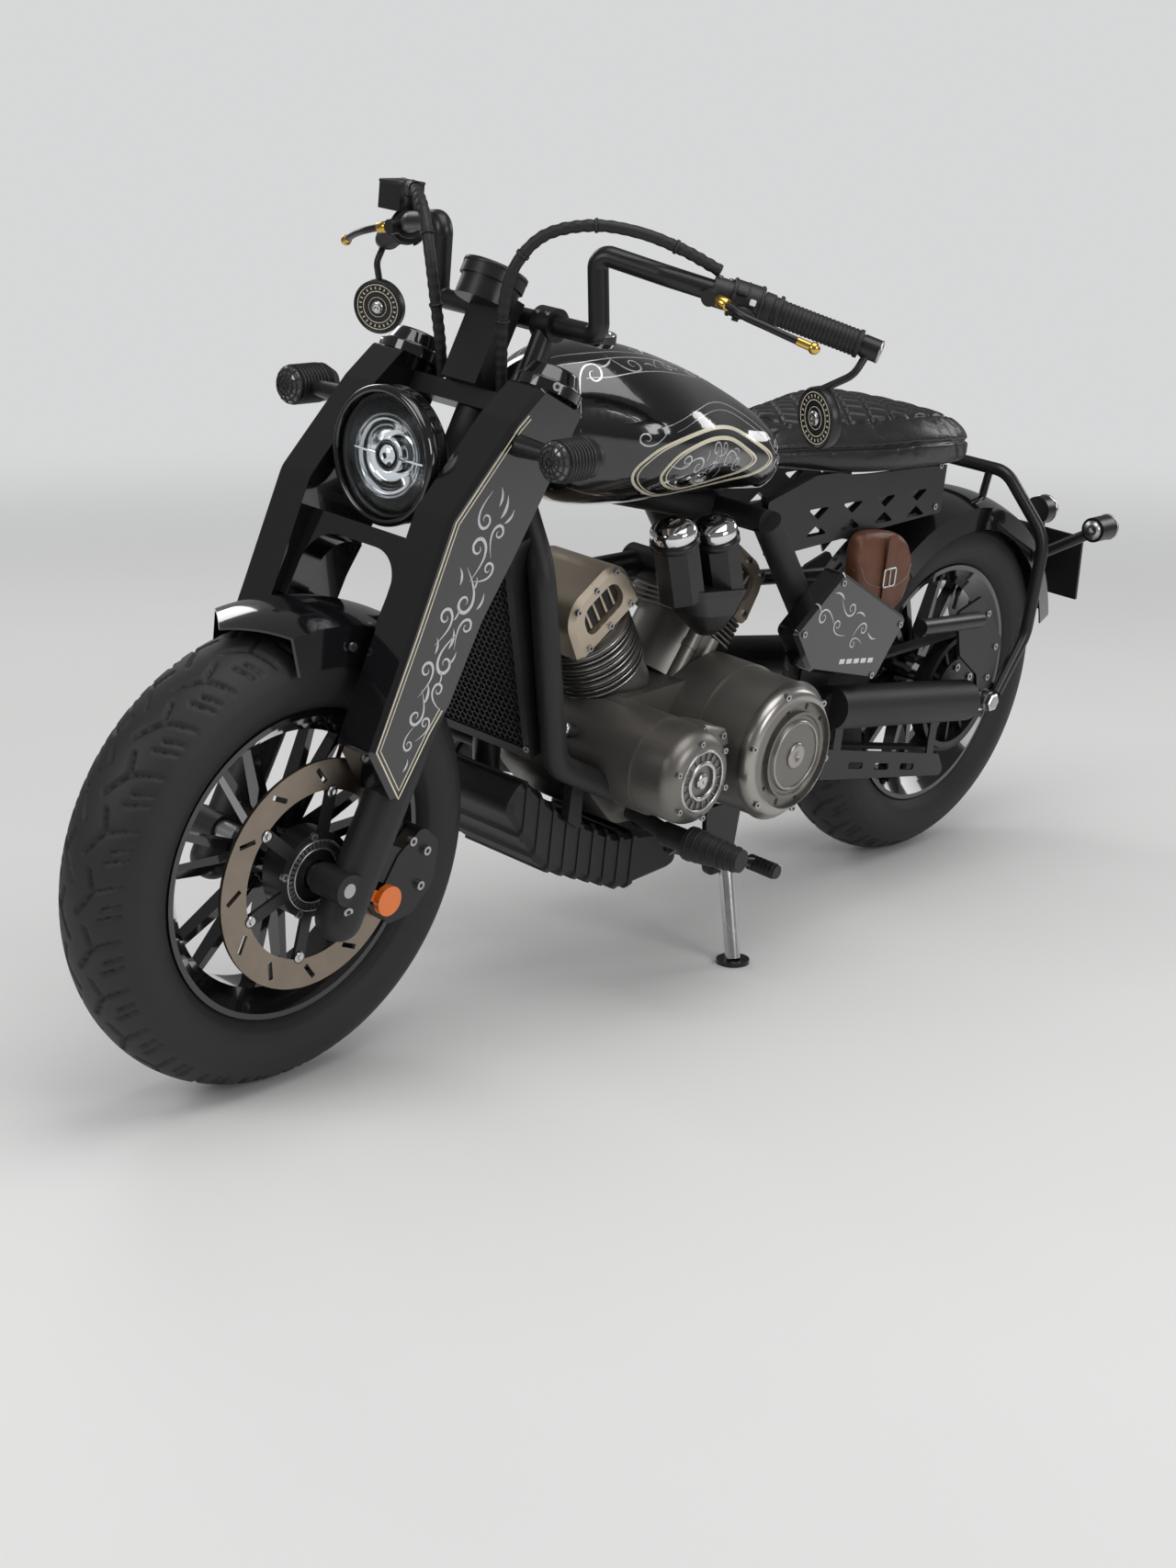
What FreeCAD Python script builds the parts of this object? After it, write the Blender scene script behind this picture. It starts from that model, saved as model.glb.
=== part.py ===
import FreeCAD, Part
import math
import os
import types
from FreeCAD import Placement, Rotation, Vector

# Cruiser motorcycle with a V-twin engine, girder-style fork covers and a solo seat.
# Bike frame: X forward from the rear axle, Y to the rider's left, Z up from the road, upright.
# Every sub-part is modelled upright, then leaned onto the side stand by its Placement.

# name, value in millimetres or degrees, what it is
SIZES = (
    ("wheelbase", 1500, "rear axle to front axle"),
    ("tyre_radius", 323, "outside of both tyres"),
    ("crown_radius", 85, "roundness of the tread across the tyre"),
    ("crown_half", 64, "half width of the tread"),
    ("sidewall_radius", 262, "where a tyre is widest"),
    ("front_tyre_half", 75, "half width of the front tyre"),
    ("rear_tyre_half", 78, "half width of the rear tyre"),
    ("bead_radius", 203, "bead seat of both rims"),
    ("rim_radius", 216, "outside of the rim flanges"),
    ("front_rim_half", 54, "half width over the front flanges"),
    ("rear_rim_half", 60, "half width over the rear flanges"),
    ("rim_inside", 181, "inside of the rim barrel"),
    ("spoke_count", 14, "cast spokes in a wheel"),
    ("spoke_root", 15, "spoke across, at the hub"),
    ("spoke_wide", 10, "spoke across, at the rim"),
    ("spoke_deep", 30, "spoke along the axle, at the hub"),
    ("spoke_tip_deep", 18, "spoke along the axle, at the rim"),
    ("spoke_pair", 4, "degrees that two spokes of a pair lean together"),
    ("hub_radius", 40, "wheel hub"),
    ("hub_half", 52, "half length of the hub"),
    ("axle_radius", 10, "both axles"),
    ("turning_gap", 0.3, "clearance of a turning bore"),
    ("fixed_gap", 0.05, "clearance of a fixed bore"),
    ("disc_radius", 160, "front brake disc"),
    ("disc_band", 42, "width of the disc's braking ring"),
    ("disc_thick", 5, "front and rear disc"),
    ("disc_left", 86, "plane of the front disc"),
    ("rear_disc_radius", 120, "rear brake disc"),
    ("rear_disc_right", 84, "plane of the rear disc"),
    ("carrier_arms", 6, "arms and floating pins of the disc carrier"),
    ("disc_slots", 12, "slanted slots in a braking ring"),
    ("pulley_radius", 105, "driven belt pulley"),
    ("pulley_left", 96, "middle plane of the belt"),
    ("belt_wide", 24, "belt across"),
    ("belt_thick", 6, "belt through its teeth"),
    ("drive_radius", 42, "driving pulley on the gearbox"),
    ("drive_ahead", 548, "driving pulley ahead of the rear axle"),
    ("drive_up", 372, "driving pulley above the road"),
    ("lean_angle", 6.5, "lean to the left on the side stand"),
    ("origin_ahead", 714, "middle of the whole machine ahead of the rear axle"),
    ("origin_left", 81, "middle of the whole machine left of the wheels' line"),
    ("rake", 25, "steering axis back from upright"),
    ("leg_lead", 29, "front axle ahead of the fork legs"),
    ("stem_back", 30, "steering axis behind the fork legs"),
    ("leg_half", 128, "fork legs from the middle"),
    ("leg_radius", 31, "fork lower"),
    ("tube_radius", 24, "fork upper tube"),
    ("leg_low", -42, "bottom of the fork lower along the leg"),
    ("leg_top", 690, "top of the fork tube along the leg"),
    ("cover_inside", 28, "inner face of a fork cover inside the leg's line"),
    ("cover_outside", 36, "outer face of a fork cover outside the leg's line"),
    ("cover_bevel", 6, "bevel round the cover's outer face"),
    ("cap_radius", 45, "domed cap over a fork cover"),
    ("cap_tall", 36, "domed cap"),
    ("yoke_low", 530, "lower yoke along the leg"),
    ("yoke_high", 655, "upper yoke along the leg"),
    ("yoke_thick", 26, "both yokes"),
    ("head_radius", 31, "steering head tube"),
    ("stem_radius", 15, "steering stem"),
    ("lamp_ahead", 1345, "face of the headlight ahead of the rear axle"),
    ("lamp_up", 849, "headlight above the road"),
    ("lamp_radius", 92, "headlight shell"),
    ("glass_radius", 82, "headlight glass"),
    ("lamp_deep", 80, "headlight shell front to back"),
    ("bar_radius", 14, "handlebar tube"),
    ("bar_up", 1028, "low middle stretch of the handlebar above the road"),
    ("grip_radius", 17, "rubber grip"),
    ("grip_long", 118, "rubber grip"),
    ("tank_wide", 168, "half width of the tank"),
    ("filler_radius", 33, "filler cap"),
    ("engine_ahead", 788, "crankshaft ahead of the rear axle"),
    ("engine_up", 366, "crankshaft above the road"),
    ("vee_half", 34, "each cylinder from upright"),
    ("barrel_radius", 66, "cylinder under its fins"),
    ("fin_radius", 76, "cylinder over its fins"),
    ("fin_count", 11, "fins on a cylinder"),
    ("fin_pitch", 8, "fin to fin"),
    ("fin_thick", 3, "one fin"),
    ("fin_start", 148, "first fin from the crankshaft"),
    ("head_start", 236, "cylinder head from the crankshaft"),
    ("head_end", 330, "top of the head cover from the crankshaft"),
    ("drum_radius", 108, "big round cover on the left"),
    ("drum_left", 260, "face of the big round cover"),
    ("drum_ahead", 689, "big round cover ahead of the rear axle"),
    ("drum_up", 383, "big round cover above the road"),
    ("alternator_radius", 72, "small round cover on the left"),
    ("alternator_left", 248, "face of the small round cover"),
    ("alternator_ahead", 897, "small round cover ahead of the rear axle"),
    ("case_half", 118, "half width of the crankcase"),
    ("radiator_half", 92.7, "half width of the radiator with its frame, between the down tubes"),
    ("radiator_ahead", 1111, "middle of the radiator ahead of the rear axle"),
    ("radiator_tall", 330, "radiator top to bottom"),
    ("radiator_deep", 30, "radiator core"),
    ("radiator_tilt", 15, "top of the radiator forward from upright"),
    ("rail_radius", 19, "frame tubes"),
    ("rail_half", 112, "lower frame rails from the middle"),
    ("seat_tube_half", 116, "seat tubes from the middle"),
    ("swingarm_radius", 36, "swingarm tubes"),
    ("swingarm_half", 152, "swingarm tubes from the middle"),
    ("swingarm_pivot", 455, "swingarm pivot ahead of the rear axle"),
    ("swingarm_up", 386, "swingarm pivot above the road"),
    ("fender_gap", 20, "rear fender outside the tyre"),
    ("fender_half", 96, "half width of the rear fender"),
    ("fender_thick", 3, "both fenders"),
    ("hoop_radius", 11, "hoop over the rear fender"),
    ("hoop_half", 150, "hoop's feet from the middle"),
    ("plate_wide", 200, "blank rear plate"),
    ("plate_tall", 122, "blank rear plate"),
    ("stand_left", 205, "side stand's foot from the middle, upright"),
    ("stand_ahead", 704, "side stand's foot ahead of the rear axle"),
    ("stand_pivot_ahead", 684, "side stand pivot ahead of the rear axle"),
    ("stand_pivot_up", 172, "side stand pivot above the road"),
    ("stand_pivot_left", 152, "side stand pivot from the middle"),
    ("stand_radius", 12, "side stand leg"),
    ("foot_thick", 7, "side stand's foot"),
    ("peg_left", 232, "inner end of a rider's peg"),
    ("peg_long", 92, "rider's peg"),
    ("mirror_radius", 40, "round bar-end mirror"),
    ("cable_radius", 6, "taped loom"),
)

os.makedirs("parts", exist_ok=True)
doc = FreeCAD.newDocument("cruiser")
sheet = doc.addObject("Spreadsheet::Sheet", "Sizes")
for row, (alias, value, _) in enumerate(SIZES, start=1):
    sheet.set(f"A{row}", str(value))
    sheet.setAlias(f"A{row}", alias)
doc.recompute()
dim = types.SimpleNamespace(**{alias: float(sheet.get(alias)) for alias, _, _ in SIZES})

subparts = []
UP = Vector(0, 0, 1)
LEFT = Vector(0, 1, 0)


def lean_placement():
    """Upright bike to the leaned machine standing on the floor z = 0."""
    angle = math.radians(dim.lean_angle)
    round_centre = dim.tyre_radius - dim.crown_radius
    axle_up = round_centre * math.cos(angle) + dim.crown_radius
    base = Vector(
        -dim.origin_ahead,
        -dim.origin_left - dim.tyre_radius * math.sin(angle),
        axle_up - dim.tyre_radius * math.cos(angle),
    )
    return Placement(base, Rotation(Vector(1, 0, 0), -dim.lean_angle))


LEAN = lean_placement()
FRONT_AXLE = Vector(dim.wheelbase, 0, dim.tyre_radius)
REAR_AXLE = Vector(0, 0, dim.tyre_radius)


def fork_placement():
    """Fork frame: X ahead, Z up along the legs, origin level with the axle on the legs' line."""
    turn = Rotation(LEFT, -dim.rake)
    return Placement(FRONT_AXLE - turn.multVec(Vector(dim.leg_lead, 0, 0)), turn)


FORK = fork_placement()


def on_fork(ahead, left, along):
    """A point of the fork frame, in the bike frame."""
    return FORK.multVec(Vector(ahead, left, along))


def floor_up(left):
    """Height of the floor in the upright bike frame, left of the middle."""
    angle = math.radians(dim.lean_angle)
    shift = LEAN.Base.z
    return (left * math.sin(angle) - shift) / math.cos(angle)


def keep(label, obj, place=None):
    """Names a sub-part and stands it on the leaned bike."""
    obj.Label = label
    own = place if place else Placement()
    obj.Placement = LEAN.multiply(own)
    subparts.append(obj)
    return obj


def feature(kind, name, place=None, **bindings):
    """A primitive whose properties follow the sheet."""
    obj = doc.addObject(kind, name)
    for prop, expression in bindings.items():
        if isinstance(expression, str):
            obj.setExpression(prop, expression)
        else:
            setattr(obj, prop, expression)
    if place:
        obj.Placement = place
    return obj


def toward(start, end):
    """Placement at start with its Z axis pointing at end."""
    return Placement(start, Rotation(UP, end - start))


def rod(name, start, end, radius):
    """A round bar between two points; radius is an expression of the sheet."""
    return feature("Part::Cylinder", name, toward(start, end), Radius=radius, Height=(end - start).Length)


def shaped(name, shape):
    """A feature for a shape that the primitives and sketches don't reach."""
    obj = doc.addObject("Part::Feature", name)
    obj.Shape = shape
    return obj


def fuse(name, parts):
    obj = doc.addObject("Part::MultiFuse", name)
    obj.Shapes = parts
    return obj


def cut(name, base, tools):
    tool = tools[0] if len(tools) == 1 else fuse(name + "_tools", tools)
    obj = doc.addObject("Part::Cut", name)
    obj.Base = base
    obj.Tool = tool
    return obj


def group(name, parts):
    """Like solids that share a node and don't touch."""
    obj = doc.addObject("Part::Compound", name)
    obj.Links = parts
    return obj


def mirrored(name, source):
    obj = doc.addObject("Part::Mirroring", name)
    obj.Source = source
    obj.Normal = LEFT
    obj.Base = Vector(0, 0, 0)
    return obj


def pair(name, source):
    return group(name, [source, mirrored(name + "_right", source)])


def corner_edges(points):
    """Lines through (across, up, radius) points, each corner rounded by its radius, closed."""
    count = len(points)
    entries = []
    for index, (across, up, radius) in enumerate(points):
        here = Vector(across, up, 0)
        before = Vector(*points[index - 1][:2], 0) - here
        after = Vector(*points[(index + 1) % count][:2], 0) - here
        if radius <= 0:
            entries.append((here, here, here))
            continue
        half = before.getAngle(after) / 2
        reach = radius / math.tan(half)
        before.normalize()
        after.normalize()
        middle = (before + after).normalize()
        apex = here + middle * (radius / math.sin(half) - radius)
        entries.append((here + before * reach, apex, here + after * reach))
    edges = []
    for index, (start, apex, end) in enumerate(entries):
        if (end - start).Length > 1e-6:
            edges.append(Part.Arc(start, apex, end))
        next_start = entries[(index + 1) % count][0]
        if (next_start - end).Length > 1e-6:
            edges.append(Part.LineSegment(end, next_start))
    return edges


def sketch(body, role, edges, name, ahead_of_plane=0):
    """A sketch on one of the body's own origin planes."""
    plane = [item for item in body.Origin.OriginFeatures if item.Role == role][0]
    obj = body.newObject("Sketcher::SketchObject", name)
    obj.AttachmentSupport = [(plane, "")]
    obj.MapMode = "FlatFace"
    obj.AttachmentOffset = Placement(Vector(0, 0, ahead_of_plane), Rotation())
    obj.addGeometry(edges, False)
    return obj


def side_plate(name, points, inner, outer, bevel=0):
    """A body padded from its side outline (X, Z), between two distances left of the middle."""
    body = doc.addObject("PartDesign::Body", name)
    outline = sketch(body, "XZ_Plane", corner_edges(points), name + "_outline", -outer)
    pad = body.newObject("PartDesign::Pad", name + "_pad")
    pad.Profile = outline
    pad.Length = outer - inner
    pad.Reversed = True
    doc.recompute()
    box = pad.Shape.BoundBox
    if abs(box.YMax - outer) > 0.01 or abs(box.YMin - inner) > 0.01:
        pad.Reversed = False
        doc.recompute()
    if bevel:
        outer_face = max(range(len(pad.Shape.Faces)), key=lambda i: pad.Shape.Faces[i].CenterOfMass.y)
        chamfer = body.newObject("PartDesign::Chamfer", name + "_bevel")
        chamfer.Base = (pad, [f"Face{outer_face + 1}"])
        chamfer.Size = bevel
        body.Tip = chamfer
    return body


def turned(name, edges, place):
    """A body revolved about its own Y axis from (radius, along) edges."""
    body = doc.addObject("PartDesign::Body", name)
    profile = sketch(body, "XY_Plane", edges, name + "_profile")
    revolution = body.newObject("PartDesign::Revolution", name + "_turn")
    revolution.Profile = profile
    revolution.ReferenceAxis = (profile, ["V_Axis"])
    revolution.Angle = 360
    body.Placement = place
    return body


def ring_points(rows):
    """Sharp-cornered closed outline from (radius, along) rows."""
    return corner_edges([(radius, along, 0) for radius, along in rows])


def oval_wire(place, half_wide, up, down, side):
    """Four tangent arcs: a crown, a keel and two round sides, in the placement's XY plane.

    A section taller than it is wide has its tight arcs at the crown and keel instead of the sides.
    """
    flip = lambda point: Vector(-point.x, point.y, 0)
    if max(up, down) > half_wide:
        middle, reach = (up - down) / 2, (up + down) / 2
        flank = ((reach - side) ** 2 + half_wide ** 2 - side ** 2) / (2 * (half_wide - side))
        outward = Vector(flank - half_wide, reach - side, 0).normalize() * side
        high = Vector(outward.x, middle + reach - side + outward.y, 0)
        low = Vector(outward.x, middle - reach + side - outward.y, 0)
        width_at = middle
    else:
        def tangent(reach, sign):
            big = ((half_wide - side) ** 2 + reach ** 2 - side ** 2) / (2 * (reach - side))
            centre = Vector(half_wide - side, 0, 0)
            return centre + (centre - Vector(0, sign * (reach - big), 0)).normalize() * side

        high, low, width_at = tangent(up, 1), tangent(down, -1), 0
    edges = [
        Part.Arc(high, Vector(0, up, 0), flip(high)).toShape(),
        Part.Arc(flip(high), Vector(-half_wide, width_at, 0), flip(low)).toShape(),
        Part.Arc(flip(low), Vector(0, -down, 0), low).toShape(),
        Part.Arc(low, Vector(half_wide, width_at, 0), high).toShape(),
    ]
    wire = Part.Wire(edges)
    wire.Placement = place
    return wire


def across_bike(ahead, up):
    """Plane square to the bike's X axis: local X to the left, local Y up."""
    turn = Rotation(Vector(0, 1, 0), Vector(0, 0, 1), Vector(1, 0, 0), "ZXY")
    return Placement(Vector(ahead, 0, up), turn)


def oval_loft(name, rows):
    """Rows: ahead, middle height, half width, up, down, side radius."""
    wires = [oval_wire(across_bike(ahead, mid), wide, up, down, side)
             for ahead, mid, wide, up, down, side in rows]
    return shaped(name, Part.makeLoft(wires, True, False))


def bent_edges(points, bends):
    """Straight runs joined by tangent arcs; bends holds the radius at each inner point."""
    edges = []
    start = points[0]
    for index in range(1, len(points) - 1):
        here = points[index]
        back = (points[index - 1] - here).normalize()
        ahead = (points[index + 1] - here).normalize()
        half = back.getAngle(ahead) / 2
        radius = bends[index - 1]
        reach = radius / math.tan(half)
        middle = (back + ahead).normalize()
        apex = here + middle * (radius / math.sin(half) - radius)
        begin = here + back * reach
        edges.append(Part.LineSegment(start, begin).toShape())
        edges.append(Part.Arc(begin, apex, here + ahead * reach).toShape())
        start = here + ahead * reach
    edges.append(Part.LineSegment(start, points[-1]).toShape())
    return edges


def bent_tube(name, points, bends, radius):
    """A round tube or bar along a bent path."""
    path = Part.Wire(bent_edges(points, bends))
    first = (points[1] - points[0]).normalize()
    circle = Part.Wire([Part.Circle(points[0], first, radius).toShape()])
    return shaped(name, path.makePipeShell([circle], True, False))


def cord_bends(points):
    """Radius at each inner point, as large as its two runs allow."""
    radii = []
    for index in range(1, len(points) - 1):
        back = points[index - 1] - points[index]
        ahead = points[index + 1] - points[index]
        turn = math.pi - back.getAngle(ahead)
        radii.append(0.45 * min(back.Length, ahead.Length) / math.tan(turn / 2))
    return radii


# Wheels

def tyre(label, place, half_wide, rim_half):
    crown_drop = dim.crown_radius - math.sqrt(dim.crown_radius ** 2 - dim.crown_half ** 2)
    shoulder = dim.tyre_radius - crown_drop
    foot = dim.bead_radius + dim.turning_gap
    bead = (foot, rim_half - 8)
    lip = (dim.rim_radius + 1, rim_half - 5)

    def point(radius, along):
        return Vector(radius, along, 0)

    edges = [
        Part.LineSegment(point(foot, -bead[1]), point(*bead)),
        Part.LineSegment(point(*bead), point(*lip)),
        Part.Arc(point(*lip), point(dim.sidewall_radius, half_wide), point(shoulder, dim.crown_half)),
        Part.Arc(point(shoulder, dim.crown_half), point(dim.tyre_radius, 0),
                 point(shoulder, -dim.crown_half)),
        Part.Arc(point(shoulder, -dim.crown_half), point(dim.sidewall_radius, -half_wide),
                 point(lip[0], -lip[1])),
        Part.LineSegment(point(lip[0], -lip[1]), point(foot, -bead[1])),
    ]
    return keep(label, turned(label, edges, Placement()), place)


def rim(label, place, half, hub_half):
    """Cast wheel: flanged barrel, hub and thin spokes in leaning pairs."""
    seat = dim.bead_radius
    flange = [(dim.rim_radius, half), (dim.rim_radius, half - 4.4), (seat, half - 6.5), (seat, half - 20),
              (seat - 14, half - 30)]
    inside = [(dim.rim_inside, half - 30), (dim.rim_inside + 13, half - 15), (dim.rim_radius - 8, half)]
    outer = flange + [(radius, -along) for radius, along in reversed(flange)]
    inner = [(radius, -along) for radius, along in reversed(inside)] + inside
    barrel = turned(label + "_barrel", ring_points(outer + inner), Placement())
    hub_rows = [(0, hub_half), (dim.hub_radius * 0.7, hub_half), (dim.hub_radius, hub_half * 0.55),
                (dim.hub_radius, -hub_half * 0.55), (dim.hub_radius * 0.7, -hub_half), (0, -hub_half)]
    hub = turned(label + "_hub", ring_points(hub_rows), Placement())
    spokes = []
    count = int(dim.spoke_count)
    for index in range(count):
        lean = dim.spoke_pair if index % 2 else -dim.spoke_pair
        angle = 360.0 * index / count + lean
        root, tip = dim.spoke_root / 2, dim.spoke_wide / 2
        deep, thin = dim.spoke_deep / 2, dim.spoke_tip_deep / 2
        spoke = Part.makeWedge(-root, 20, -deep, -thin, -tip, root, dim.rim_inside + 4, deep, thin, tip)
        spoke.Placement = Placement(Vector(), Rotation(UP, Vector(1, 0, 0), LEFT, "XYZ"))
        spoke.rotate(Vector(0, 0, 0), LEFT, angle)
        spokes.append(shaped(f"{label}_spoke_{index}", spoke))
    bore = feature("Part::Cylinder", label + "_bore",
                   Placement(Vector(0, -hub_half - 1, 0), Rotation(Vector(1, 0, 0), -90)),
                   Radius="Sizes.axle_radius + Sizes.turning_gap", Height=2 * hub_half + 2)
    wheel = cut(label, fuse(label + "_solid", [barrel, hub] + spokes), [bore])
    return keep(label, wheel, place)


def lying_cylinder(name, centre, radius, low, high):
    """A cylinder along Y from low to high, round (ahead, up) centre."""
    return feature("Part::Cylinder", name,
                   Placement(Vector(centre[0], low, centre[1]), Rotation(Vector(1, 0, 0), -90)),
                   Radius=radius, Height=high - low)


def disc(label, place, outer, middle, side, carrier=None):
    """Slotted braking ring on an armed carrier that seats on the hub's end."""
    half = dim.disc_thick / 2
    inner = outer - dim.disc_band
    ring = turned(label + "_ring", ring_points([(inner, middle - half), (outer, middle - half),
                                                (outer, middle + half), (inner, middle + half)]),
                                                Placement())
    rooms = []
    count = int(dim.disc_slots)
    for index in range(count):
        slot = Part.makeBox(dim.disc_band * 0.62, 2 * half + 2, 7,
                            Vector(-dim.disc_band * 0.31, middle - half - 1, -3.5))
        slot.rotate(Vector(0, 0, 0), LEFT, 38)
        slot.translate(Vector(outer - dim.disc_band / 2, 0, 0))
        slot.rotate(Vector(0, 0, 0), LEFT, 360.0 * index / count)
        rooms.append(shaped(f"{label}_slot_{index}", slot))
    hole = dim.axle_radius + 10.5
    low, high = sorted((side * (dim.hub_half + 0.1), middle + half * side))
    arms = [turned(label + "_boss", ring_points([(hole, low), (dim.hub_radius + 20, low),
                                                 (dim.hub_radius + 20, high), (hole, high)]), Placement())]
    reach = inner - 2 if carrier else inner + 8
    for index in range(int(dim.carrier_arms)):
        angle = 360.0 * index / dim.carrier_arms + 20
        arm = Part.makeBox(reach - dim.hub_radius - 12, 2 * half, 18,
                           Vector(dim.hub_radius + 12, middle - half, -9))
        arm.rotate(Vector(0, 0, 0), LEFT, angle)
        arms.append(shaped(f"{label}_arm_{index}", arm))
        for radius, rest in ((9, arms), (9 + dim.fixed_gap, rooms if carrier else [])):
            pin = Part.makeCylinder(radius, 2 * half + 2, Vector(inner - 3, middle - half - 1, 0), LEFT)
            pin.rotate(Vector(0, 0, 0), LEFT, angle)
            rest.append(shaped(f"{label}_pin_{index}", pin))
    band = cut(label + "_band", ring, rooms)
    if carrier:
        keep(label, band, place)
        return keep(carrier, fuse(carrier, arms), place)
    return keep(label, fuse(label, [band] + arms), place)


def pulley(label, place):
    """Driven belt pulley: toothless rim between two flanges, spokes and a boss on the hub."""
    half = dim.belt_wide / 2 + 1
    low = dim.hub_half
    rim_rows = [(dim.pulley_radius - 10, dim.pulley_left - half),
                (dim.pulley_radius, dim.pulley_left - half),
                (dim.pulley_radius, dim.pulley_left + half),
                (dim.pulley_radius - 10, dim.pulley_left + half)]
    parts = [turned(label + "_rim", ring_points(rim_rows), Placement()),
             turned(label + "_boss",
                    ring_points([(dim.axle_radius + 8, low), (58, low), (58, dim.pulley_left + 8),
                                                  (dim.axle_radius + 8, dim.pulley_left + 8)]), Placement())]
    for index in range(12):
        web = Part.makeBox(dim.pulley_radius - 55, 12, 6, Vector(50, dim.pulley_left - 6, -3))
        web.rotate(Vector(0, 0, 0), LEFT, 30.0 * index)
        parts.append(shaped(f"{label}_web_{index}", web))
    return keep(label, fuse(label, parts), place)


def wheels():
    front = Placement(FRONT_AXLE, Rotation())
    rear = Placement(REAR_AXLE, Rotation())
    tyre("front_tyre", front, dim.front_tyre_half, dim.front_rim_half)
    tyre("rear_tyre", rear, dim.rear_tyre_half, dim.rear_rim_half)
    rim("front_rim", front, dim.front_rim_half, dim.hub_half)
    rim("rear_rim", rear, dim.rear_rim_half, dim.hub_half)
    disc("front_disc", front, dim.disc_radius, dim.disc_left, 1, "front_carrier")
    disc("rear_disc", rear, dim.rear_disc_radius, -dim.rear_disc_right, -1)
    pulley("rear_pulley", rear)


# Fork, in the fork frame

def fork_legs():
    """Two crinkled lowers with an axle lug, each with its upper tube."""
    lower = feature("Part::Cylinder", "leg_lower",
                    Placement(Vector(0, dim.leg_half, dim.leg_low), Rotation()),
                    Radius="Sizes.leg_radius", Height=340 - dim.leg_low)
    toe = feature("Part::Sphere", "leg_toe", Placement(Vector(0, dim.leg_half, dim.leg_low), Rotation()),
                  Radius="Sizes.leg_radius")
    upper = feature("Part::Cylinder", "leg_upper", Placement(Vector(0, dim.leg_half, 300), Rotation()),
                    Radius="Sizes.tube_radius", Height="Sizes.leg_top - 300")
    lug_low, lug_high = dim.leg_half - dim.leg_radius + 2, dim.leg_half + dim.leg_radius - 4
    lug = lying_cylinder("axle_lug", (dim.leg_lead, 0), 22, lug_low, lug_high)
    web = feature("Part::Box", "axle_web", Placement(Vector(0, lug_low, -22), Rotation()),
                  Length="Sizes.leg_lead", Width=lug_high - lug_low, Height=44)
    bore = lying_cylinder("axle_lug_bore", (dim.leg_lead, 0), "Sizes.axle_radius + Sizes.fixed_gap",
                          lug_low - 40, lug_high + 1)
    leg = cut("fork_leg", fuse("fork_leg_solid", [lower, toe, upper, lug, web]), [bore])
    keep("fork_legs", pair("fork_legs", leg), FORK)


def fork_covers():
    """Girder-like side covers over the legs, bevelled round the outer face."""
    # ahead, along, corner radius
    outline = [(17, 124, 8), (97, 175, 10), (108, 331, 40), (121, 489, 40), (74, 640, 12), (46, 698, 8),
               (-46, 698, 8), (-24, 477, 60), (-12, 388, 60), (-13, 267, 30), (6, 224, 10)]
    cover = side_plate("fork_cover_blank", outline, dim.leg_half - dim.cover_inside,
                       dim.leg_half + dim.cover_outside, dim.cover_bevel)
    lower = feature("Part::Cylinder", "cover_leg_room", Placement(Vector(0, dim.leg_half, 60), Rotation()),
                    Radius="Sizes.leg_radius + Sizes.turning_gap", Height=280 + 0.3)
    upper = feature("Part::Cylinder", "cover_tube_room", Placement(Vector(0, dim.leg_half, 330), Rotation()),
                    Radius="Sizes.tube_radius + Sizes.turning_gap", Height=400)
    keep("fork_covers", pair("fork_covers", cut("fork_cover", cover, [lower, upper])), FORK)


def fork_caps():
    """Domed caps that close the covers, on the top of the legs."""
    profile = corner_edges([(0, 0, 0), (dim.cap_radius, 0, 0), (dim.cap_radius, 15, 3),
                            (dim.cap_radius - 6, 17, 0),
                            (dim.cap_radius * 0.7, dim.cap_tall, 6), (0, dim.cap_tall, 0)])
    cap = turned("fork_cap", profile, Placement())
    cap.Placement = Placement(Vector(0, dim.leg_half, 698), Rotation(Vector(1, 0, 0), 90))
    keep("fork_caps", pair("fork_caps", cap), FORK)


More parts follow.
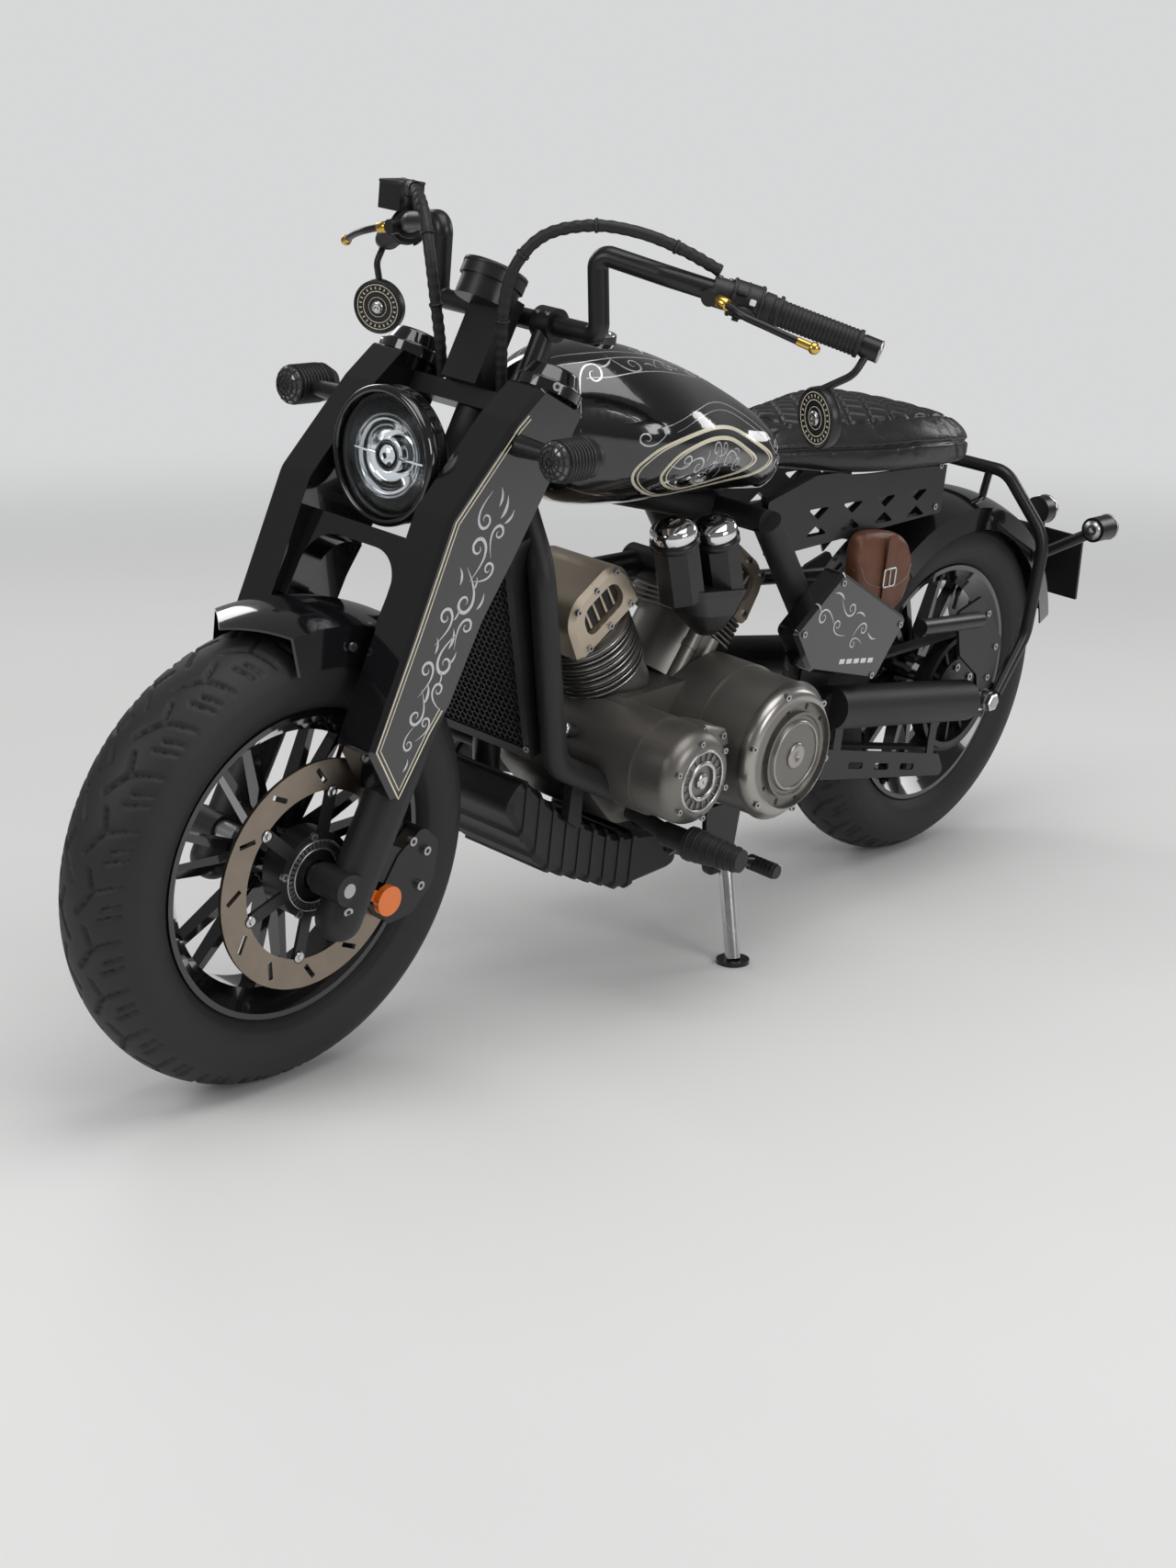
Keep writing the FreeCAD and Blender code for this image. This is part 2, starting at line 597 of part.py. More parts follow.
def yokes():
    """Two yokes on the stem, and the arch that ties the covers over the wheel."""
    leg_room = [feature("Part::Cylinder", f"yoke_leg_{name}", Placement(Vector(0, side * dim.leg_half, 400),
                        Rotation()), Radius="Sizes.tube_radius + Sizes.fixed_gap", Height=320)
                for name, side in (("left", 1), ("right", -1))]
    half = dim.leg_half - dim.cover_inside - 0.3
    plates = []
    for name, along in (("lower", dim.yoke_low), ("upper", dim.yoke_high)):
        plates.append(feature("Part::Box", f"yoke_{name}", Placement(Vector(-36, -half, along), Rotation()),
                              Length=48, Width=2 * half, Height="Sizes.yoke_thick"))
        plates.append(feature("Part::Cylinder", f"yoke_boss_{name}",
                              Placement(Vector(-dim.stem_back, 0, along), Rotation()),
                              Radius="Sizes.head_radius - 1", Height="Sizes.yoke_thick"))
    stem = feature("Part::Cylinder", "steering_stem",
                   Placement(Vector(-dim.stem_back, 0, dim.yoke_low), Rotation()),
                   Radius="Sizes.stem_radius",
                   Height="Sizes.yoke_high + Sizes.yoke_thick + 8 - Sizes.yoke_low")
    arm_place = FORK.inverse().multiply(Placement(Vector(1250, -18, 804), Rotation()))
    lamp_arm = feature("Part::Box", "lamp_arm", arm_place, Length=dim.lamp_ahead - dim.lamp_deep - 1250.3,
                       Width=36, Height=62)
    keep("yokes", cut("yokes", fuse("yokes_solid", plates + [stem, lamp_arm]), leg_room), FORK)
    arch_outer = corner_edges([(-half, 330, 0), (half, 330, 0), (half, 452, 0), (-half, 452, 0)])
    body = doc.addObject("PartDesign::Body", "fork_arch")
    blank = sketch(body, "YZ_Plane", arch_outer, "fork_arch_outline", 60)
    pad = body.newObject("PartDesign::Pad", "fork_arch_pad")
    pad.Profile = blank
    pad.Length = 36
    opening = corner_edges([(-half + 14, 300, 0), (half - 14, 300, 0), (half - 14, 428, 50),
                            (-half + 14, 428, 50)])
    hole = sketch(body, "YZ_Plane", opening, "fork_arch_opening", 55)
    pocket = body.newObject("PartDesign::Pocket", "fork_arch_pocket")
    pocket.Profile = hole
    pocket.Length = 60
    pocket.Reversed = True
    body.Tip = pocket
    keep("fork_arch", body, FORK)


def headlight():
    """Round shell with a peak, its domed glass a fixed gap inside the rim."""
    radius = dim.lamp_radius
    deep = dim.lamp_deep
    profile = corner_edges([(0, -deep, 0), (radius * 0.45, -deep, 12), (radius * 0.86, -deep * 0.55, 40),
                            (radius, -30, 10), (radius, 0, 0), (dim.glass_radius + 1, 0, 0),
                            (dim.glass_radius + 1, -16, 0), (dim.glass_radius - 8, -16, 0), (28, -48, 0),
                            (0, -48, 0)])
    place = Placement(Vector(dim.lamp_ahead, 0, dim.lamp_up), Rotation(UP, -90))
    keep("headlight_shell", turned("headlight_shell", profile, Placement()), place)
    rise = 11
    ball = (dim.glass_radius ** 2 + rise ** 2) / (2 * rise)
    dome = rise - ball + math.sqrt(ball ** 2 - dim.glass_radius ** 2 / 4)
    glass = [Part.LineSegment(Vector(0, -15.9, 0), Vector(dim.glass_radius, -15.9, 0)),
             Part.LineSegment(Vector(dim.glass_radius, -15.9, 0), Vector(dim.glass_radius, 0, 0)),
             Part.Arc(Vector(dim.glass_radius, 0, 0), Vector(dim.glass_radius / 2, dome, 0),
                      Vector(0, rise, 0)),
             Part.LineSegment(Vector(0, rise, 0), Vector(0, -15.9, 0))]
    keep("headlight_glass", turned("headlight_glass", glass, Placement()), place)


def front_fender():
    """Short saddle over the front tyre with a pointed tip ahead."""
    centre = Vector(dim.wheelbase - 8, 0, dim.tyre_radius - 22)
    outside, thick, half = 372, dim.fender_thick, 86
    crown = Vector(outside, 0, 0)
    rows = [(outside - 16, half - 10), (outside - 66, half)]

    def skin(step):
        return [Vector(rows[1][0], rows[1][1] - step, 0),
                Vector(rows[0][0] - step * 0.6, rows[0][1] - step * 0.8, 0)]

    edges = []
    for step in (0, thick):
        low, shoulder = skin(step)
        top = Vector(crown.x - step, 0, 0)
        flip = lambda p: Vector(p.x, -p.y, 0)
        edges.append([Part.LineSegment(low, shoulder), Part.Arc(shoulder, top, flip(shoulder)),
                      Part.LineSegment(flip(shoulder), flip(low))])
    outer, inner = edges
    low_outer, low_inner = skin(0)[0], skin(thick)[0]
    ends = [Part.LineSegment(low_inner, low_outer),
            Part.LineSegment(Vector(low_outer.x, -low_outer.y, 0), Vector(low_inner.x, -low_inner.y, 0))]
    wire = Part.Wire(Part.__sortEdges__([edge.toShape() for edge in outer + inner + ends]))
    face = Part.Face(wire)
    start = 70.0
    face.rotate(Vector(0, 0, 0), LEFT, -start)
    saddle = face.revolve(Vector(0, 0, 0), LEFT, -62.0)
    saddle.translate(centre)
    plan = Part.makePolygon([Vector(1200, -110, 0), Vector(1500, -110, 0), Vector(1540, -92, 0),
                             Vector(1608, 0, 0),
                             Vector(1540, 92, 0), Vector(1500, 110, 0), Vector(1200, 110, 0),
                             Vector(1200, -110, 0)])
    column = Part.Face(plan).extrude(Vector(0, 0, 900))
    blade = shaped("front_blade", saddle.common(column))
    lugs = []
    for name, side in (("left", 1), ("right", -1)):
        leg = side * dim.leg_half
        room = rod(f"fender_leg_{name}", on_fork(0, leg, 250), on_fork(0, leg, 350),
                   "Sizes.leg_radius + Sizes.turning_gap")
        lug = rod(f"fender_bar_{name}", on_fork(0, side * 78, 306), on_fork(0, side * 98, 306), "9")
        lugs.append(cut(f"fender_lug_{name}", lug, [room]))
    keep("front_fender", fuse("front_fender", [blade] + lugs))


def front_axle():
    half = dim.leg_half + dim.leg_radius - 4
    shaft = lying_cylinder("front_shaft", (FRONT_AXLE.x, FRONT_AXLE.z), "Sizes.axle_radius", -half - 8, half)
    head = lying_cylinder("front_axle_head", (FRONT_AXLE.x, FRONT_AXLE.z), 15, -half - 14, -half - 4)
    collars = [lying_cylinder(f"front_collar_{name}", (FRONT_AXLE.x, FRONT_AXLE.z), 17, low, high)
               for name, low, high in (("left", dim.hub_half + 0.5, dim.leg_half - dim.leg_radius + 1.7),
                                       ("right", -dim.leg_half + dim.leg_radius - 1.7, -dim.hub_half - 0.5))]
    keep("front_axle", fuse("front_axle", [shaft, head] + collars))


def front_caliper():
    """Caliper behind the left leg, its slot over the disc, on two ears of the leg."""
    outline = [(-150, -10, 14), (-112, -34, 10), (-72, -14, 10), (-80, 60, 16), (-106, 108, 14),
               (-146, 96, 16),
               (-168, 40, 20)]
    body = side_plate("caliper_blank", outline, dim.disc_left - 26, dim.disc_left + 30, 0)
    slot = lying_cylinder("caliper_slot", (dim.leg_lead, 0), "Sizes.disc_radius + 5",
                          dim.disc_left - dim.disc_thick / 2 - 3.5, dim.disc_left + dim.disc_thick / 2 + 3.5)
    ear = feature("Part::Box", "caliper_ear", Placement(Vector(-90, dim.disc_left + 14, 18), Rotation()),
                  Length=62, Width=14, Height=52)
    caliper = cut("front_caliper_cut", fuse("front_caliper_solid", [body, ear]), [slot])
    room = feature("Part::Cylinder", "caliper_leg_room", Placement(Vector(0, dim.leg_half, -60), Rotation()),
                   Radius="Sizes.leg_radius + Sizes.fixed_gap", Height=300)
    keep("front_caliper", cut("front_caliper", caliper, [room]), FORK)
    lens = lying_cylinder("reflector_lens", (-68, 0), 21, dim.leg_half + 4, dim.leg_half + 14)
    bracket = feature("Part::Box", "reflector_bracket", Placement(Vector(-78, dim.leg_half, -8), Rotation()),
                      Length=50, Width=4, Height=16)
    keep("front_reflector", cut("reflector_cut", fuse("reflector_solid", [lens, bracket]), [room]), FORK)


def front_signals():
    """Round ribbed lamps on tapered rubber stalks from the covers."""
    lamp_at = Vector(1262, 250, 890)
    stalk = feature("Part::Cone", "signal_stalk",
                    toward(Vector(1262, dim.leg_half + dim.cover_outside + 0.3, 890),
                                                        Vector(1262, 252, 890)),
                    Radius1=15, Radius2=10, Height=70)
    shell = feature("Part::Cylinder", "signal_shell",
                    Placement(lamp_at - Vector(34, 0, 0), Rotation(LEFT, 90)),
                    Radius=27, Height=58)
    tail = feature("Part::Cone", "signal_tail", Placement(lamp_at - Vector(52, 0, 0), Rotation(LEFT, 90)),
                   Radius1=17, Radius2=27, Height=18)
    keep("front_signals", pair("front_signals", fuse("front_signal", [stalk, shell, tail])))


def handlebar():
    """Z-shaped bar: low middle stretch, square uprights, swept ends."""
    half = [Vector(1110, 150, dim.bar_up - 8), Vector(1120, 142, 1128), Vector(1088, 236, 1112),
            Vector(1006, 330, 1086), Vector(931, 444, 1052)]
    right = [Vector(p.x, -p.y, p.z) for p in reversed(half)]
    bends = [70, 50, 16, 16, 16, 16, 50, 70]
    path = right + half
    bar = bent_tube("handlebar", path, bends, dim.bar_radius)
    keep("handlebar", bar)
    inner, outer = half[3], half[4]
    along = (outer - inner).normalize()
    end = outer - along * 2
    grip = feature("Part::Cylinder", "grip", toward(end - along * dim.grip_long, end),
                   Radius="Sizes.grip_radius", Height="Sizes.grip_long")
    room = feature("Part::Cylinder", "grip_room", toward(end - along * dim.grip_long * 1.2, end),
                   Radius="Sizes.bar_radius + Sizes.fixed_gap", Height=dim.grip_long * 1.5)
    keep("grips", pair("grips", cut("grip_cut", grip, [room])))
    inward = (half[2] - inner).normalize()
    pod = feature("Part::Cylinder", "switch_pod", toward(inner, inner + inward * 42), Radius=24, Height=42)
    perch_at = inner + inward * 54
    perch = feature("Part::Cylinder", "lever_perch", toward(perch_at - inward * 13, perch_at + inward * 13),
                    Radius=20, Height=26)
    reach = Vector(34, 6, -4)
    arm = rod("perch_arm", perch_at, perch_at + reach, "11")
    bar_room = bent_tube("pod_room", half[1:], [50, 70], dim.bar_radius + dim.fixed_gap)
    pods = pair("switch_pods_pair",
                cut("switch_pod_cut", fuse("switch_pod_solid", [pod, perch, arm]), [bar_room]))
    cup_at = perch_at - inward * 36
    cup = feature("Part::Box", "fluid_cup", Placement(Vector(cup_at.x - 8, -cup_at.y - 22, cup_at.z + 25),
                                                      Rotation()), Length=48, Width=44, Height=38)
    keep("switch_pods", fuse("switch_pods", [pods, cup]))
    root = perch_at + reach * 0.8 + Vector(-1, 12.4, -2)
    lever = bent_tube("lever", [root, root + Vector(2, 44, -12), root + Vector(-42, 128, -40)], [30], 6)
    keep("levers", pair("levers", lever))


def mirrors():
    """Round glasses hung from the bar ends."""
    end = Vector(931, 444, 1052)
    clamp = rod("mirror_clamp", end + Vector(0.3, 0, 0), end + Vector(-12, 18, -6), "15")
    centre = Vector(961, 418, 955)
    arm = bent_tube("mirror_arm",
                    [end + Vector(-6, 9, -3), Vector(948, 448, 1015), Vector(969, 417, 992)], [30], 5)
    facing = Vector(-0.93, 0.33, 0.1).normalize()
    glass = feature("Part::Cylinder", "mirror_disc", toward(centre, centre - facing),
                    Radius="Sizes.mirror_radius",
                    Height=12)
    room = feature("Part::Cylinder", "mirror_bar_room", toward(Vector(1006, 330, 1086), end),
                   Radius="Sizes.grip_radius + Sizes.fixed_gap",
                   Height=(end - Vector(1006, 330, 1086)).Length + 0.2)
    keep("mirrors", pair("mirrors", cut("mirror_cut", fuse("mirror", [clamp, arm, glass]), [room])))


def cockpit():
    """Risers from the upper yoke, round gauge and the box under it."""
    base = on_fork(-dim.stem_back, 60, dim.yoke_high + dim.yoke_thick + 1.5)
    top = Vector(1116, 60, dim.bar_up - 14)
    riser = rod("riser", base, top, "15")
    bar_at = Vector(1110, 60, dim.bar_up - 8)
    cap = feature("Part::Cylinder", "riser_cap",
                  toward(bar_at - Vector(0, 16, 0), bar_at + Vector(0, 16, 0)),
                  Radius="Sizes.bar_radius + 9", Height=32)
    room = bent_tube("riser_bar_room",
                     [Vector(1110, -150, dim.bar_up - 8), Vector(1110, 150, dim.bar_up - 8)], [],
                     dim.bar_radius + dim.fixed_gap)
    keep("risers", pair("risers", cut("riser_cut", fuse("riser_solid", [riser, cap]), [room])))
    gauge_axis = Vector(-0.42, 0, 0.9).normalize()
    gauge_at = Vector(1178, 0, 1040)
    can = [feature("Part::Cylinder", f"gauge_{name}",
                   toward(gauge_at + gauge_axis * low, gauge_at + gauge_axis * 90),
                   Radius=radius, Height=tall)
           for name, low, radius, tall in (("can", 0, 41, 30), ("bezel", 29, 45, 18))]
    box_at = on_fork(-2, -32, dim.yoke_high + dim.yoke_thick + 0.3)
    box = feature("Part::Box", "gauge_box", Placement(box_at, FORK.Rotation), Length=34, Width=64,
                  Height=126)
    keep("gauge", fuse("gauge", can + [box]))


def cables():
    """Taped looms from both switches, arching over and down behind the headlight."""
    points = [Vector(1043, 286, 1125), Vector(1082, 250, 1148), Vector(1122, 208, 1164),
              Vector(1160, 160, 1166),
              Vector(1192, 110, 1146), Vector(1208, 78, 1100), Vector(1206, 64, 1044), Vector(1196, 58, 985),
              Vector(1187.5, 56, 932.5)]
    loom = bent_tube("loom", points, cord_bends(points), dim.cable_radius)
    print("loom bends", [round(radius) for radius in cord_bends(points)])
    keep("cables", pair("cables", loom))


# Frame and engine

SEAT_JOINT = Vector(640, 0, 706)
SEAT_FOOT = Vector(452, 0, 470)
RAIL_POINTS = [Vector(1088, 4, 794), Vector(1138, dim.rail_half, 700), Vector(1070, dim.rail_half, 398),
               Vector(835, dim.rail_half, 287), Vector(604, dim.rail_half, 258)]
RAIL_BENDS = [60, 60, 90]


def main_frame():
    """Head tube, backbone under the tank and the two seat tubes down to the pivot."""
    head_low = on_fork(-dim.stem_back, 0, dim.yoke_low + dim.yoke_thick + 0.4)
    head_high = on_fork(-dim.stem_back, 0, dim.yoke_high - 0.4)
    head = rod("head_tube", head_low, head_high, "Sizes.head_radius")
    spine_start = on_fork(-dim.stem_back, 0, 590)
    spine = rod("spine_tube", spine_start, SEAT_JOINT, "Sizes.rail_radius + 6")
    across = Vector(0, dim.seat_tube_half, 0)
    cross = feature("Part::Cylinder", "seat_cross", toward(SEAT_JOINT - across, SEAT_JOINT + across),
                    Radius="Sizes.rail_radius", Height="2 * Sizes.seat_tube_half")
    seat_tubes = [rod(f"seat_tube_{name}", SEAT_JOINT + across * side, SEAT_FOOT + across * side,
                      "Sizes.rail_radius + 4") for name, side in (("left", 1), ("right", -1))]
    room = feature("Part::Cylinder", "stem_room", toward(head_low - (head_high - head_low), head_high),
                   Radius="Sizes.stem_radius + Sizes.turning_gap", Height=3 * (head_high - head_low).Length)
    plate = side_plate("pivot_plate_blank", [(486, 500, 10), (430, 486, 14), (412, 392, 16), (440, 318, 16),
                                             (560, 236, 10), (612, 240, 6), (612, 274, 6), (520, 330, 30),
                                             (500, 400, 20)], 109.6, 115.7, 0)
    pivot = lying_cylinder("plate_pivot_room", (dim.swingarm_pivot, dim.swingarm_up),
                           "Sizes.swingarm_radius - 12 + Sizes.fixed_gap", 100, 130)
    past = RAIL_POINTS[4] + (RAIL_POINTS[4] - RAIL_POINTS[3]).normalize() * 0.1
    rail = rod("plate_rail_room", RAIL_POINTS[3], past, "Sizes.rail_radius + Sizes.fixed_gap")
    plate = cut("pivot_plate", plate, [pivot, rail])
    solid = fuse("main_frame_solid",
                 [head, spine, cross, plate, mirrored("pivot_plate_right", plate)] + seat_tubes)
    keep("main_frame", cut("main_frame", solid, [room]))


def cradle():
    """Down tubes beside the radiator and the lower rails under the engine."""
    left = bent_tube("cradle_left", RAIL_POINTS, RAIL_BENDS, dim.rail_radius)
    room = rod("cradle_spine_room", on_fork(-dim.stem_back, 0, 590), SEAT_JOINT,
               "Sizes.rail_radius + 6 + Sizes.turning_gap")
    left = cut("cradle_side", left, [room])
    keep("cradle", pair("cradle", left))


def head_cover(name, place):
    """D-shaped head, bevelled round both faces, with a sunk panel in each."""
    low, high = dim.head_start + 0.1, dim.head_end
    half = side_plate(f"head_{name}_half",
                      [(-74, low, 10), (74, low, 10), (66, high, 44), (-66, high, 44)], 0, 70, 8)
    panel = side_plate(f"head_{name}_panel", [(-44, low + 26, 16), (44, low + 26, 16), (40, high - 22, 22),
                                              (-40, high - 22, 22)], 58, 80, 0)
    half.Placement = place
    panel.Placement = place
    side = cut(f"head_{name}_side", half, [panel])
    return fuse(f"head_{name}_blank", [side, mirrored(f"head_{name}_right", side)])


def barrel(name, place):
    """Cylinder from the case to its head: round fins in front, squared ribs and two tubes behind."""
    foot = 96
    shape = Part.makeCylinder(dim.barrel_radius, dim.head_start - foot, Vector(0, 0, foot))
    more = []
    if name == "front":
        more.append(Part.makeCylinder(dim.barrel_radius + 4, 44, Vector(0, 0, foot)))
        for index in range(int(dim.fin_count)):
            more.append(Part.makeCylinder(dim.fin_radius, dim.fin_thick,
                                          Vector(0, 0, dim.fin_start + index * dim.fin_pitch)))
    else:
        square = corner_edges([(-71, -69, 22), (71, -69, 22), (71, 69, 22), (-71, 69, 22)])
        rib = Part.Face(Part.Wire([edge.toShape() for edge in square])).extrude(Vector(0, 0, dim.fin_thick))
        for index in range(int(dim.fin_count)):
            up = dim.fin_start + index * dim.fin_pitch
            if up > dim.fin_start + 38:
                more.append(rib.translated(Vector(0, 0, up)))
        for ahead in (-22, 22):
            more.append(Part.makeCylinder(15, 90, Vector(ahead, 56, foot)))
            more.append(Part.makeCylinder(16.5, 10, Vector(ahead, 56, foot + 54)))
    solid = shape.multiFuse(more)
    solid.Placement = place
    return shaped(f"cylinder_{name}", solid)


def round_cover(name, centre, rows):
    """A turned cover from (radius, left, corner radius) rows."""
    return turned(name, corner_edges(rows), Placement(Vector(centre[0], 0, centre[1]), Rotation()))


def engine():
    """Crankcase, finned cylinders, head covers and the round covers on both sides."""
    crank = Vector(dim.engine_ahead, 0, dim.engine_up)
    small_at = (dim.alternator_ahead, dim.engine_up + 14)
    drum_at = (dim.drum_ahead, dim.drum_up)
    case = [(560, 300, 30), (640, 250, 40), (900, 262, 50), (968, 330, 50), (962, 420, 40), (900, 462, 30),
            (690, 470, 40), (590, 470, 40), (548, 400, 30)]
    body = side_plate("crankcase", case, -dim.case_half + 26, dim.case_half - 26, 0)
    left = lying_cylinder("case_left", small_at, "Sizes.alternator_radius + 4", 0, dim.case_half + 52)
    gearbox = lying_cylinder("case_gearbox", drum_at, "Sizes.drum_radius + 4", -dim.case_half - 30,
                             dim.case_half + 30)
    places = {name: Placement(crank, Rotation(LEFT, side * dim.vee_half)) for name,
              side in (("front", 1), ("rear", -1))}
    keep("cylinders", group("cylinders", [barrel(name, place) for name, place in places.items()]))
    keep("head_covers", group("head_covers", [head_cover(name, place) for name, place in places.items()]))
    rooms = []
    for name, place in places.items():
        rooms.append(feature("Part::Cylinder", f"barrel_room_{name}",
                             Placement(place.multVec(Vector(0, 0, 96)), place.Rotation),
                             Radius="Sizes.fin_radius + 1", Height=300))
    groove = bent_tube("rail_groove", RAIL_POINTS, RAIL_BENDS, dim.rail_radius + dim.turning_gap)
    rooms.append(pair("rail_grooves", groove))
    drive = (dim.drive_ahead, dim.drive_up)
    rooms.append(lying_cylinder("drive_room", drive, "Sizes.drive_radius + 14", dim.pulley_left - 16, 200))
    sprocket = lying_cylinder("drive_sprocket", drive, "Sizes.drive_radius - Sizes.turning_gap",
                              dim.pulley_left - 22, dim.pulley_left + 13)
    solid = fuse("engine_case_solid", [body, left, gearbox])
    keep("engine_case", fuse("engine_case", [cut("engine_case_cut", solid, rooms), sprocket]))
    wide, face, back = dim.drum_radius, dim.drum_left, dim.case_half + 30.1
    drum = round_cover("drum_cover", drum_at, [
        (0, back, 0), (wide, back, 0), (wide, face - 26, 0), (wide - 24, face, 0), (wide - 24, face - 8, 0),
        (wide - 40, face - 8, 0), (wide - 40, face, 0), (wide - 44, face, 0), (wide - 46, face - 3, 0),
        (wide - 51, face - 3, 0), (wide - 53, face, 0), (0, face, 0)])
    wide, face, back = dim.alternator_radius, dim.alternator_left, dim.case_half + 52.1
    small = round_cover("alternator_blank", small_at, [
        (0, back, 0), (wide, back, 0), (wide, face, 26), (44, face, 0), (44, face - 3, 0), (30, face - 3, 0),
        (30, face, 0), (24, face, 0), (24, face - 4, 0), (12, face - 4, 0), (12, face, 0), (0, face, 0)])
    lug = side_plate("alternator_lug", [(880, 456, 10), (812, 436, 6), (800, 410, 6), (860, 398, 6)],
                     back, face - 30, 4)
    wide, face = dim.drum_radius - 4, -dim.case_half - 84
    clutch = round_cover("clutch_cover", drum_at, [
        (0, face + 53.9, 0), (0, face, 0), (wide - 50, face, 0), (wide - 54, face + 6, 0),
        (wide - 24, face + 6, 0),
        (wide, face + 22, 0), (wide, face + 53.9, 0)])
    keep("engine_covers", group("engine_covers", [drum, fuse("alternator_cover", [small, lug]), clutch]))


def intake_cover():
    """Bowl with two capped lobes standing between the cylinders on the left, its throat to both heads."""
    left = 114
    bowl_place = Placement(Vector(770, left, 614), Rotation(LEFT, -5))
    # ahead, up, half ahead, half left
    rows = [(0, 10, 80, 36.5), (0, 0, 78, 36.5), (-6, -30, 58, 32), (-14, -54, 32, 22), (-16, -66, 14, 10)]
    wires = []
    for ahead, up, half, wide in rows:
        oval = corner_edges([(-half, -wide, wide - 1), (half, -wide, wide - 1), (half, wide, wide - 1),
                             (-half, wide, wide - 1)])
        wire = Part.Wire([edge.toShape() for edge in oval])
        wire.Placement = bowl_place.multiply(Placement(Vector(ahead, 0, up), Rotation()))
        wires.append(wire)
    parts = [shaped("intake_bowl", Part.makeLoft(wires, True, True))]
    for index, (ahead, up) in enumerate(((833, 640), (737, 632))):
        place = Placement(Vector(ahead, left, up), Rotation(LEFT, 20))
        ring = [Vector(36 * math.cos(math.radians(45 * turn + 22.5)),
                       36 * math.sin(math.radians(45 * turn + 22.5)), 0)
                for turn in range(8)]
        lobe = Part.Face(Part.makePolygon(ring + [ring[0]])).extrude(Vector(0, 0, 92))
        lobe.translate(Vector(0, 0, -26))
        lobe.Placement = place.multiply(lobe.Placement)
        parts.append(shaped(f"intake_lobe_{index}", lobe))
        dome = turned(f"intake_dome_{index}",
                      corner_edges([(0, 60, 0), (34, 60, 0), (34, 100, 24), (0, 100, 0)]),
                      place.multiply(Placement(Vector(), Rotation(Vector(1, 0, 0), 90))))
        parts.append(dome)
    parts.append(lying_cylinder("intake_throat", (788, 634), 26, -20, 90))
    parts.append(rod("intake_cross", Vector(680, 0, 634), Vector(896, 0, 634), "20"))
    heads = [doc.getObject(f"head_{name}_blank") for name in ("front", "rear")]
    keep("intake_cover", cut("intake_cover", fuse("intake_solid", parts), heads))


def radiator():
    """Core behind a black surround, top forward along the down tubes."""
    place = Placement(Vector(dim.radiator_ahead, 0, 575), Rotation(LEFT, dim.radiator_tilt))
    half = dim.radiator_half
    tall = dim.radiator_tall
    outer = feature("Part::Box", "radiator_outer", Placement(Vector(-10, -half, -tall / 2), Rotation()),
                    Length="Sizes.radiator_deep + 14", Width=2 * half, Height="Sizes.radiator_tall")
    window = feature("Part::Box", "radiator_window",
                     Placement(Vector(-20, -half + 12, -tall / 2 + 14), Rotation()),
                     Length=100, Width=2 * half - 24, Height="Sizes.radiator_tall - 28")
    groove = bent_tube("radiator_groove", RAIL_POINTS[:3], RAIL_BENDS[:1], dim.rail_radius + dim.turning_gap)
    groove.Placement = place.inverse()
    grooves = pair("radiator_grooves", groove)
    keep("radiator_frame", cut("radiator_frame", outer, [window, grooves]), place)
    core = feature("Part::Box", "radiator_core", None, Length="Sizes.radiator_deep", Width=2 * half - 24.2,
                   Height="Sizes.radiator_tall - 28.2")
    inner = Placement(Vector(0, -half + 12.1, -tall / 2 + 14.1), Rotation())
    keep("radiator_core", core, place.multiply(inner))


def belly():
    """Ribbed silencer box under the engine and the exhaust pipes that feed it."""
    box = side_plate("belly_core", [(1095, 372, 20), (1130, 330, 20), (1040, 220, 40), (850, 142, 30),
                                   (720, 150, 20), (720, 214, 20), (880, 236, 40), (1010, 300, 30)], -84,
                                   84, 8)
    ribs = []
    for index in range(9):
        ahead = 830 + 32 * index
        rib = Part.makeBox(9, 172, 500, Vector(ahead, -86, 100))
        ribs.append(shaped(f"belly_rib_{index}", rib))
    shell = side_plate("belly_shell", [(1099, 376, 20), (1136, 330, 20), (1043, 216, 40), (850, 137, 30),
                                       (716, 146, 20), (716, 218, 20), (880, 241, 40), (1010, 306, 30)],
                                       -86, 86, 8)
    ribbed = doc.addObject("Part::Common", "belly_ribs")
    ribbed.Base = shell
    ribbed.Tool = fuse("belly_rib_set", ribs)
    hanger = side_plate("belly_hanger", [(975, 270, 4), (1005, 290, 4), (1002, 372, 8), (978, 366, 8)], 78,
                        dim.rail_half - dim.rail_radius - 0.3, 0)
    ribbed_box = fuse("belly", [box, ribbed, hanger, mirrored("belly_hanger_right", hanger)])
    keep("belly_box", group("belly_box", [ribbed_box]))
    front = bent_tube("front_pipe", [Vector(990, -40, 560), Vector(1048, -58, 520), Vector(1036, -62, 420),
                                     Vector(1022, -62, 306)], [26, 60], 19)
    rear = bent_tube("rear_pipe", [Vector(566, -40, 560), Vector(522, -54, 500), Vector(520, -66, 430),
                                   Vector(548, -168, 372), Vector(560, -176, 250), Vector(480, -176, 216)],
                     [26, 30, 30, 40], 19)
    tail = rod("tail_pipe", Vector(480, -176, 216), Vector(150, -184, 228), "40")
    heads = [doc.getObject(f"head_{name}_blank") for name in ("front", "rear")]
    front = cut("front_exhaust", front, [heads[0], ribbed_box])
    rear = cut("rear_exhaust", fuse("rear_exhaust_solid", [rear, tail]), [heads[1]])
    keep("exhaust_pipes", group("exhaust_pipes", [front, rear]))


# Body work

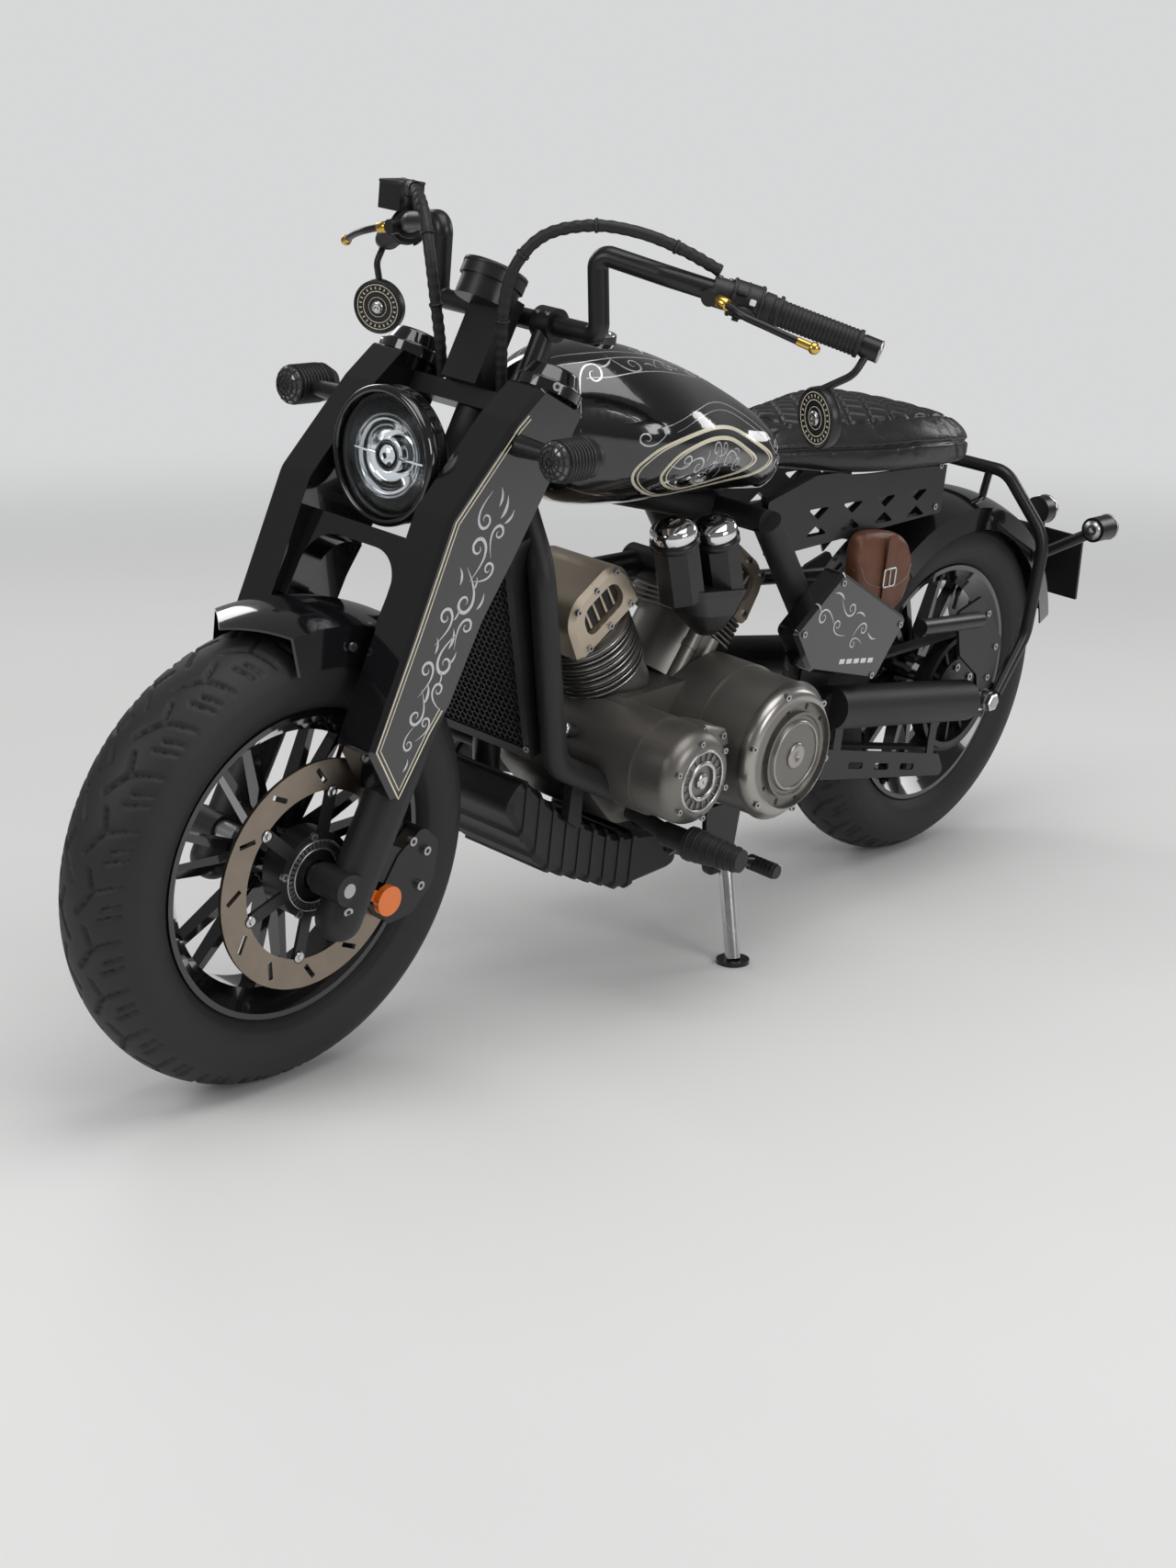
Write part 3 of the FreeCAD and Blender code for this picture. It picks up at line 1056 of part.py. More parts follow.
def tank():
    """Teardrop tank between the head and the seat."""
    wide = dim.tank_wide
    # ahead, middle height, half width, up, down, side radius
    rows = [(1112, 882, 50, 36, 44, 26), (1092, 877, 77, 66, 74, 44), (1050, 870, 106, 98, 102, 64),
            (950, 862, wide, 118, 116, 70), (840, 848, wide - 4, 108, 102, 64),
            (720, 822, wide - 30, 92, 80, 52),
            (600, 792, wide - 76, 62, 44, 34), (515, 774, 34, 22, 20, 15)]
    blank = oval_loft("tank_blank", rows)
    oval_loft("tank_room", [(ahead - 0.4 * (ahead < 520), mid, half + 0.4, up + 0.4, down + 0.4, side + 0.4)
                            for ahead, mid, half, up, down, side in rows])
    rooms = [rod("tank_spine_room", on_fork(-dim.stem_back, 0, 590), SEAT_JOINT,
                 "Sizes.rail_radius + 6 + Sizes.turning_gap")]
    for name, side in (("left", 1), ("right", -1)):
        start, end = [Vector(point.x, point.y * side, point.z) for point in RAIL_POINTS[:2]]
        rooms.append(rod(f"tank_rail_{name}", start, end, "Sizes.rail_radius + Sizes.turning_gap"))
    cap_room = feature("Part::Cylinder", "cap_room", Placement(Vector(948, 0, 972), Rotation()),
                       Radius="Sizes.filler_radius + Sizes.turning_gap", Height=40)
    head_room = feature("Part::Cylinder", "tank_head_room",
                        toward(on_fork(-dim.stem_back, 0, 380), on_fork(-dim.stem_back, 0, 760)),
                        Radius="Sizes.head_radius + 34", Height=380)
    keep("fuel_tank", cut("fuel_tank", blank, rooms + [head_room, cap_room]))
    keep("fuel_cap", feature("Part::Cylinder", "fuel_cap", None, Radius="Sizes.filler_radius", Height=15),
         Placement(Vector(948, 0, 972.3), Rotation()))


# ahead, middle height, half width, up, down, side radius
SEAT_ROWS = [(598, 788, 58, 34, 30, 22), (500, 792, 98, 42, 38, 32), (390, 790, 130, 50, 48, 40),
             (280, 792, 148, 54, 54, 44), (170, 786, 144, 46, 50, 42), (84, 772, 114, 38, 40, 32),
             (34, 758, 66, 22, 22, 16)]


def seat():
    """Solo saddle, low in front and rounded behind."""
    cushion = oval_loft("seat_blank", SEAT_ROWS)
    keep("seat", cut("seat", cushion, [doc.getObject("tank_room")]))


def seat_frame():
    """Cross-braced side plates under the seat, tied to the seat tubes."""
    outline = [(620, 730, 6), (500, 760, 6), (130, 752, 6), (130, 660, 6), (600, 640, 6)]
    plate = side_plate("seat_plate", outline, 88, 100, 0)
    holes = []
    for index in range(4):
        left, right = 520 - 92 * index, 446 - 92 * index
        holes.append(side_plate(f"truss_{index}_top", [(left - 8, 706, 2), (right + 8, 706, 2),
                                                       ((left + right) / 2, 688, 2)], 80, 110, 0))
        holes.append(side_plate(f"truss_{index}_low", [(left - 8, 662, 2), (right + 8, 662, 2),
                                                       ((left + right) / 2, 680, 2)], 80, 110, 0))
    holes.append(oval_loft("seat_room", [(ahead, mid, half + 0.4, up + 0.4, down + 0.4, side + 0.4)
                                         for ahead, mid, half, up, down, side in SEAT_ROWS]))
    across = Vector(0, dim.seat_tube_half, 0)
    holes.append(rod("plate_tube_room", SEAT_JOINT + across, SEAT_FOOT + across, "Sizes.rail_radius + 4.1"))
    holes.append(rod("plate_cross_room", SEAT_JOINT - across, SEAT_JOINT + across,
                     "Sizes.rail_radius + 0.1"))
    keep("seat_plates", pair("seat_plates", cut("seat_plate_cut", plate, holes)))


def side_boxes():
    """Slanted boxes behind the engine, one on each side."""
    outline = [(612, 540, 10), (500, 624, 14), (300, 520, 10), (372, 424, 16), (560, 470, 30)]
    box = side_plate("side_box", outline, dim.seat_tube_half + dim.rail_radius + 4.3, 176, 6)
    keep("side_boxes", pair("side_boxes", box))


def arm_line():
    """Both ends of the left swingarm tube."""
    return (Vector(dim.swingarm_pivot, dim.swingarm_half, dim.swingarm_up),
            Vector(48, dim.swingarm_half, dim.tyre_radius + 4))


def swingarm():
    """Two round arms, pivot tube, axle plates and the rear caliper on the right arm."""
    half = dim.swingarm_half
    start, end = arm_line()
    arm = rod("swing_arm", start, end, "Sizes.swingarm_radius")
    plate = side_plate("axle_plate", [(96, dim.tyre_radius + 34, 12), (96, dim.tyre_radius - 26, 12),
                                      (-44, dim.tyre_radius - 26, 24), (-44, dim.tyre_radius + 26, 24)],
                       half - 8, half + 8, 0)
    bore = lying_cylinder("axle_plate_bore", (0, dim.tyre_radius), "Sizes.axle_radius + Sizes.fixed_gap",
                          half - 20, half + 20)
    side = cut("swing_side", fuse("swing_side_solid", [arm, plate]), [bore])
    other = mirrored("swing_side_right", side)
    tube = feature("Part::Cylinder", "pivot_tube", toward(start - LEFT * 2 * half, start),
                   Radius="Sizes.swingarm_radius - 12", Height=2 * half)
    plane = -dim.rear_disc_right
    block = side_plate("rear_caliper_blank", [(24, 446, 10), (96, 420, 10), (84, 372, 10), (14, 394, 10)],
                       plane - 26, plane + 18, 0)
    slot = lying_cylinder("rear_caliper_slot", (0, dim.tyre_radius), "Sizes.rear_disc_radius + 5",
                          plane - dim.disc_thick / 2 - 3.5, plane + dim.disc_thick / 2 + 3.5)
    ear = side_plate("rear_caliper_ear", [(50, 402, 6), (82, 394, 6), (78, 324, 6), (50, 324, 6)],
                     plane - 34, plane - 20, 0)
    caliper = cut("rear_caliper", block, [slot])
    keep("swingarm", fuse("swingarm", [side, other, tube, caliper, ear]))
    outside = half + 8
    shaft = lying_cylinder("rear_shaft", (0, dim.tyre_radius), "Sizes.axle_radius", -outside - 14,
                           outside + 28)
    nuts = [lying_cylinder(f"axle_nut_{name}", (0, dim.tyre_radius), 17, low, high)
            for name, low,
            high in (("left", outside + 0.1, outside + 16), ("right", -outside - 16, -outside - 0.1))]
    collars = [lying_cylinder(f"rear_collar_{name}", (0, dim.tyre_radius), 16, low, high)
               for name, low, high in (("left", dim.pulley_left + 8.5, half - 8.1),
                                       ("right", -half + 8.1,
                                        -dim.rear_disc_right - dim.disc_thick / 2 - 0.5))]
    keep("rear_axle", fuse("rear_axle", [shaft] + nuts + collars))


HOOP_TOP = Vector(-92, 84, 704)


def rear_fender():
    """Round blade over the rear tyre with turned-down sides."""
    outside = dim.tyre_radius + dim.fender_gap + dim.fender_thick
    half = dim.fender_half

    def skin(step):
        return (Vector(outside - 58, half - step, 0), Vector(outside - 20, half - 6 - step, 0),
                Vector(outside - step, 0, 0))

    flip = lambda p: Vector(p.x, -p.y, 0)
    edges = []
    for step in (0, dim.fender_thick):
        low, shoulder, crown = skin(step)
        edges += [Part.LineSegment(low, shoulder), Part.Arc(shoulder, crown, flip(shoulder)),
                  Part.LineSegment(flip(shoulder), flip(low))]
    low_outer, low_inner = skin(0)[0], skin(dim.fender_thick)[0]
    edges += [Part.LineSegment(low_inner, low_outer), Part.LineSegment(flip(low_outer), flip(low_inner))]
    face = Part.Face(Part.Wire(Part.__sortEdges__([edge.toShape() for edge in edges])))
    face.rotate(Vector(0, 0, 0), LEFT, -52.0)
    blade = shaped("rear_blade", face.revolve(Vector(0, 0, 0), LEFT, -112.0))
    top = Vector(HOOP_TOP.x, 0, HOOP_TOP.z - dim.tyre_radius)
    crown = top * ((outside - 7.5) / top.Length)
    posts = [rod(f"fender_post_{name}", top + LEFT * left, crown + LEFT * left, "7")
             for name, left in (("left", 50), ("right", -50))]
    room = rod("fender_hoop_room", Vector(HOOP_TOP.x, -90, HOOP_TOP.z - dim.tyre_radius),
               Vector(HOOP_TOP.x, 90, HOOP_TOP.z - dim.tyre_radius), "Sizes.hoop_radius + Sizes.fixed_gap")
    keep("rear_fender", cut("rear_fender", fuse("rear_fender_solid", [blade] + posts), [room]),
         Placement(REAR_AXLE, Rotation()))


def tail():
    """Hoop over the fender, its feet on the axle plates, and the plate carrier behind."""
    foot = dim.swingarm_half + 8 + dim.hoop_radius + 0.1
    points = [Vector(-26, foot, dim.tyre_radius + 10), Vector(-96, foot, 430), Vector(-118, foot - 6, 600),
              HOOP_TOP, HOOP_TOP - LEFT * 2 * HOOP_TOP.y, Vector(-118, -foot + 6, 600),
              Vector(-96, -foot, 430),
              Vector(-26, -foot, dim.tyre_radius + 10)]
    keep("rear_hoop", bent_tube("rear_hoop", points, [60, 90, 44, 44, 90, 60], dim.hoop_radius))
    plate = feature("Part::Box", "rear_plate",
                    Placement(Vector(-392, -dim.plate_wide / 2, 434), Rotation(LEFT, 6)),
                    Length=6, Width="Sizes.plate_wide", Height="Sizes.plate_tall")
    arm = feature("Part::Box", "plate_arm", Placement(Vector(-384, -30, 470), Rotation()), Length=104,
                  Width=60,
                  Height=70)
    room = lying_cylinder("plate_fender_room", (0, dim.tyre_radius),
                          "Sizes.tyre_radius + Sizes.fender_gap + Sizes.fender_thick + 0.3", -60, 60)
    neck = feature("Part::Box", "lamp_neck", Placement(Vector(-384, -12, 530), Rotation()), Length=14,
                   Width=24,
                   Height=40)
    lamp = feature("Part::Cylinder", "tail_lamp", Placement(Vector(-396, 0, 584), Rotation(LEFT, 90)),
                   Radius=26,
                   Height=30)
    keep("plate_holder", fuse("plate_holder", [plate, cut("plate_arm_cut", arm, [room]), neck, lamp]))
    room = feature("Part::Box", "rear_stalk_room", Placement(Vector(-260, 60, 480), Rotation()), Length=100,
                   Width=dim.fender_half - 60, Height=100)
    stalk = cut("rear_stalk",
                rod("rear_signal_stalk", Vector(-214, 88, 533), Vector(-236, 196, 606), "10"), [room])
    shell = feature("Part::Cylinder", "rear_signal_shell",
                    Placement(Vector(-270, 200, 611), Rotation(LEFT, 90)),
                    Radius=22, Height=50)
    keep("rear_signals", pair("rear_signals", fuse("rear_signal", [stalk, shell])))


def drive():
    """Belt run between the pulleys and the slotted guard below it."""
    big, small = dim.pulley_radius + 0.3, dim.drive_radius
    rear = Vector(0, 0, dim.tyre_radius)
    front = Vector(dim.drive_ahead, 0, dim.drive_up)
    line = front - rear
    base = math.atan2(line.z, line.x)
    swing = math.acos((big - small) / line.Length)

    def loop(extra):
        def at(centre, radius, angle):
            return centre + Vector((radius + extra) * math.cos(angle), 0, (radius + extra) * math.sin(angle))

        high, low = base + swing, base - swing
        far, near = base + math.pi, base
        return Part.Wire([
            Part.Arc(at(rear, big, high), at(rear, big, far), at(rear, big, low)).toShape(),
            Part.LineSegment(at(rear, big, low), at(front, small, low)).toShape(),
            Part.Arc(at(front, small, low), at(front, small, near), at(front, small, high)).toShape(),
            Part.LineSegment(at(front, small, high), at(rear, big, high)).toShape(),
        ])

    face = Part.Face(loop(dim.belt_thick)).cut(Part.Face(loop(0)))
    face.translate(Vector(0, dim.pulley_left - dim.belt_wide / 2, 0))
    keep("drive_belt", shaped("drive_belt", face.extrude(Vector(0, dim.belt_wide, 0))))
    guard = side_plate("guard_blank", [(420, 246, 6), (420, 300, 10), (60, 222, 10), (30, 176, 10)], 124,
                       128, 0)
    slots = [side_plate(f"guard_slot_{index}",
                        [(ahead, up - 6, 5), (ahead, up + 6, 5), (ahead - 44, up - 3, 5),
                                                (ahead - 44, up - 15, 5)], 120, 132, 0)
             for index, (ahead, up) in enumerate(((340, 256), (260, 238), (180, 222)))]
    tabs = [side_plate(f"guard_tab_{index}", [(ahead, low, 4), (ahead + 22, low, 4), (ahead + 22, high, 4),
                                              (ahead, high, 4)], 124, 128, 0)
            for index, (ahead, low, high) in enumerate(((370, 280, 360), (78, 218, 316)))]
    start, end = arm_line()
    slots.append(rod("guard_arm_room", start, end, "Sizes.swingarm_radius + Sizes.turning_gap"))
    keep("belt_guard", cut("belt_guard", fuse("guard_solid", [guard] + tabs), slots))


def foot_gear():
    """Rider's pegs on brackets from the rails, shift lever, brake pedal and passenger pegs."""
    left = dim.peg_left
    ahead, up = 888, 276
    strut = rod("peg_strut", Vector(ahead, dim.rail_half, up + 14), Vector(ahead, left - 40, up), "13")
    bracket = rod("peg_bracket", Vector(ahead, left - 50, up), Vector(ahead, left, up), "18")
    inner = Vector(ahead, left - 1, up)
    along = Vector(-8, 91, 0).normalize()
    steps = [feature("Part::Cone", f"peg_rubber_{index}",
                     toward(inner + along * low * dim.peg_long, inner + along * 200),
                     Radius1=thick, Radius2=thin, Height=tall * dim.peg_long)
             for index, (low, tall, thick, thin) in enumerate(((0, 0.34, 26, 24), (0.33, 0.34, 23, 21),
                                                               (0.66, 0.34, 20, 17.5)))]
    rail_room = rod("peg_rail_room", Vector(1070, dim.rail_half, 398), Vector(835, dim.rail_half, 287),
                    "Sizes.rail_radius + Sizes.fixed_gap")
    peg = cut("rider_peg_cut", fuse("rider_peg", [strut, bracket] + steps), [rail_room])
    keep("rider_pegs", pair("rider_pegs", peg))
    face = dim.case_half - 26 + 0.3
    # name, side, arm points ahead, left, up, pad from and to
    table = (("shift_lever", 1, ((846, 158, 236), (760, 176, 204), (660, 194, 180)), (664, 182, 178),
              (664, 238, 178)),
             ("brake_pedal", -1, ((846, 158, 236), (930, 190, 216), (1012, 200, 236)), (1012, 182, 236),
              (1012, 228, 236)))
    for name, side, points, pad_from, pad_to in table:
        flip = lambda point: Vector(point[0], point[1] * side, point[2])
        shaft = bent_tube(f"{name}_shaft", [flip(point) for point in ((846, face, 258), (846, 142, 258),
                                                                      (846, 172, 232))], [20], 9)
        arm = bent_tube(f"{name}_arm", [flip(point) for point in points], [60], 8)
        keep(name, fuse(name, [shaft, arm, rod(f"{name}_pad", flip(pad_from), flip(pad_to), "11")]))
    passenger = side_plate("passenger_plate", [(132, 500, 10), (60, 520, 10), (-26, 430, 10), (-14, 344, 6),
                                               (30, 344, 6), (40, 376, 8), (104, 420, 10)],
                           dim.swingarm_half + 8.3, dim.swingarm_half + 14.3, 0)
    perch = rod("passenger_peg", Vector(60, dim.swingarm_half + 14, 478),
                Vector(250, dim.swingarm_half + 18, 494),
                "14")
    start, end = arm_line()
    room = rod("passenger_arm_room", start, end, "Sizes.swingarm_radius + Sizes.turning_gap")
    keep("passenger_pegs",
         pair("passenger_pegs", cut("passenger_side", fuse("passenger_solid", [passenger, perch]),
                                                      [room])))


def side_pouch():
    """Soft bag against the left seat plate, ahead of the fender."""
    outline = [(392, 668, 14), (262, 650, 22), (224, 586, 24), (262, 512, 22), (344, 500, 24),
               (408, 580, 24)]
    keep("side_pouch", side_plate("side_pouch", outline, 100.3, 137, 10))


def side_stand():
    """Folding leg on a pivot bolt with a foot flat on the road at rest."""
    pivot = Vector(dim.stand_pivot_ahead, dim.stand_pivot_left, dim.stand_pivot_up)
    foot_floor = Vector(dim.stand_ahead, dim.stand_left, floor_up(dim.stand_left))
    down = LEAN.Rotation.inverted().multVec(UP)
    foot_top = foot_floor + down * dim.foot_thick
    leg = rod("stand_bar", pivot, foot_top, "Sizes.stand_radius")
    eye = rod("stand_eye", pivot - Vector(0, 11.6, 0), pivot + Vector(0, 9, 0), "17")
    foot_room = feature("Part::Cylinder", "stand_foot_room", Placement(foot_floor, LEAN.Rotation.inverted()),
                        Radius=60, Height="Sizes.foot_thick")
    keep("stand_leg", cut("stand_leg", fuse("side_stand", [leg, eye]), [foot_room]))
    foot = feature("Part::Cylinder", "stand_foot", Placement(foot_floor, LEAN.Rotation.inverted()),
                   Radius=26,
                   Height="Sizes.foot_thick")
    keep("stand_foot", foot, Placement(foot_floor, LEAN.Rotation.inverted()))
    bracket = side_plate("stand_bracket",
                         [(pivot.x - 30, pivot.z - 24, 20), (pivot.x + 30, pivot.z - 24, 20),
                                           (pivot.x + 50, pivot.z + 94, 10),
                                           (pivot.x - 40, pivot.z + 94, 10)],
                         dim.rail_half + dim.rail_radius + dim.turning_gap, dim.stand_pivot_left - 12, 0)
    keep("stand_bracket", bracket)
    print("stand pivot", [round(value, 2) for value in LEAN.multVec(pivot)])


SECTIONS = (
    wheels, fork_legs, fork_covers, fork_caps, yokes, headlight, front_fender, front_axle,
    front_caliper, front_signals, handlebar, mirrors, cockpit, cables, main_frame, cradle, engine,
    intake_cover, radiator, belly, tank, seat, seat_frame, side_boxes, swingarm, rear_fender, tail,
    drive, foot_gear, side_pouch, side_stand,
)
for section in SECTIONS:
    section()
    doc.recompute()

faults = [obj.Name for obj in doc.Objects if "Invalid" in obj.State or "Error" in obj.State]
for obj in subparts:
    if obj.Shape.isNull() or not obj.Shape.isValid() or not obj.Shape.Solids:
        faults.append(obj.Label)
if faults:
    raise SystemExit("faulty: " + ", ".join(faults))

whole = FreeCAD.BoundBox()
for obj in subparts:
    whole.add(obj.Shape.BoundBox)
    obj.Shape.exportStep(os.path.join("parts", obj.Label + ".step"))
print("box", [round(v, 1) for v in (whole.XMin, whole.XMax, whole.YMin, whole.YMax, whole.ZMin, whole.ZMax)])
print("steering axis point", [round(v, 2) for v in LEAN.multVec(on_fork(-dim.stem_back, 0, 0))])
print("steering axis", [round(v, 5) for v in LEAN.Rotation.multVec(FORK.Rotation.multVec(UP))])
print("front axle", [round(v, 2) for v in LEAN.multVec(FRONT_AXLE)])
print("rear axle", [round(v, 2) for v in LEAN.multVec(REAR_AXLE)])
print("axle direction", [round(v, 5) for v in LEAN.Rotation.multVec(LEFT)])
print(len(subparts), "sub-parts")
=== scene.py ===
import bpy
import bmesh
import math
import numpy as np
from mathutils import Matrix, Vector
from mathutils.bvhtree import BVHTree


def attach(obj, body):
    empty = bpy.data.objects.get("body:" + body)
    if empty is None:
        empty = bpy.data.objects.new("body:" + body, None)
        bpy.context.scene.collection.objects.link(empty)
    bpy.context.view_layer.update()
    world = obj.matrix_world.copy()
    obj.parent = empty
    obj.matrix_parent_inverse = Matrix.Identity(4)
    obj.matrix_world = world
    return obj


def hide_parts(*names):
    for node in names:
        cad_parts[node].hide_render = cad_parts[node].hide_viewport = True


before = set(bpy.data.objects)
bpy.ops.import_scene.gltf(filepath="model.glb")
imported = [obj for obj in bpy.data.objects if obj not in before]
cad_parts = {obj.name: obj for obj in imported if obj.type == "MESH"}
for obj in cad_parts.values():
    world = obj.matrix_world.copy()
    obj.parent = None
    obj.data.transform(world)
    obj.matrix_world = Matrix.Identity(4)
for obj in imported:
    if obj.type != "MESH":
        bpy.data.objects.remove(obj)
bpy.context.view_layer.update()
print("stage: frame loaded,", len(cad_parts), "nodes")

# Upright bike millimetres to the leaned machine in metres
bikeLean = {"angle": 6.5, "tyreRadius": 323.0, "crownRadius": 85.0, "originAhead": 714.0, "originLeft": 81.0}


def leanMatrix():
    angle = math.radians(bikeLean["angle"])
    radius = bikeLean["tyreRadius"]
    axleUp = (radius - bikeLean["crownRadius"]) * math.cos(angle) + bikeLean["crownRadius"]
    base = Vector((-bikeLean["originAhead"], -bikeLean["originLeft"] - radius * math.sin(angle),
                   axleUp - radius * math.cos(angle)))
    return Matrix.Scale(0.001, 4) @ Matrix.Translation(base) @ Matrix.Rotation(-angle, 4, "X")


toRow = leanMatrix()
rake = math.radians(25)
forkTurn = Matrix.Rotation(-rake, 4, "Y")
frontAxle = Vector((1500, 0, 323))
rearAxle = Vector((0, 0, 323))
forkFrame = Matrix.Translation(frontAxle - forkTurn.to_3x3() @ Vector((29, 0, 0))) @ forkTurn


# Small helpers for places and meshes

def spin(degrees, axis):
    return Matrix.Rotation(math.radians(degrees), 4, axis)


def shift(ahead, left, up):
    return Matrix.Translation(Vector((ahead, left, up)))


def newObject(name, verts, faces, smooth=True):
    mesh = bpy.data.meshes.new(name)
    mesh.from_pydata([tuple(v) for v in verts], [], [tuple(f) for f in faces])
    mesh.update()
    obj = bpy.data.objects.new(name, mesh)
    bpy.context.scene.collection.objects.link(obj)
    if smooth:
        mesh.shade_smooth()
    return obj


# Bakes a piece's place into its mesh: from bike millimetres to the leaned machine
def standOnBike(obj, place=None):
    matrix = toRow @ (place if place else Matrix.Identity(4))
    obj.data.transform(matrix)
    obj.matrix_world = Matrix.Identity(4)
    return obj


def turnOutwards(obj):
    work = bmesh.new()
    work.from_mesh(obj.data)
    bmesh.ops.remove_doubles(work, verts=work.verts, dist=1e-5)
    bmesh.ops.recalc_face_normals(work, faces=work.faces)
    work.to_mesh(obj.data)
    work.free()
    return obj


# The evaluated mesh becomes the piece's own mesh
def applyModifiers(obj):
    graph = bpy.context.evaluated_depsgraph_get()
    mesh = bpy.data.meshes.new_from_object(obj.evaluated_get(graph))
    obj.modifiers.clear()
    obj.data = mesh
    return obj


def smoothByAngle(obj, degrees=35):
    obj.data.shade_smooth()
    obj.data.set_sharp_from_angle(angle=math.radians(degrees))
    return obj


def joinPieces(name, parts):
    work = bmesh.new()
    slots = []
    for part in parts:
        offset = len(slots)
        slots += list(part.data.materials)
        before = len(work.faces)
        work.from_mesh(part.data)
        work.faces.ensure_lookup_table()
        for face in list(work.faces)[before:]:
            face.material_index += offset
    mesh = bpy.data.meshes.new(name)
    work.to_mesh(mesh)
    work.free()
    for material in slots:
        mesh.materials.append(material)
    obj = bpy.data.objects.new(name, mesh)
    bpy.context.scene.collection.objects.link(obj)
    for part in parts:
        bpy.data.objects.remove(part)
    return obj


# Turns (radius, along) rows about the Y axis; along runs to the left
def lathe(name, rows, steps=96, closed=False):
    verts, faces = [], []
    for step in range(steps):
        angle = 2 * math.pi * step / steps
        for radius, along in rows:
            verts.append((radius * math.cos(angle), along, radius * math.sin(angle)))
    count = len(rows)
    spans = count if closed else count - 1
    for step in range(steps):
        after = (step + 1) % steps
        for row in range(spans):
            nextRow = (row + 1) % count
            faces.append((step * count + row, step * count + nextRow, after * count + nextRow,
                          after * count + row))
    return turnOutwards(newObject(name, verts, faces))


# A round tube along a polyline of bike-frame points
def tubeAlong(name, points, radius, sides=12, closed=False):
    curve = bpy.data.curves.new(name, "CURVE")
    curve.dimensions = "3D"
    curve.bevel_depth = radius
    curve.bevel_resolution = max(1, sides // 4 - 1)
    curve.use_fill_caps = not closed
    spline = curve.splines.new("POLY")
    spline.points.add(len(points) - 1)
    for item, point in zip(spline.points, points):
        item.co = (*point, 1)
    spline.use_cyclic_u = closed
    obj = bpy.data.objects.new(name, curve)
    bpy.context.scene.collection.objects.link(obj)
    graph = bpy.context.evaluated_depsgraph_get()
    mesh = bpy.data.meshes.new_from_object(obj.evaluated_get(graph))
    bpy.data.objects.remove(obj)
    made = bpy.data.objects.new(name, mesh)
    bpy.context.scene.collection.objects.link(made)
    mesh.shade_smooth()
    return made


# Catmull-Rom spot between b and c
def splineSpot(a, b, c, d, t):
    return 0.5 * ((2 * b) + (c - a) * t + (2 * a - 5 * b + 4 * c - d) * t * t
                  + (3 * b - a - 3 * c + d) * t ** 3)


# A smooth open path through a short list
def smoothPath(points, steps=8):
    points = [Vector(p) for p in points]
    ends = [points[0] * 2 - points[1]] + points + [points[-1] * 2 - points[-2]]
    out = []
    for index in range(1, len(ends) - 2):
        out += [splineSpot(*ends[index - 1:index + 3], step / steps) for step in range(steps)]
    return out + [points[-1]]


# A smooth closed curve through a short list
def closedCurve(points, steps=8):
    points = [Vector(p) for p in points]
    out = []
    for index in range(len(points)):
        near = [points[(index + k) % len(points)] for k in (-1, 0, 1, 2)]
        out += [splineSpot(*near, step / steps) for step in range(steps)]
    return out


# Materials

bumpHeight = 0.0006  # metres


# Principled paint, metal or rubber with object-space mottling, roughness change and bump
def material(name, color, metallic=0.0, roughness=0.5, coat=0.0, coatRoughness=0.03, grain=None, bump=0.0,
             stain=0.0, stainScale=9.0, transmission=0.0, ior=1.5, kind="noise", roughSwing=0.08):
    mat = bpy.data.materials.new(name)
    mat.use_nodes = True
    nodes, links = mat.node_tree.nodes, mat.node_tree.links
    shader = nodes["Principled BSDF"]
    for label, value in (("Base Color", (*color, 1)), ("Metallic", metallic), ("Coat Weight", coat),
                         ("Coat Roughness", coatRoughness), ("IOR", ior),
                         ("Transmission Weight", transmission)):
        shader.inputs[label].default_value = value
    place = nodes.new("ShaderNodeTexCoord")
    mottle = nodes.new("ShaderNodeTexNoise")
    mottle.inputs["Scale"].default_value = stainScale
    mottle.inputs["Detail"].default_value = 6
    links.new(place.outputs["Object"], mottle.inputs["Vector"])
    if stain:
        tint = nodes.new("ShaderNodeMix")
        tint.data_type = "RGBA"
        tint.inputs["A"].default_value = (*[c * (1 - stain) for c in color], 1)
        tint.inputs["B"].default_value = (*[min(1, c * (1 + stain)) for c in color], 1)
        links.new(mottle.outputs["Fac"], tint.inputs["Factor"])
        links.new(tint.outputs["Result"], shader.inputs["Base Color"])
    rough = nodes.new("ShaderNodeMapRange")
    rough.inputs["To Min"].default_value = max(0.01, roughness - roughSwing)
    rough.inputs["To Max"].default_value = min(1, roughness + roughSwing)
    links.new(mottle.outputs["Fac"], rough.inputs["Value"])
    links.new(rough.outputs["Result"], shader.inputs["Roughness"])
    if grain:
        if kind == "noise":
            texture = nodes.new("ShaderNodeTexNoise")
            texture.inputs["Detail"].default_value = 3
            out = texture.outputs["Fac"]
        else:
            texture = nodes.new("ShaderNodeTexVoronoi")
            texture.feature = "SMOOTH_F1" if kind == "cells" else "DISTANCE_TO_EDGE"
            out = texture.outputs["Distance"]
        texture.inputs["Scale"].default_value = grain
        links.new(place.outputs["Object"], texture.inputs["Vector"])
        height = nodes.new("ShaderNodeBump")
        height.inputs["Strength"].default_value = bump
        height.inputs["Distance"].default_value = bumpHeight
        links.new(out, height.inputs["Height"])
        links.new(height.outputs["Normal"], shader.inputs["Normal"])
    return mat


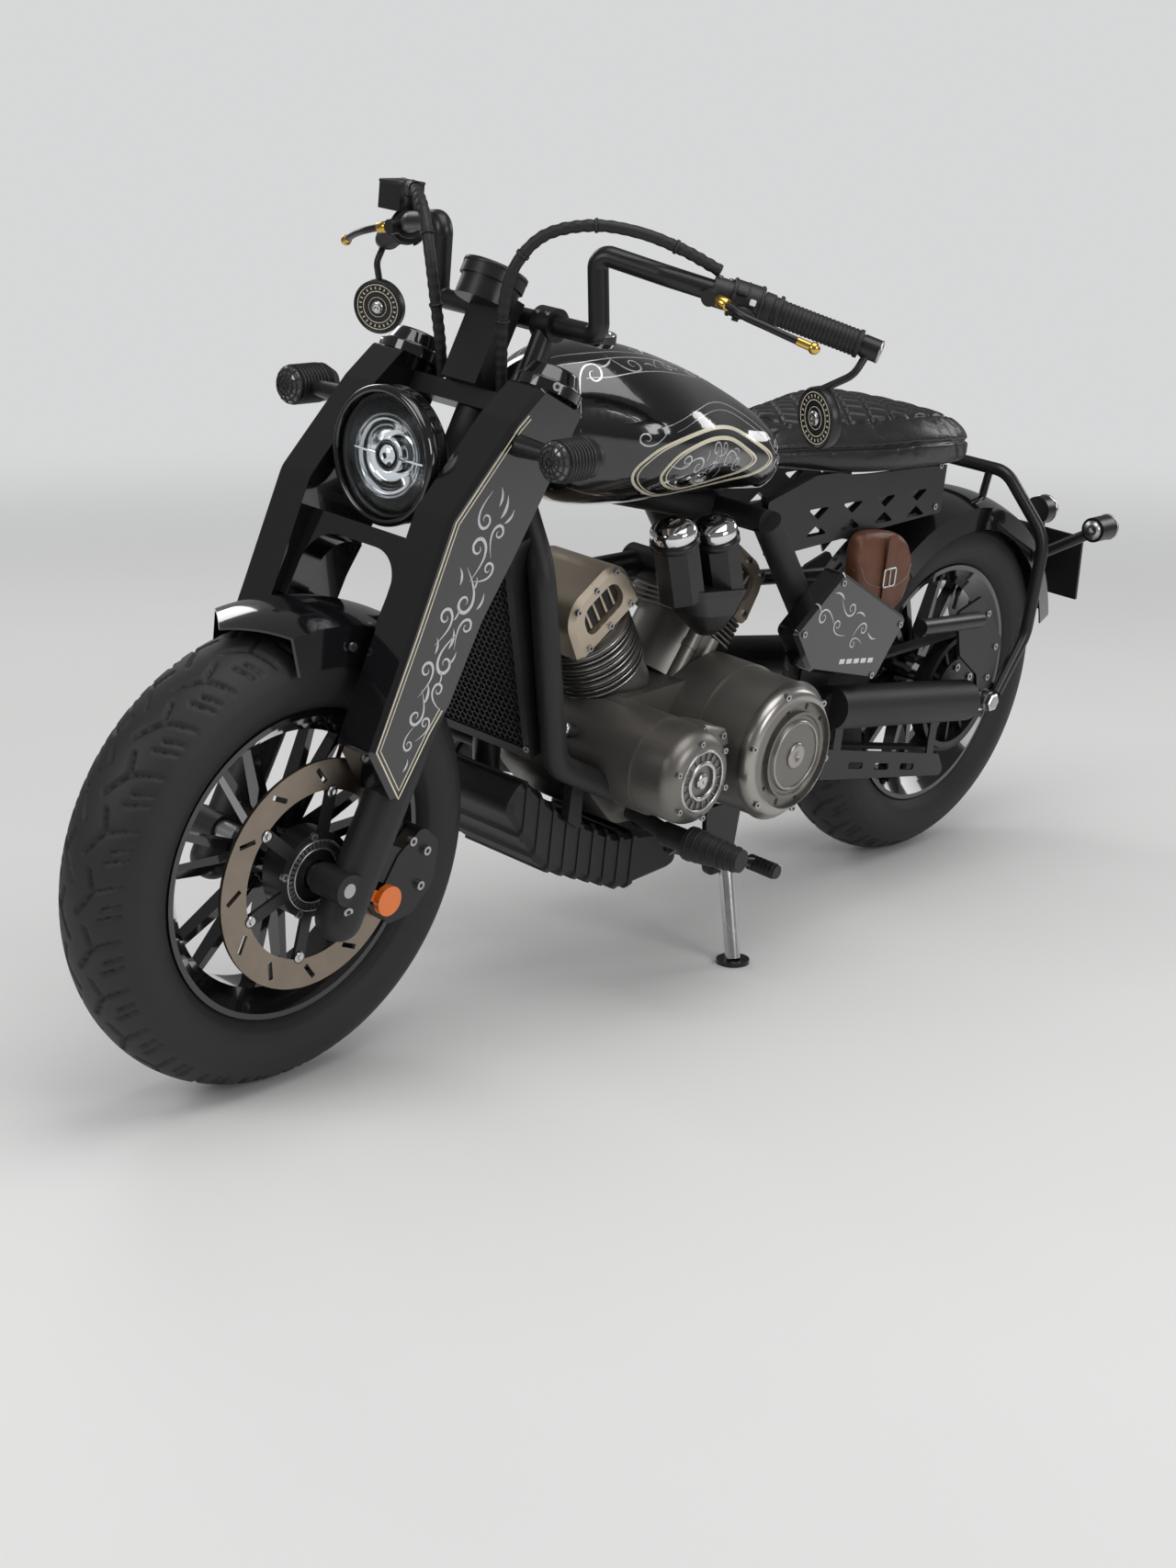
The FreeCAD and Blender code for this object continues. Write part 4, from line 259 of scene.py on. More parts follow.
paintTable = {
    "glossBlack": dict(color=(0.005, 0.005, 0.006), roughness=0.12, coat=1.0, coatRoughness=0.015, stain=0.15,
                       stainScale=3, roughSwing=0.03),
    "crinkleBlack": dict(color=(0.011, 0.011, 0.0115), roughness=0.5, grain=650, bump=0.55, stain=0.25),
    "satinBlack": dict(color=(0.009, 0.009, 0.0095), roughness=0.34, grain=900, bump=0.08, stain=0.2),
    "tyreRubber": dict(color=(0.014, 0.014, 0.014), roughness=0.6, grain=1200, bump=0.2, stain=0.35,
                       stainScale=14),
    "softRubber": dict(color=(0.011, 0.011, 0.011), roughness=0.55, grain=1500, bump=0.2, stain=0.2),
    "blackLeather": dict(color=(0.014, 0.0135, 0.013), roughness=0.34, grain=420, bump=0.45, stain=0.25,
                         kind="cells", stainScale=20),
    "caseGrey": dict(color=(0.235, 0.222, 0.205), metallic=0.8, roughness=0.4, grain=800, bump=0.12,
                     stain=0.12, stainScale=12),
    "champagne": dict(color=(0.62, 0.53, 0.42), metallic=0.85, roughness=0.34, grain=900, bump=0.06,
                      stain=0.08),
    "brightMetal": dict(color=(0.66, 0.66, 0.67), metallic=1.0, roughness=0.26, grain=700, bump=0.05,
                        stain=0.1, stainScale=30),
    "chrome": dict(color=(0.82, 0.82, 0.83), metallic=1.0, roughness=0.07, stain=0.03, roughSwing=0.02),
    "steel": dict(color=(0.5, 0.5, 0.51), metallic=1.0, roughness=0.32, grain=900, bump=0.08, stain=0.12),
    "bronzeDisc": dict(color=(0.30, 0.25, 0.205), metallic=1.0, roughness=0.34, grain=500, bump=0.08,
                       stain=0.22, stainScale=26),
    "darkPlastic": dict(color=(0.012, 0.012, 0.0125), roughness=0.42, grain=1400, bump=0.12, stain=0.15),
    "clearLens": dict(color=(0.95, 0.97, 0.98), roughness=0.03, transmission=1.0, ior=1.2, roughSwing=0.01),
    "amberLens": dict(color=(0.75, 0.16, 0.015), roughness=0.16, coat=0.6, stain=0.1, grain=500, bump=0.25,
                      kind="cells"),
    "brownLeather": dict(color=(0.115, 0.042, 0.02), roughness=0.44, grain=380, bump=0.4, stain=0.4,
                         kind="cells", stainScale=26),
    "mirrorGlass": dict(color=(0.86, 0.88, 0.9), metallic=1.0, roughness=0.02, roughSwing=0.005),
    "silverStripe": dict(color=(0.62, 0.62, 0.64), metallic=0.7, roughness=0.3, stain=0.08, coat=0.5),
    "creamStripe": dict(color=(0.68, 0.62, 0.48), roughness=0.3, stain=0.06, coat=0.8),
    "radiatorBlack": dict(color=(0.03, 0.03, 0.031), metallic=0.3, roughness=0.4, grain=240, bump=1.0,
                          kind="edges", stain=0.2),
    "redLens": dict(color=(0.25, 0.008, 0.006), roughness=0.12, coat=0.6, stain=0.1, grain=400, bump=0.2,
                    kind="cells"),
    # painted shade: the near-black colour stands in for the shadow inside the sunk bolt sockets
    "socketPaintedShade": dict(color=(0.012, 0.012, 0.012), roughness=0.6, grain=900, bump=0.1),
    "caseBright": dict(color=(0.44, 0.42, 0.395), metallic=0.95, roughness=0.3, grain=900, bump=0.06,
                       stain=0.1),
    "goldLever": dict(color=(0.75, 0.48, 0.12), metallic=1.0, roughness=0.24, grain=700, bump=0.05,
                      stain=0.1),
    "lampSilver": dict(color=(0.86, 0.87, 0.88), metallic=1.0, roughness=0.09, stain=0.03, roughSwing=0.02),
    "smokeLens": dict(color=(0.05, 0.05, 0.052), roughness=0.12, coat=1.0, stain=0.1),
    "stitchThread": dict(color=(0.045, 0.043, 0.042), roughness=0.6, grain=2400, bump=0.5),
    "dialGlass": dict(color=(0.01, 0.011, 0.013), roughness=0.05, coat=1.0, stain=0.1),
    "creamThread": dict(color=(0.42, 0.33, 0.2), roughness=0.6, grain=2400, bump=0.4),
    "paleMark": dict(color=(0.66, 0.66, 0.64), roughness=0.4, stain=0.05),
}
paints = {name: material(name, **values) for name, values in paintTable.items()}

nodePaint = {"front_tyre": "tyreRubber", "rear_tyre": "tyreRubber", "front_rim": "glossBlack",
             "rear_rim": "glossBlack", "front_disc": "bronzeDisc", "rear_disc": "bronzeDisc",
             "rear_pulley": "satinBlack", "fork_legs": "crinkleBlack", "fork_covers": "glossBlack",
             "fork_caps": "glossBlack", "yokes": "satinBlack", "fork_arch": "glossBlack",
             "headlight_shell": "glossBlack", "front_carrier": "satinBlack", "front_fender": "glossBlack",
             "front_axle": "steel", "front_caliper": "satinBlack", "front_reflector": "amberLens",
             "front_signals": "satinBlack", "handlebar": "satinBlack", "grips": "softRubber",
             "switch_pods": "darkPlastic", "levers": "satinBlack", "mirrors": "satinBlack",
             "risers": "satinBlack", "gauge": "satinBlack", "cables": "softRubber",
             "main_frame": "crinkleBlack", "cradle": "crinkleBlack", "engine_case": "caseGrey",
             "engine_covers": "caseGrey", "cylinders": "caseGrey", "head_covers": "champagne",
             "intake_cover": "satinBlack", "radiator_core": "radiatorBlack", "radiator_frame": "satinBlack",
             "belly_box": "crinkleBlack", "exhaust_pipes": "satinBlack", "fuel_tank": "glossBlack",
             "fuel_cap": "glossBlack", "brake_pedal": "satinBlack", "seat_plates": "satinBlack",
             "side_boxes": "glossBlack", "swingarm": "crinkleBlack", "rear_axle": "steel",
             "rear_fender": "glossBlack", "rear_hoop": "satinBlack", "plate_holder": "satinBlack",
             "rear_signals": "satinBlack", "drive_belt": "softRubber", "belt_guard": "satinBlack",
             "rider_pegs": "softRubber", "shift_lever": "satinBlack", "passenger_pegs": "satinBlack",
             "stand_leg": "brightMetal", "stand_foot": "satinBlack", "stand_bracket": "satinBlack",}
for nodeName, paint in nodePaint.items():
    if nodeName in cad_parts:
        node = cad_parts[nodeName]
        node.data.materials.clear()
        node.data.materials.append(paints[paint])
print("stage: finishes on the carried-over nodes")

# Camera and light

cameraSettings = {"place": (2.750, 2.212, 1.264), "heading": 221.38, "down": 15.69, "roll": 0.79,
                  "lens": 53.82}


def makeCamera():
    heading, down, roll = (math.radians(cameraSettings[key]) for key in ("heading", "down", "roll"))
    ahead = Vector((math.cos(heading) * math.cos(down), math.sin(heading) * math.cos(down), -math.sin(down)))
    right = ahead.cross(Vector((0, 0, 1))).normalized()
    up = right.cross(ahead)
    rightRolled = right * math.cos(roll) + up * math.sin(roll)
    upRolled = -right * math.sin(roll) + up * math.cos(roll)
    data = bpy.data.cameras.new("photoCamera")
    data.lens = cameraSettings["lens"]
    data.sensor_width = 36
    camera = bpy.data.objects.new("photoCamera", data)
    turn = Matrix((rightRolled, upRolled, -ahead)).transposed().to_4x4()
    camera.matrix_world = Matrix.Translation(Vector(cameraSettings["place"])) @ turn
    bpy.context.scene.collection.objects.link(camera)
    bpy.context.scene.camera = camera


studio = {"floorColor": (0.74, 0.74, 0.73), "world": 0.46, "seen": 0.70, "glossy": 0.17, "fadeFrom": 1.9,
          "fadeTo": 6.4, "floorHalf": 7.0}
lampTable = (
    # name, place, aim, size, watts
    ("topSoftbox", (0.4, 0.8, 3.4), (0, 0, 0.5), 2.4, 46),
    ("frontSoftbox", (3.4, -0.6, 2.2), (0.4, 0, 0.5), 1.3, 26),
    ("leftSoftbox", (0.2, 3.8, 1.9), (0, 0, 0.55), 1.5, 36),
    ("rightSoftbox", (-0.8, -3.4, 2.4), (0, 0, 0.5), 1.5, 22),
    ("rearSoftbox", (-3.6, 0.9, 1.9), (-0.3, 0, 0.5), 1.2, 18),
)


# Pale floor that fades into the backdrop with distance from the machine
def makeFloor():
    half = studio["floorHalf"]
    floor = newObject("studioFloor", [(-half, -half, 0), (half, -half, 0), (half, half, 0), (-half, half, 0)],
                      [(0, 1, 2, 3)], False)
    mat = material("paleFloor", studio["floorColor"], roughness=0.85, stain=0.015, stainScale=2)
    nodes, links = mat.node_tree.nodes, mat.node_tree.links
    place = nodes.new("ShaderNodeTexCoord")
    reach = nodes.new("ShaderNodeVectorMath")
    reach.operation = "LENGTH"
    links.new(place.outputs["Object"], reach.inputs[0])
    fade = nodes.new("ShaderNodeMapRange")
    fade.interpolation_type = "SMOOTHSTEP"
    fade.inputs["From Min"].default_value = studio["fadeFrom"]
    fade.inputs["From Max"].default_value = studio["fadeTo"]
    links.new(reach.outputs["Value"], fade.inputs["Value"])
    clear = nodes.new("ShaderNodeBsdfTransparent")
    mix = nodes.new("ShaderNodeMixShader")
    links.new(fade.outputs["Result"], mix.inputs["Fac"])
    links.new(nodes["Principled BSDF"].outputs["BSDF"], mix.inputs[1])
    links.new(clear.outputs["BSDF"], mix.inputs[2])
    links.new(mix.outputs["Shader"], nodes["Material Output"].inputs["Surface"])
    floor.data.materials.append(mat)


def makeStudio():
    world = bpy.data.worlds.new("studioWorld")
    bpy.context.scene.world = world
    world.use_nodes = True
    nodes, links = world.node_tree.nodes, world.node_tree.links
    nodes.clear()
    shades = []
    for level in (studio["world"], studio["glossy"], studio["seen"]):
        shade = nodes.new("ShaderNodeBackground")
        shade.inputs["Color"].default_value = (0.97, 0.975, 0.985, 1)
        shade.inputs["Strength"].default_value = level
        shades.append(shade)
    path = nodes.new("ShaderNodeLightPath")
    glossy = nodes.new("ShaderNodeMixShader")
    seen = nodes.new("ShaderNodeMixShader")
    either = nodes.new("ShaderNodeMath")
    either.operation = "MAXIMUM"
    out = nodes.new("ShaderNodeOutputWorld")
    links.new(path.outputs["Is Glossy Ray"], glossy.inputs["Fac"])
    links.new(shades[0].outputs[0], glossy.inputs[1])
    links.new(shades[1].outputs[0], glossy.inputs[2])
    links.new(path.outputs["Is Camera Ray"], either.inputs[0])
    links.new(path.outputs["Is Transmission Ray"], either.inputs[1])
    links.new(either.outputs[0], seen.inputs["Fac"])
    links.new(glossy.outputs[0], seen.inputs[1])
    links.new(shades[2].outputs[0], seen.inputs[2])
    links.new(seen.outputs[0], out.inputs["Surface"])
    for name, place, aim, size, watts in lampTable:
        data = bpy.data.lights.new(name, "AREA")
        data.size = size
        data.energy = watts
        lamp = bpy.data.objects.new(name, data)
        lamp.location = place
        lamp.rotation_euler = (Vector(aim) - Vector(place)).to_track_quat("-Z", "Y").to_euler()
        bpy.context.scene.collection.objects.link(lamp)
    makeFloor()


# Tyres: smooth casing with raised sidewall lines and a displaced tread

tyreSettings = {"outer": 323.0, "crown": 85.0, "crownHalf": 64.0, "sidewall": 262.0, "bead": 203.4,
                "lip": 217.0, "pitches": 26, "around": 624, "grooveDeep": 4.2, "grooveWide": 5.2,
                "lines": (232, 279), "lineRise": 0.9, "lineWide": 1.6}
# one pitch of the tread: (start along the tread 0..1, across mm), (end), for the left half
treadLines = (((0.00, 7), (0.42, 30)), ((0.42, 30), (0.62, 62)), ((0.42, 30), (0.78, 20)),
              ((0.95, 40), (1.12, 66)), ((0.16, 44), (0.30, 64)))


# (radius, along, treadShare) from the left bead over the crown to the right bead
def tyreProfile(halfWide, rimHalf):
    drop = tyreSettings["crown"] - math.sqrt(tyreSettings["crown"] ** 2 - tyreSettings["crownHalf"] ** 2)
    shoulder = Vector((tyreSettings["outer"] - drop, tyreSettings["crownHalf"]))
    lip = Vector((tyreSettings["lip"], rimHalf - 5))
    wide = Vector((tyreSettings["sidewall"], halfWide))
    side = []
    # circle through lip, widest point and shoulder
    ax, ay, bx, by, cx, cy = lip.x, lip.y, wide.x, wide.y, shoulder.x, shoulder.y
    d = 2 * (ax * (by - cy) + bx * (cy - ay) + cx * (ay - by))
    ux = ((ax ** 2 + ay ** 2) * (by - cy) + (bx ** 2 + by ** 2) * (cy - ay)
          + (cx ** 2 + cy ** 2) * (ay - by)) / d
    uy = ((ax ** 2 + ay ** 2) * (cx - bx) + (bx ** 2 + by ** 2) * (ax - cx)
          + (cx ** 2 + cy ** 2) * (bx - ax)) / d
    centre = Vector((ux, uy))
    radius = (lip - centre).length
    start = math.atan2(lip.y - centre.y, lip.x - centre.x)
    end = math.atan2(shoulder.y - centre.y, shoulder.x - centre.x)
    for step in range(25):
        angle = start + (end - start) * step / 24
        point = centre + Vector((math.cos(angle), math.sin(angle))) * radius
        # raised lines on the sidewall, the band between them left plain
        rise = 0.0
        for lineAt in tyreSettings["lines"]:
            rise += tyreSettings["lineRise"] * math.exp(-((point.x - lineAt) / tyreSettings["lineWide"]) ** 2)
        point += Vector((math.cos(angle), math.sin(angle))) * rise
        side.append((point.x, point.y, 0.0))
    crownCentre = tyreSettings["outer"] - tyreSettings["crown"]
    sweep = math.asin(tyreSettings["crownHalf"] / tyreSettings["crown"])
    tread = []
    for step in range(1, 48):
        angle = sweep * (1 - 2 * step / 48)
        tread.append((crownCentre + tyreSettings["crown"] * math.cos(angle),
                      tyreSettings["crown"] * math.sin(angle), 1.0))
    left = [(tyreSettings["bead"], rimHalf - 8, 0.0)] + side
    return left + tread + [(r, -a, t) for r, a, t in reversed(left)]


# Depth share of the tread grooves at arrays of pitch position 0..1 and millimetres across
def grooveDepth(around, across):
    depth = np.zeros_like(around)
    pitchLong = 2 * math.pi * tyreSettings["outer"] / tyreSettings["pitches"]
    for (u0, v0), (u1, v1) in treadLines:
        for whole in (-1, 0, 1):
            ax, ay = (u0 + whole) * pitchLong, v0
            bx, by = (u1 + whole) * pitchLong, v1
            px, py = around * pitchLong, across
            dx, dy = bx - ax, by - ay
            t = np.clip(((px - ax) * dx + (py - ay) * dy) / (dx * dx + dy * dy), 0, 1)
            gap = np.hypot(px - ax - t * dx, py - ay - t * dy)
            half = tyreSettings["grooveWide"] / 2
            depth = np.maximum(depth, np.clip((half + 1.2 - gap) / 2.4, 0, 1))
    return depth


def makeTyre(name, node, body, axle, halfWide, rimHalf):
    rows = tyreProfile(halfWide, rimHalf)
    count, steps = len(rows), tyreSettings["around"]
    radius = np.array([row[0] for row in rows])
    along = np.array([row[1] for row in rows])
    share = np.array([row[2] for row in rows])
    angle = np.linspace(0, 2 * math.pi, steps, endpoint=False)
    offset = np.where(along > 0, 0.0, 0.5)[None, :]
    pitch = (angle / (2 * math.pi) * tyreSettings["pitches"])[:, None] + offset
    deep = grooveDepth(pitch % 1.0, np.abs(along)[None, :] + 0 * pitch) * tyreSettings["grooveDeep"]
    edge = np.abs(along) > 52
    deep = deep * np.where(share > 0, 1.0, 0.0)[None, :] * np.where(edge, 0.7, 1.0)[None, :]
    crownCentre = tyreSettings["outer"] - tyreSettings["crown"]
    outX = (radius - crownCentre) / tyreSettings["crown"]
    outY = along / tyreSettings["crown"]
    r = radius[None, :] - deep * outX[None, :]
    a = along[None, :] - deep * outY[None, :]
    co = np.stack([r * np.cos(angle)[:, None], a, r * np.sin(angle)[:, None]], axis=-1).reshape(-1, 3)
    faces = []
    for step in range(steps):
        after = (step + 1) % steps
        for row in range(count):
            nextRow = (row + 1) % count
            faces.append((step * count + row, after * count + row, after * count + nextRow,
                          step * count + nextRow))
    tyre = newObject(name, co, faces)
    turnOutwards(tyre)
    smoothByAngle(tyre, 50)
    tyre.data.materials.append(paints["tyreRubber"])
    standOnBike(tyre, Matrix.Translation(axle))
    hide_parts(node)
    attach(tyre, body)


makeTyre("frontTyreTread", "front_tyre", "front_wheel", frontAxle, 75, 54)
makeTyre("rearTyreTread", "rear_tyre", "rear_wheel", rearAxle, 78, 60)
print("stage: tyres")

# Helpers for dressing pieces

def dress(obj, body, slotName, paint=None, *nodes):
    if paint:
        obj.data.materials.clear()
        obj.data.materials.append(paints[paint])
    if nodes:
        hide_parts(*nodes)
    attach(obj, body)
    return obj


# Bakes the place in, then dresses the piece
def mount(obj, place, body, slotName, paint=None, *nodes):
    return dress(standOnBike(obj, place), body, slotName, paint, *nodes)


# Stands a lathe's Y axis along a direction at a centre
def facing(centre, direction):
    turn = Vector((0, 1, 0)).rotation_difference(Vector(direction).normalized()).to_matrix().to_4x4()
    return Matrix.Translation(Vector(centre)) @ turn


# Corners of (ahead, up, radius) rounded by short arcs
def roundOutline(points, steps=6):
    out = []
    count = len(points)
    for index, (x, z, radius) in enumerate(points):
        here = Vector((x, z))
        before = Vector(points[index - 1][:2]) - here
        after = Vector(points[(index + 1) % count][:2]) - here
        if radius <= 0:
            out.append(here)
            continue
        half = before.angle(after) / 2
        reach = min(radius / math.tan(half), 0.49 * before.length, 0.49 * after.length)
        radius = reach * math.tan(half)
        start, end = here + before.normalized() * reach, here + after.normalized() * reach
        centre = here + (before.normalized() + after.normalized()).normalized() * (radius / math.sin(half))
        a, b = start - centre, end - centre
        for step in range(steps + 1):
            t = step / steps
            spot = (a * (1 - t) + b * t)
            out.append(centre + spot.normalized() * radius)
    return out


# A plate from its side outline, between two distances left of the middle
def slab(name, outline, low, high, bevel=0.8, segments=2):
    count = len(outline)
    verts = [(p[0], low, p[1]) for p in outline] + [(p[0], high, p[1]) for p in outline]
    faces = [tuple(range(count)), tuple(range(2 * count - 1, count - 1, -1))]
    faces += [(i, i + count, (i + 1) % count + count, (i + 1) % count) for i in range(count)]
    obj = turnOutwards(newObject(name, verts, faces, False))
    if bevel:
        mod = obj.modifiers.new("edge", "BEVEL")
        mod.width = bevel
        mod.segments = segments
        mod.limit_method = "ANGLE"
        mod.angle_limit = math.radians(40)
        applyModifiers(obj)
    return smoothByAngle(obj, 35)


# A flat closed band that lies on a surface
def ribbonParts(points, normals, widths, lift=0.25, thick=0.5):
    verts, faces = [], []
    count = len(points)
    for index in range(count):
        before, after = points[max(0, index - 1)], points[min(count - 1, index + 1)]
        along = (after - before).normalized()
        side = along.cross(normals[index]).normalized() * widths[index] / 2
        base = points[index] + normals[index] * (lift - thick)
        top = points[index] + normals[index] * lift
        verts += [base - side, top - side, top + side, base + side]
    for index in range(count - 1):
        a, b = index * 4, index * 4 + 4
        for corner in range(4):
            after = (corner + 1) % 4
            faces.append((a + corner, a + after, b + after, b + corner))
    faces += [(0, 3, 2, 1), tuple((count - 1) * 4 + corner for corner in range(4))]
    return verts, faces


def bandsObject(name, bands):
    verts, faces = [], []
    for bandVerts, bandFaces in bands:
        offset = len(verts)
        verts += bandVerts
        faces += [tuple(i + offset for i in face) for face in bandFaces]
    obj = newObject(name, verts, faces, False)
    work = bmesh.new()
    work.from_mesh(obj.data)
    bmesh.ops.recalc_face_normals(work, faces=work.faces)
    work.to_mesh(obj.data)
    work.free()
    return obj


# Raycast tree of a mesh, in the leaned machine's metres
def meshTree(mesh):
    return BVHTree.FromPolygons([v.co.copy() for v in mesh.vertices],
                                [tuple(p.vertices) for p in mesh.polygons])


# Drops (ahead, up) points onto a surface from one side; returns bike-frame points and normals
def layOn(tree, path, side, spread=None):
    inverse = toRow.inverted()
    points, normals = [], []
    for x, z in path:
        origin = toRow @ Vector((x, side * 420, z))
        direction = (toRow.to_3x3() @ Vector((0, -side, 0))).normalized()
        spot, normal, _, _ = tree.ray_cast(origin, direction)
        if spot is None:
            continue
        points.append(inverse @ spot)
        flat = (inverse.to_3x3() @ normal).normalized()
        normals.append(flat if flat.y * side > 0 else -flat)
    return points, normals


# A leaf stroke that runs out of a stem and closes in a spiral
def curl(size, turn, flip=1, at=(0, 0), tail=1.0):
    shape = [(-2.4 * tail, -0.5), (-1.5 * tail, 0.25), (-0.6, 0.75), (0.25, 0.8), (0.85, 0.35), (0.85, -0.25),
             (0.4, -0.6), (-0.1, -0.42), (-0.22, 0.02), (0.08, 0.26), (0.34, 0.1)]
    c, s = math.cos(math.radians(turn)), math.sin(math.radians(turn))
    out = []
    for x, z in shape:
        z *= flip
        out.append((at[0] + size * (x * c - z * s), at[1] + size * (x * s + z * c), 0))
    return [(p.x, p.y) for p in smoothPath(out, 5)]


# A short tapered stroke
def leaf(size, turn, at, bend=0.35):
    shape = [(-1, 0), (-0.4, bend * 0.7), (0.3, bend * 0.75), (1, 0)]
    c, s = math.cos(math.radians(turn)), math.sin(math.radians(turn))
    return [(p.x, p.y)
            for p in smoothPath([(at[0] + size * (x * c - z * s), at[1] + size * (x * s + z * c), 0)
                                 for x, z in shape], 4)]


def taper(count, most, least=0.35, peak=0.4):
    out = []
    for index in range(count):
        t = index / max(1, count - 1)
        share = t / peak if t < peak else (1 - t) / (1 - peak)
        out.append(least + (most - least) * math.sin(0.5 * math.pi * max(0.0, min(1.0, share))))
    return out


# Plates of one outline, turned about the Y axis
def fan(name, outline, low, high, bevel, angles):
    parts = []
    for angle in angles:
        part = slab(name, roundOutline(outline), low, high, bevel)
        part.data.transform(spin(angle, "Y"))
        parts.append(part)
    return parts


# Bolt spots on a circle about the Y axis
def boltCircle(radius, along, angles, way):
    turns = [math.radians(angle) for angle in angles]
    return [((radius * math.cos(turn), along, radius * math.sin(turn)), way) for turn in turns]


# Node trees that set a piece on marked points

def newTree(name, inputs):
    tree = bpy.data.node_groups.new(name, "GeometryNodeTree")
    for label, kind in (("Geometry", "Geometry"), *inputs):
        tree.interface.new_socket(label, in_out="INPUT", socket_type="NodeSocket" + kind)
    tree.interface.new_socket("Geometry", in_out="OUTPUT", socket_type="NodeSocketGeometry")
    return tree, tree.nodes.new("NodeGroupInput"), tree.nodes.new("NodeGroupOutput")


# Copies of a piece, turned by each point's own vector and made real
def copiesOnPoints(tree, start, piece, attribute, turnNode, turnSocket):
    nodes, links = tree.nodes, tree.links
    mark = nodes.new("GeometryNodeInputNamedAttribute")
    mark.data_type = "FLOAT_VECTOR"
    mark.inputs["Name"].default_value = attribute
    turn = nodes.new(turnNode)
    links.new(mark.outputs["Attribute"], turn.inputs[turnSocket])
    copies = nodes.new("GeometryNodeInstanceOnPoints")
    links.new(start.outputs["Geometry"], copies.inputs["Points"])
    links.new(piece, copies.inputs["Instance"])
    links.new(turn.outputs["Rotation"], copies.inputs["Rotation"])
    real = nodes.new("GeometryNodeRealizeInstances")
    links.new(copies.outputs["Instances"], real.inputs["Geometry"])
    return real.outputs["Geometry"], turn


def paintLast(tree, start, end, geometry, label):
    paint = tree.nodes.new("GeometryNodeSetMaterial")
    tree.links.new(geometry, paint.inputs["Geometry"])
    tree.links.new(start.outputs[label], paint.inputs["Material"])
    tree.links.new(paint.outputs["Geometry"], end.inputs["Geometry"])


# Runs a tree on points that carry a vector each; a smooth angle of None smooths everything
def runOnPoints(name, tree, spots, attribute, vectors, values, degrees, body):
    mesh = bpy.data.meshes.new(name)
    mesh.from_pydata([tuple(spot) for spot in spots], [], [])
    layer = mesh.attributes.new(attribute, "FLOAT_VECTOR", "POINT")
    for item, vector in zip(layer.data, vectors):
        item.vector = vector
    obj = bpy.data.objects.new(name, mesh)
    bpy.context.scene.collection.objects.link(obj)
    mod = obj.modifiers.new("copies", "NODES")
    mod.node_group = tree
    for item in tree.interface.items_tree:
        if item.in_out == "INPUT" and item.name in values:
            mod[item.identifier] = values[item.name]
    applyModifiers(obj)
    if degrees is None:
        obj.data.shade_smooth()
    else:
        smoothByAngle(obj, degrees)
    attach(obj, body)
    return obj


# Fastener heads: a head on every point, with a dark six-sided patch just proud of its top as painted shade
# for the sunk socket
def makeBoltTree():
    tree, start, end = newTree("socketHeads", (("Head radius", "Float"), ("Head tall", "Float"),
                                               ("Socket radius", "Float"), ("Head finish", "Material"),
                                               ("Socket painted shade", "Material")))
    nodes, links = tree.nodes, tree.links
    both = nodes.new("GeometryNodeJoinGeometry")
    # the second, six-sided cylinder is the socket: a dark patch of painted shade standing in for the shadow
    # in the sunk hole
    for sides, radiusLabel, lift, finish in ((20, "Head radius", 0.0, "Head finish"),
                                             (6, "Socket radius", 0.00012, "Socket painted shade")):
        head = nodes.new("GeometryNodeMeshCylinder")
        head.inputs["Vertices"].default_value = sides
        links.new(start.outputs[radiusLabel], head.inputs["Radius"])
        links.new(start.outputs["Head tall"], head.inputs["Depth"])
        move = nodes.new("GeometryNodeTransform")
        move.inputs["Translation"].default_value = (0, 0, lift)
        links.new(head.outputs["Mesh"], move.inputs["Geometry"])
        paint = nodes.new("GeometryNodeSetMaterial")
        links.new(move.outputs["Geometry"], paint.inputs["Geometry"])
        links.new(start.outputs[finish], paint.inputs["Material"])
        links.new(paint.outputs["Geometry"], both.inputs["Geometry"])
    real, align = copiesOnPoints(tree, start, both.outputs["Geometry"], "axis",
                                 "FunctionNodeAlignRotationToVector", "Vector")
    align.axis = "Z"
    links.new(real, end.inputs["Geometry"])
    return tree


boltTree = makeBoltTree()
socketShare = 0.52


# spots: ((ahead, left, up), (direction)) in bike millimetres or in the place's frame
# socket: the paint of the dark socket patch, painted shade for the hole in the head
def boltHeads(name, spots, radius, tall, body, paint, place=None, socket="socketPaintedShade"):
    matrix = toRow @ (place if place else Matrix.Identity(4))
    turn = matrix.to_3x3()
    values = {"Head radius": radius / 1000, "Head tall": tall / 1000,
              "Socket radius": radius * socketShare / 1000, "Head finish": paints[paint],
              "Socket painted shade": paints[socket]}
    return runOnPoints(name, boltTree, [matrix @ Vector(at) for at, _ in spots], "axis",
                       [(turn @ Vector(way)).normalized() for _, way in spots], values, 35, body)


# Headlight: lens shell, reflector bowl, bulb shield and trim ring

lampSettings = {"ahead": 1345.0, "up": 849.0, "glass": 82.0, "rise": 11.0, "bulbShield": 21.0}
lampPlace = shift(lampSettings["ahead"], 0, lampSettings["up"]) @ spin(-90, "Z")


def lampDome(radius, rise, lift, steps=14):
    ball = (radius ** 2 + rise ** 2) / (2 * rise)
    return [(radius * i / steps, lift + rise - ball + math.sqrt(ball ** 2 - (radius * i / steps) ** 2))
            for i in range(steps, -1, -1)]


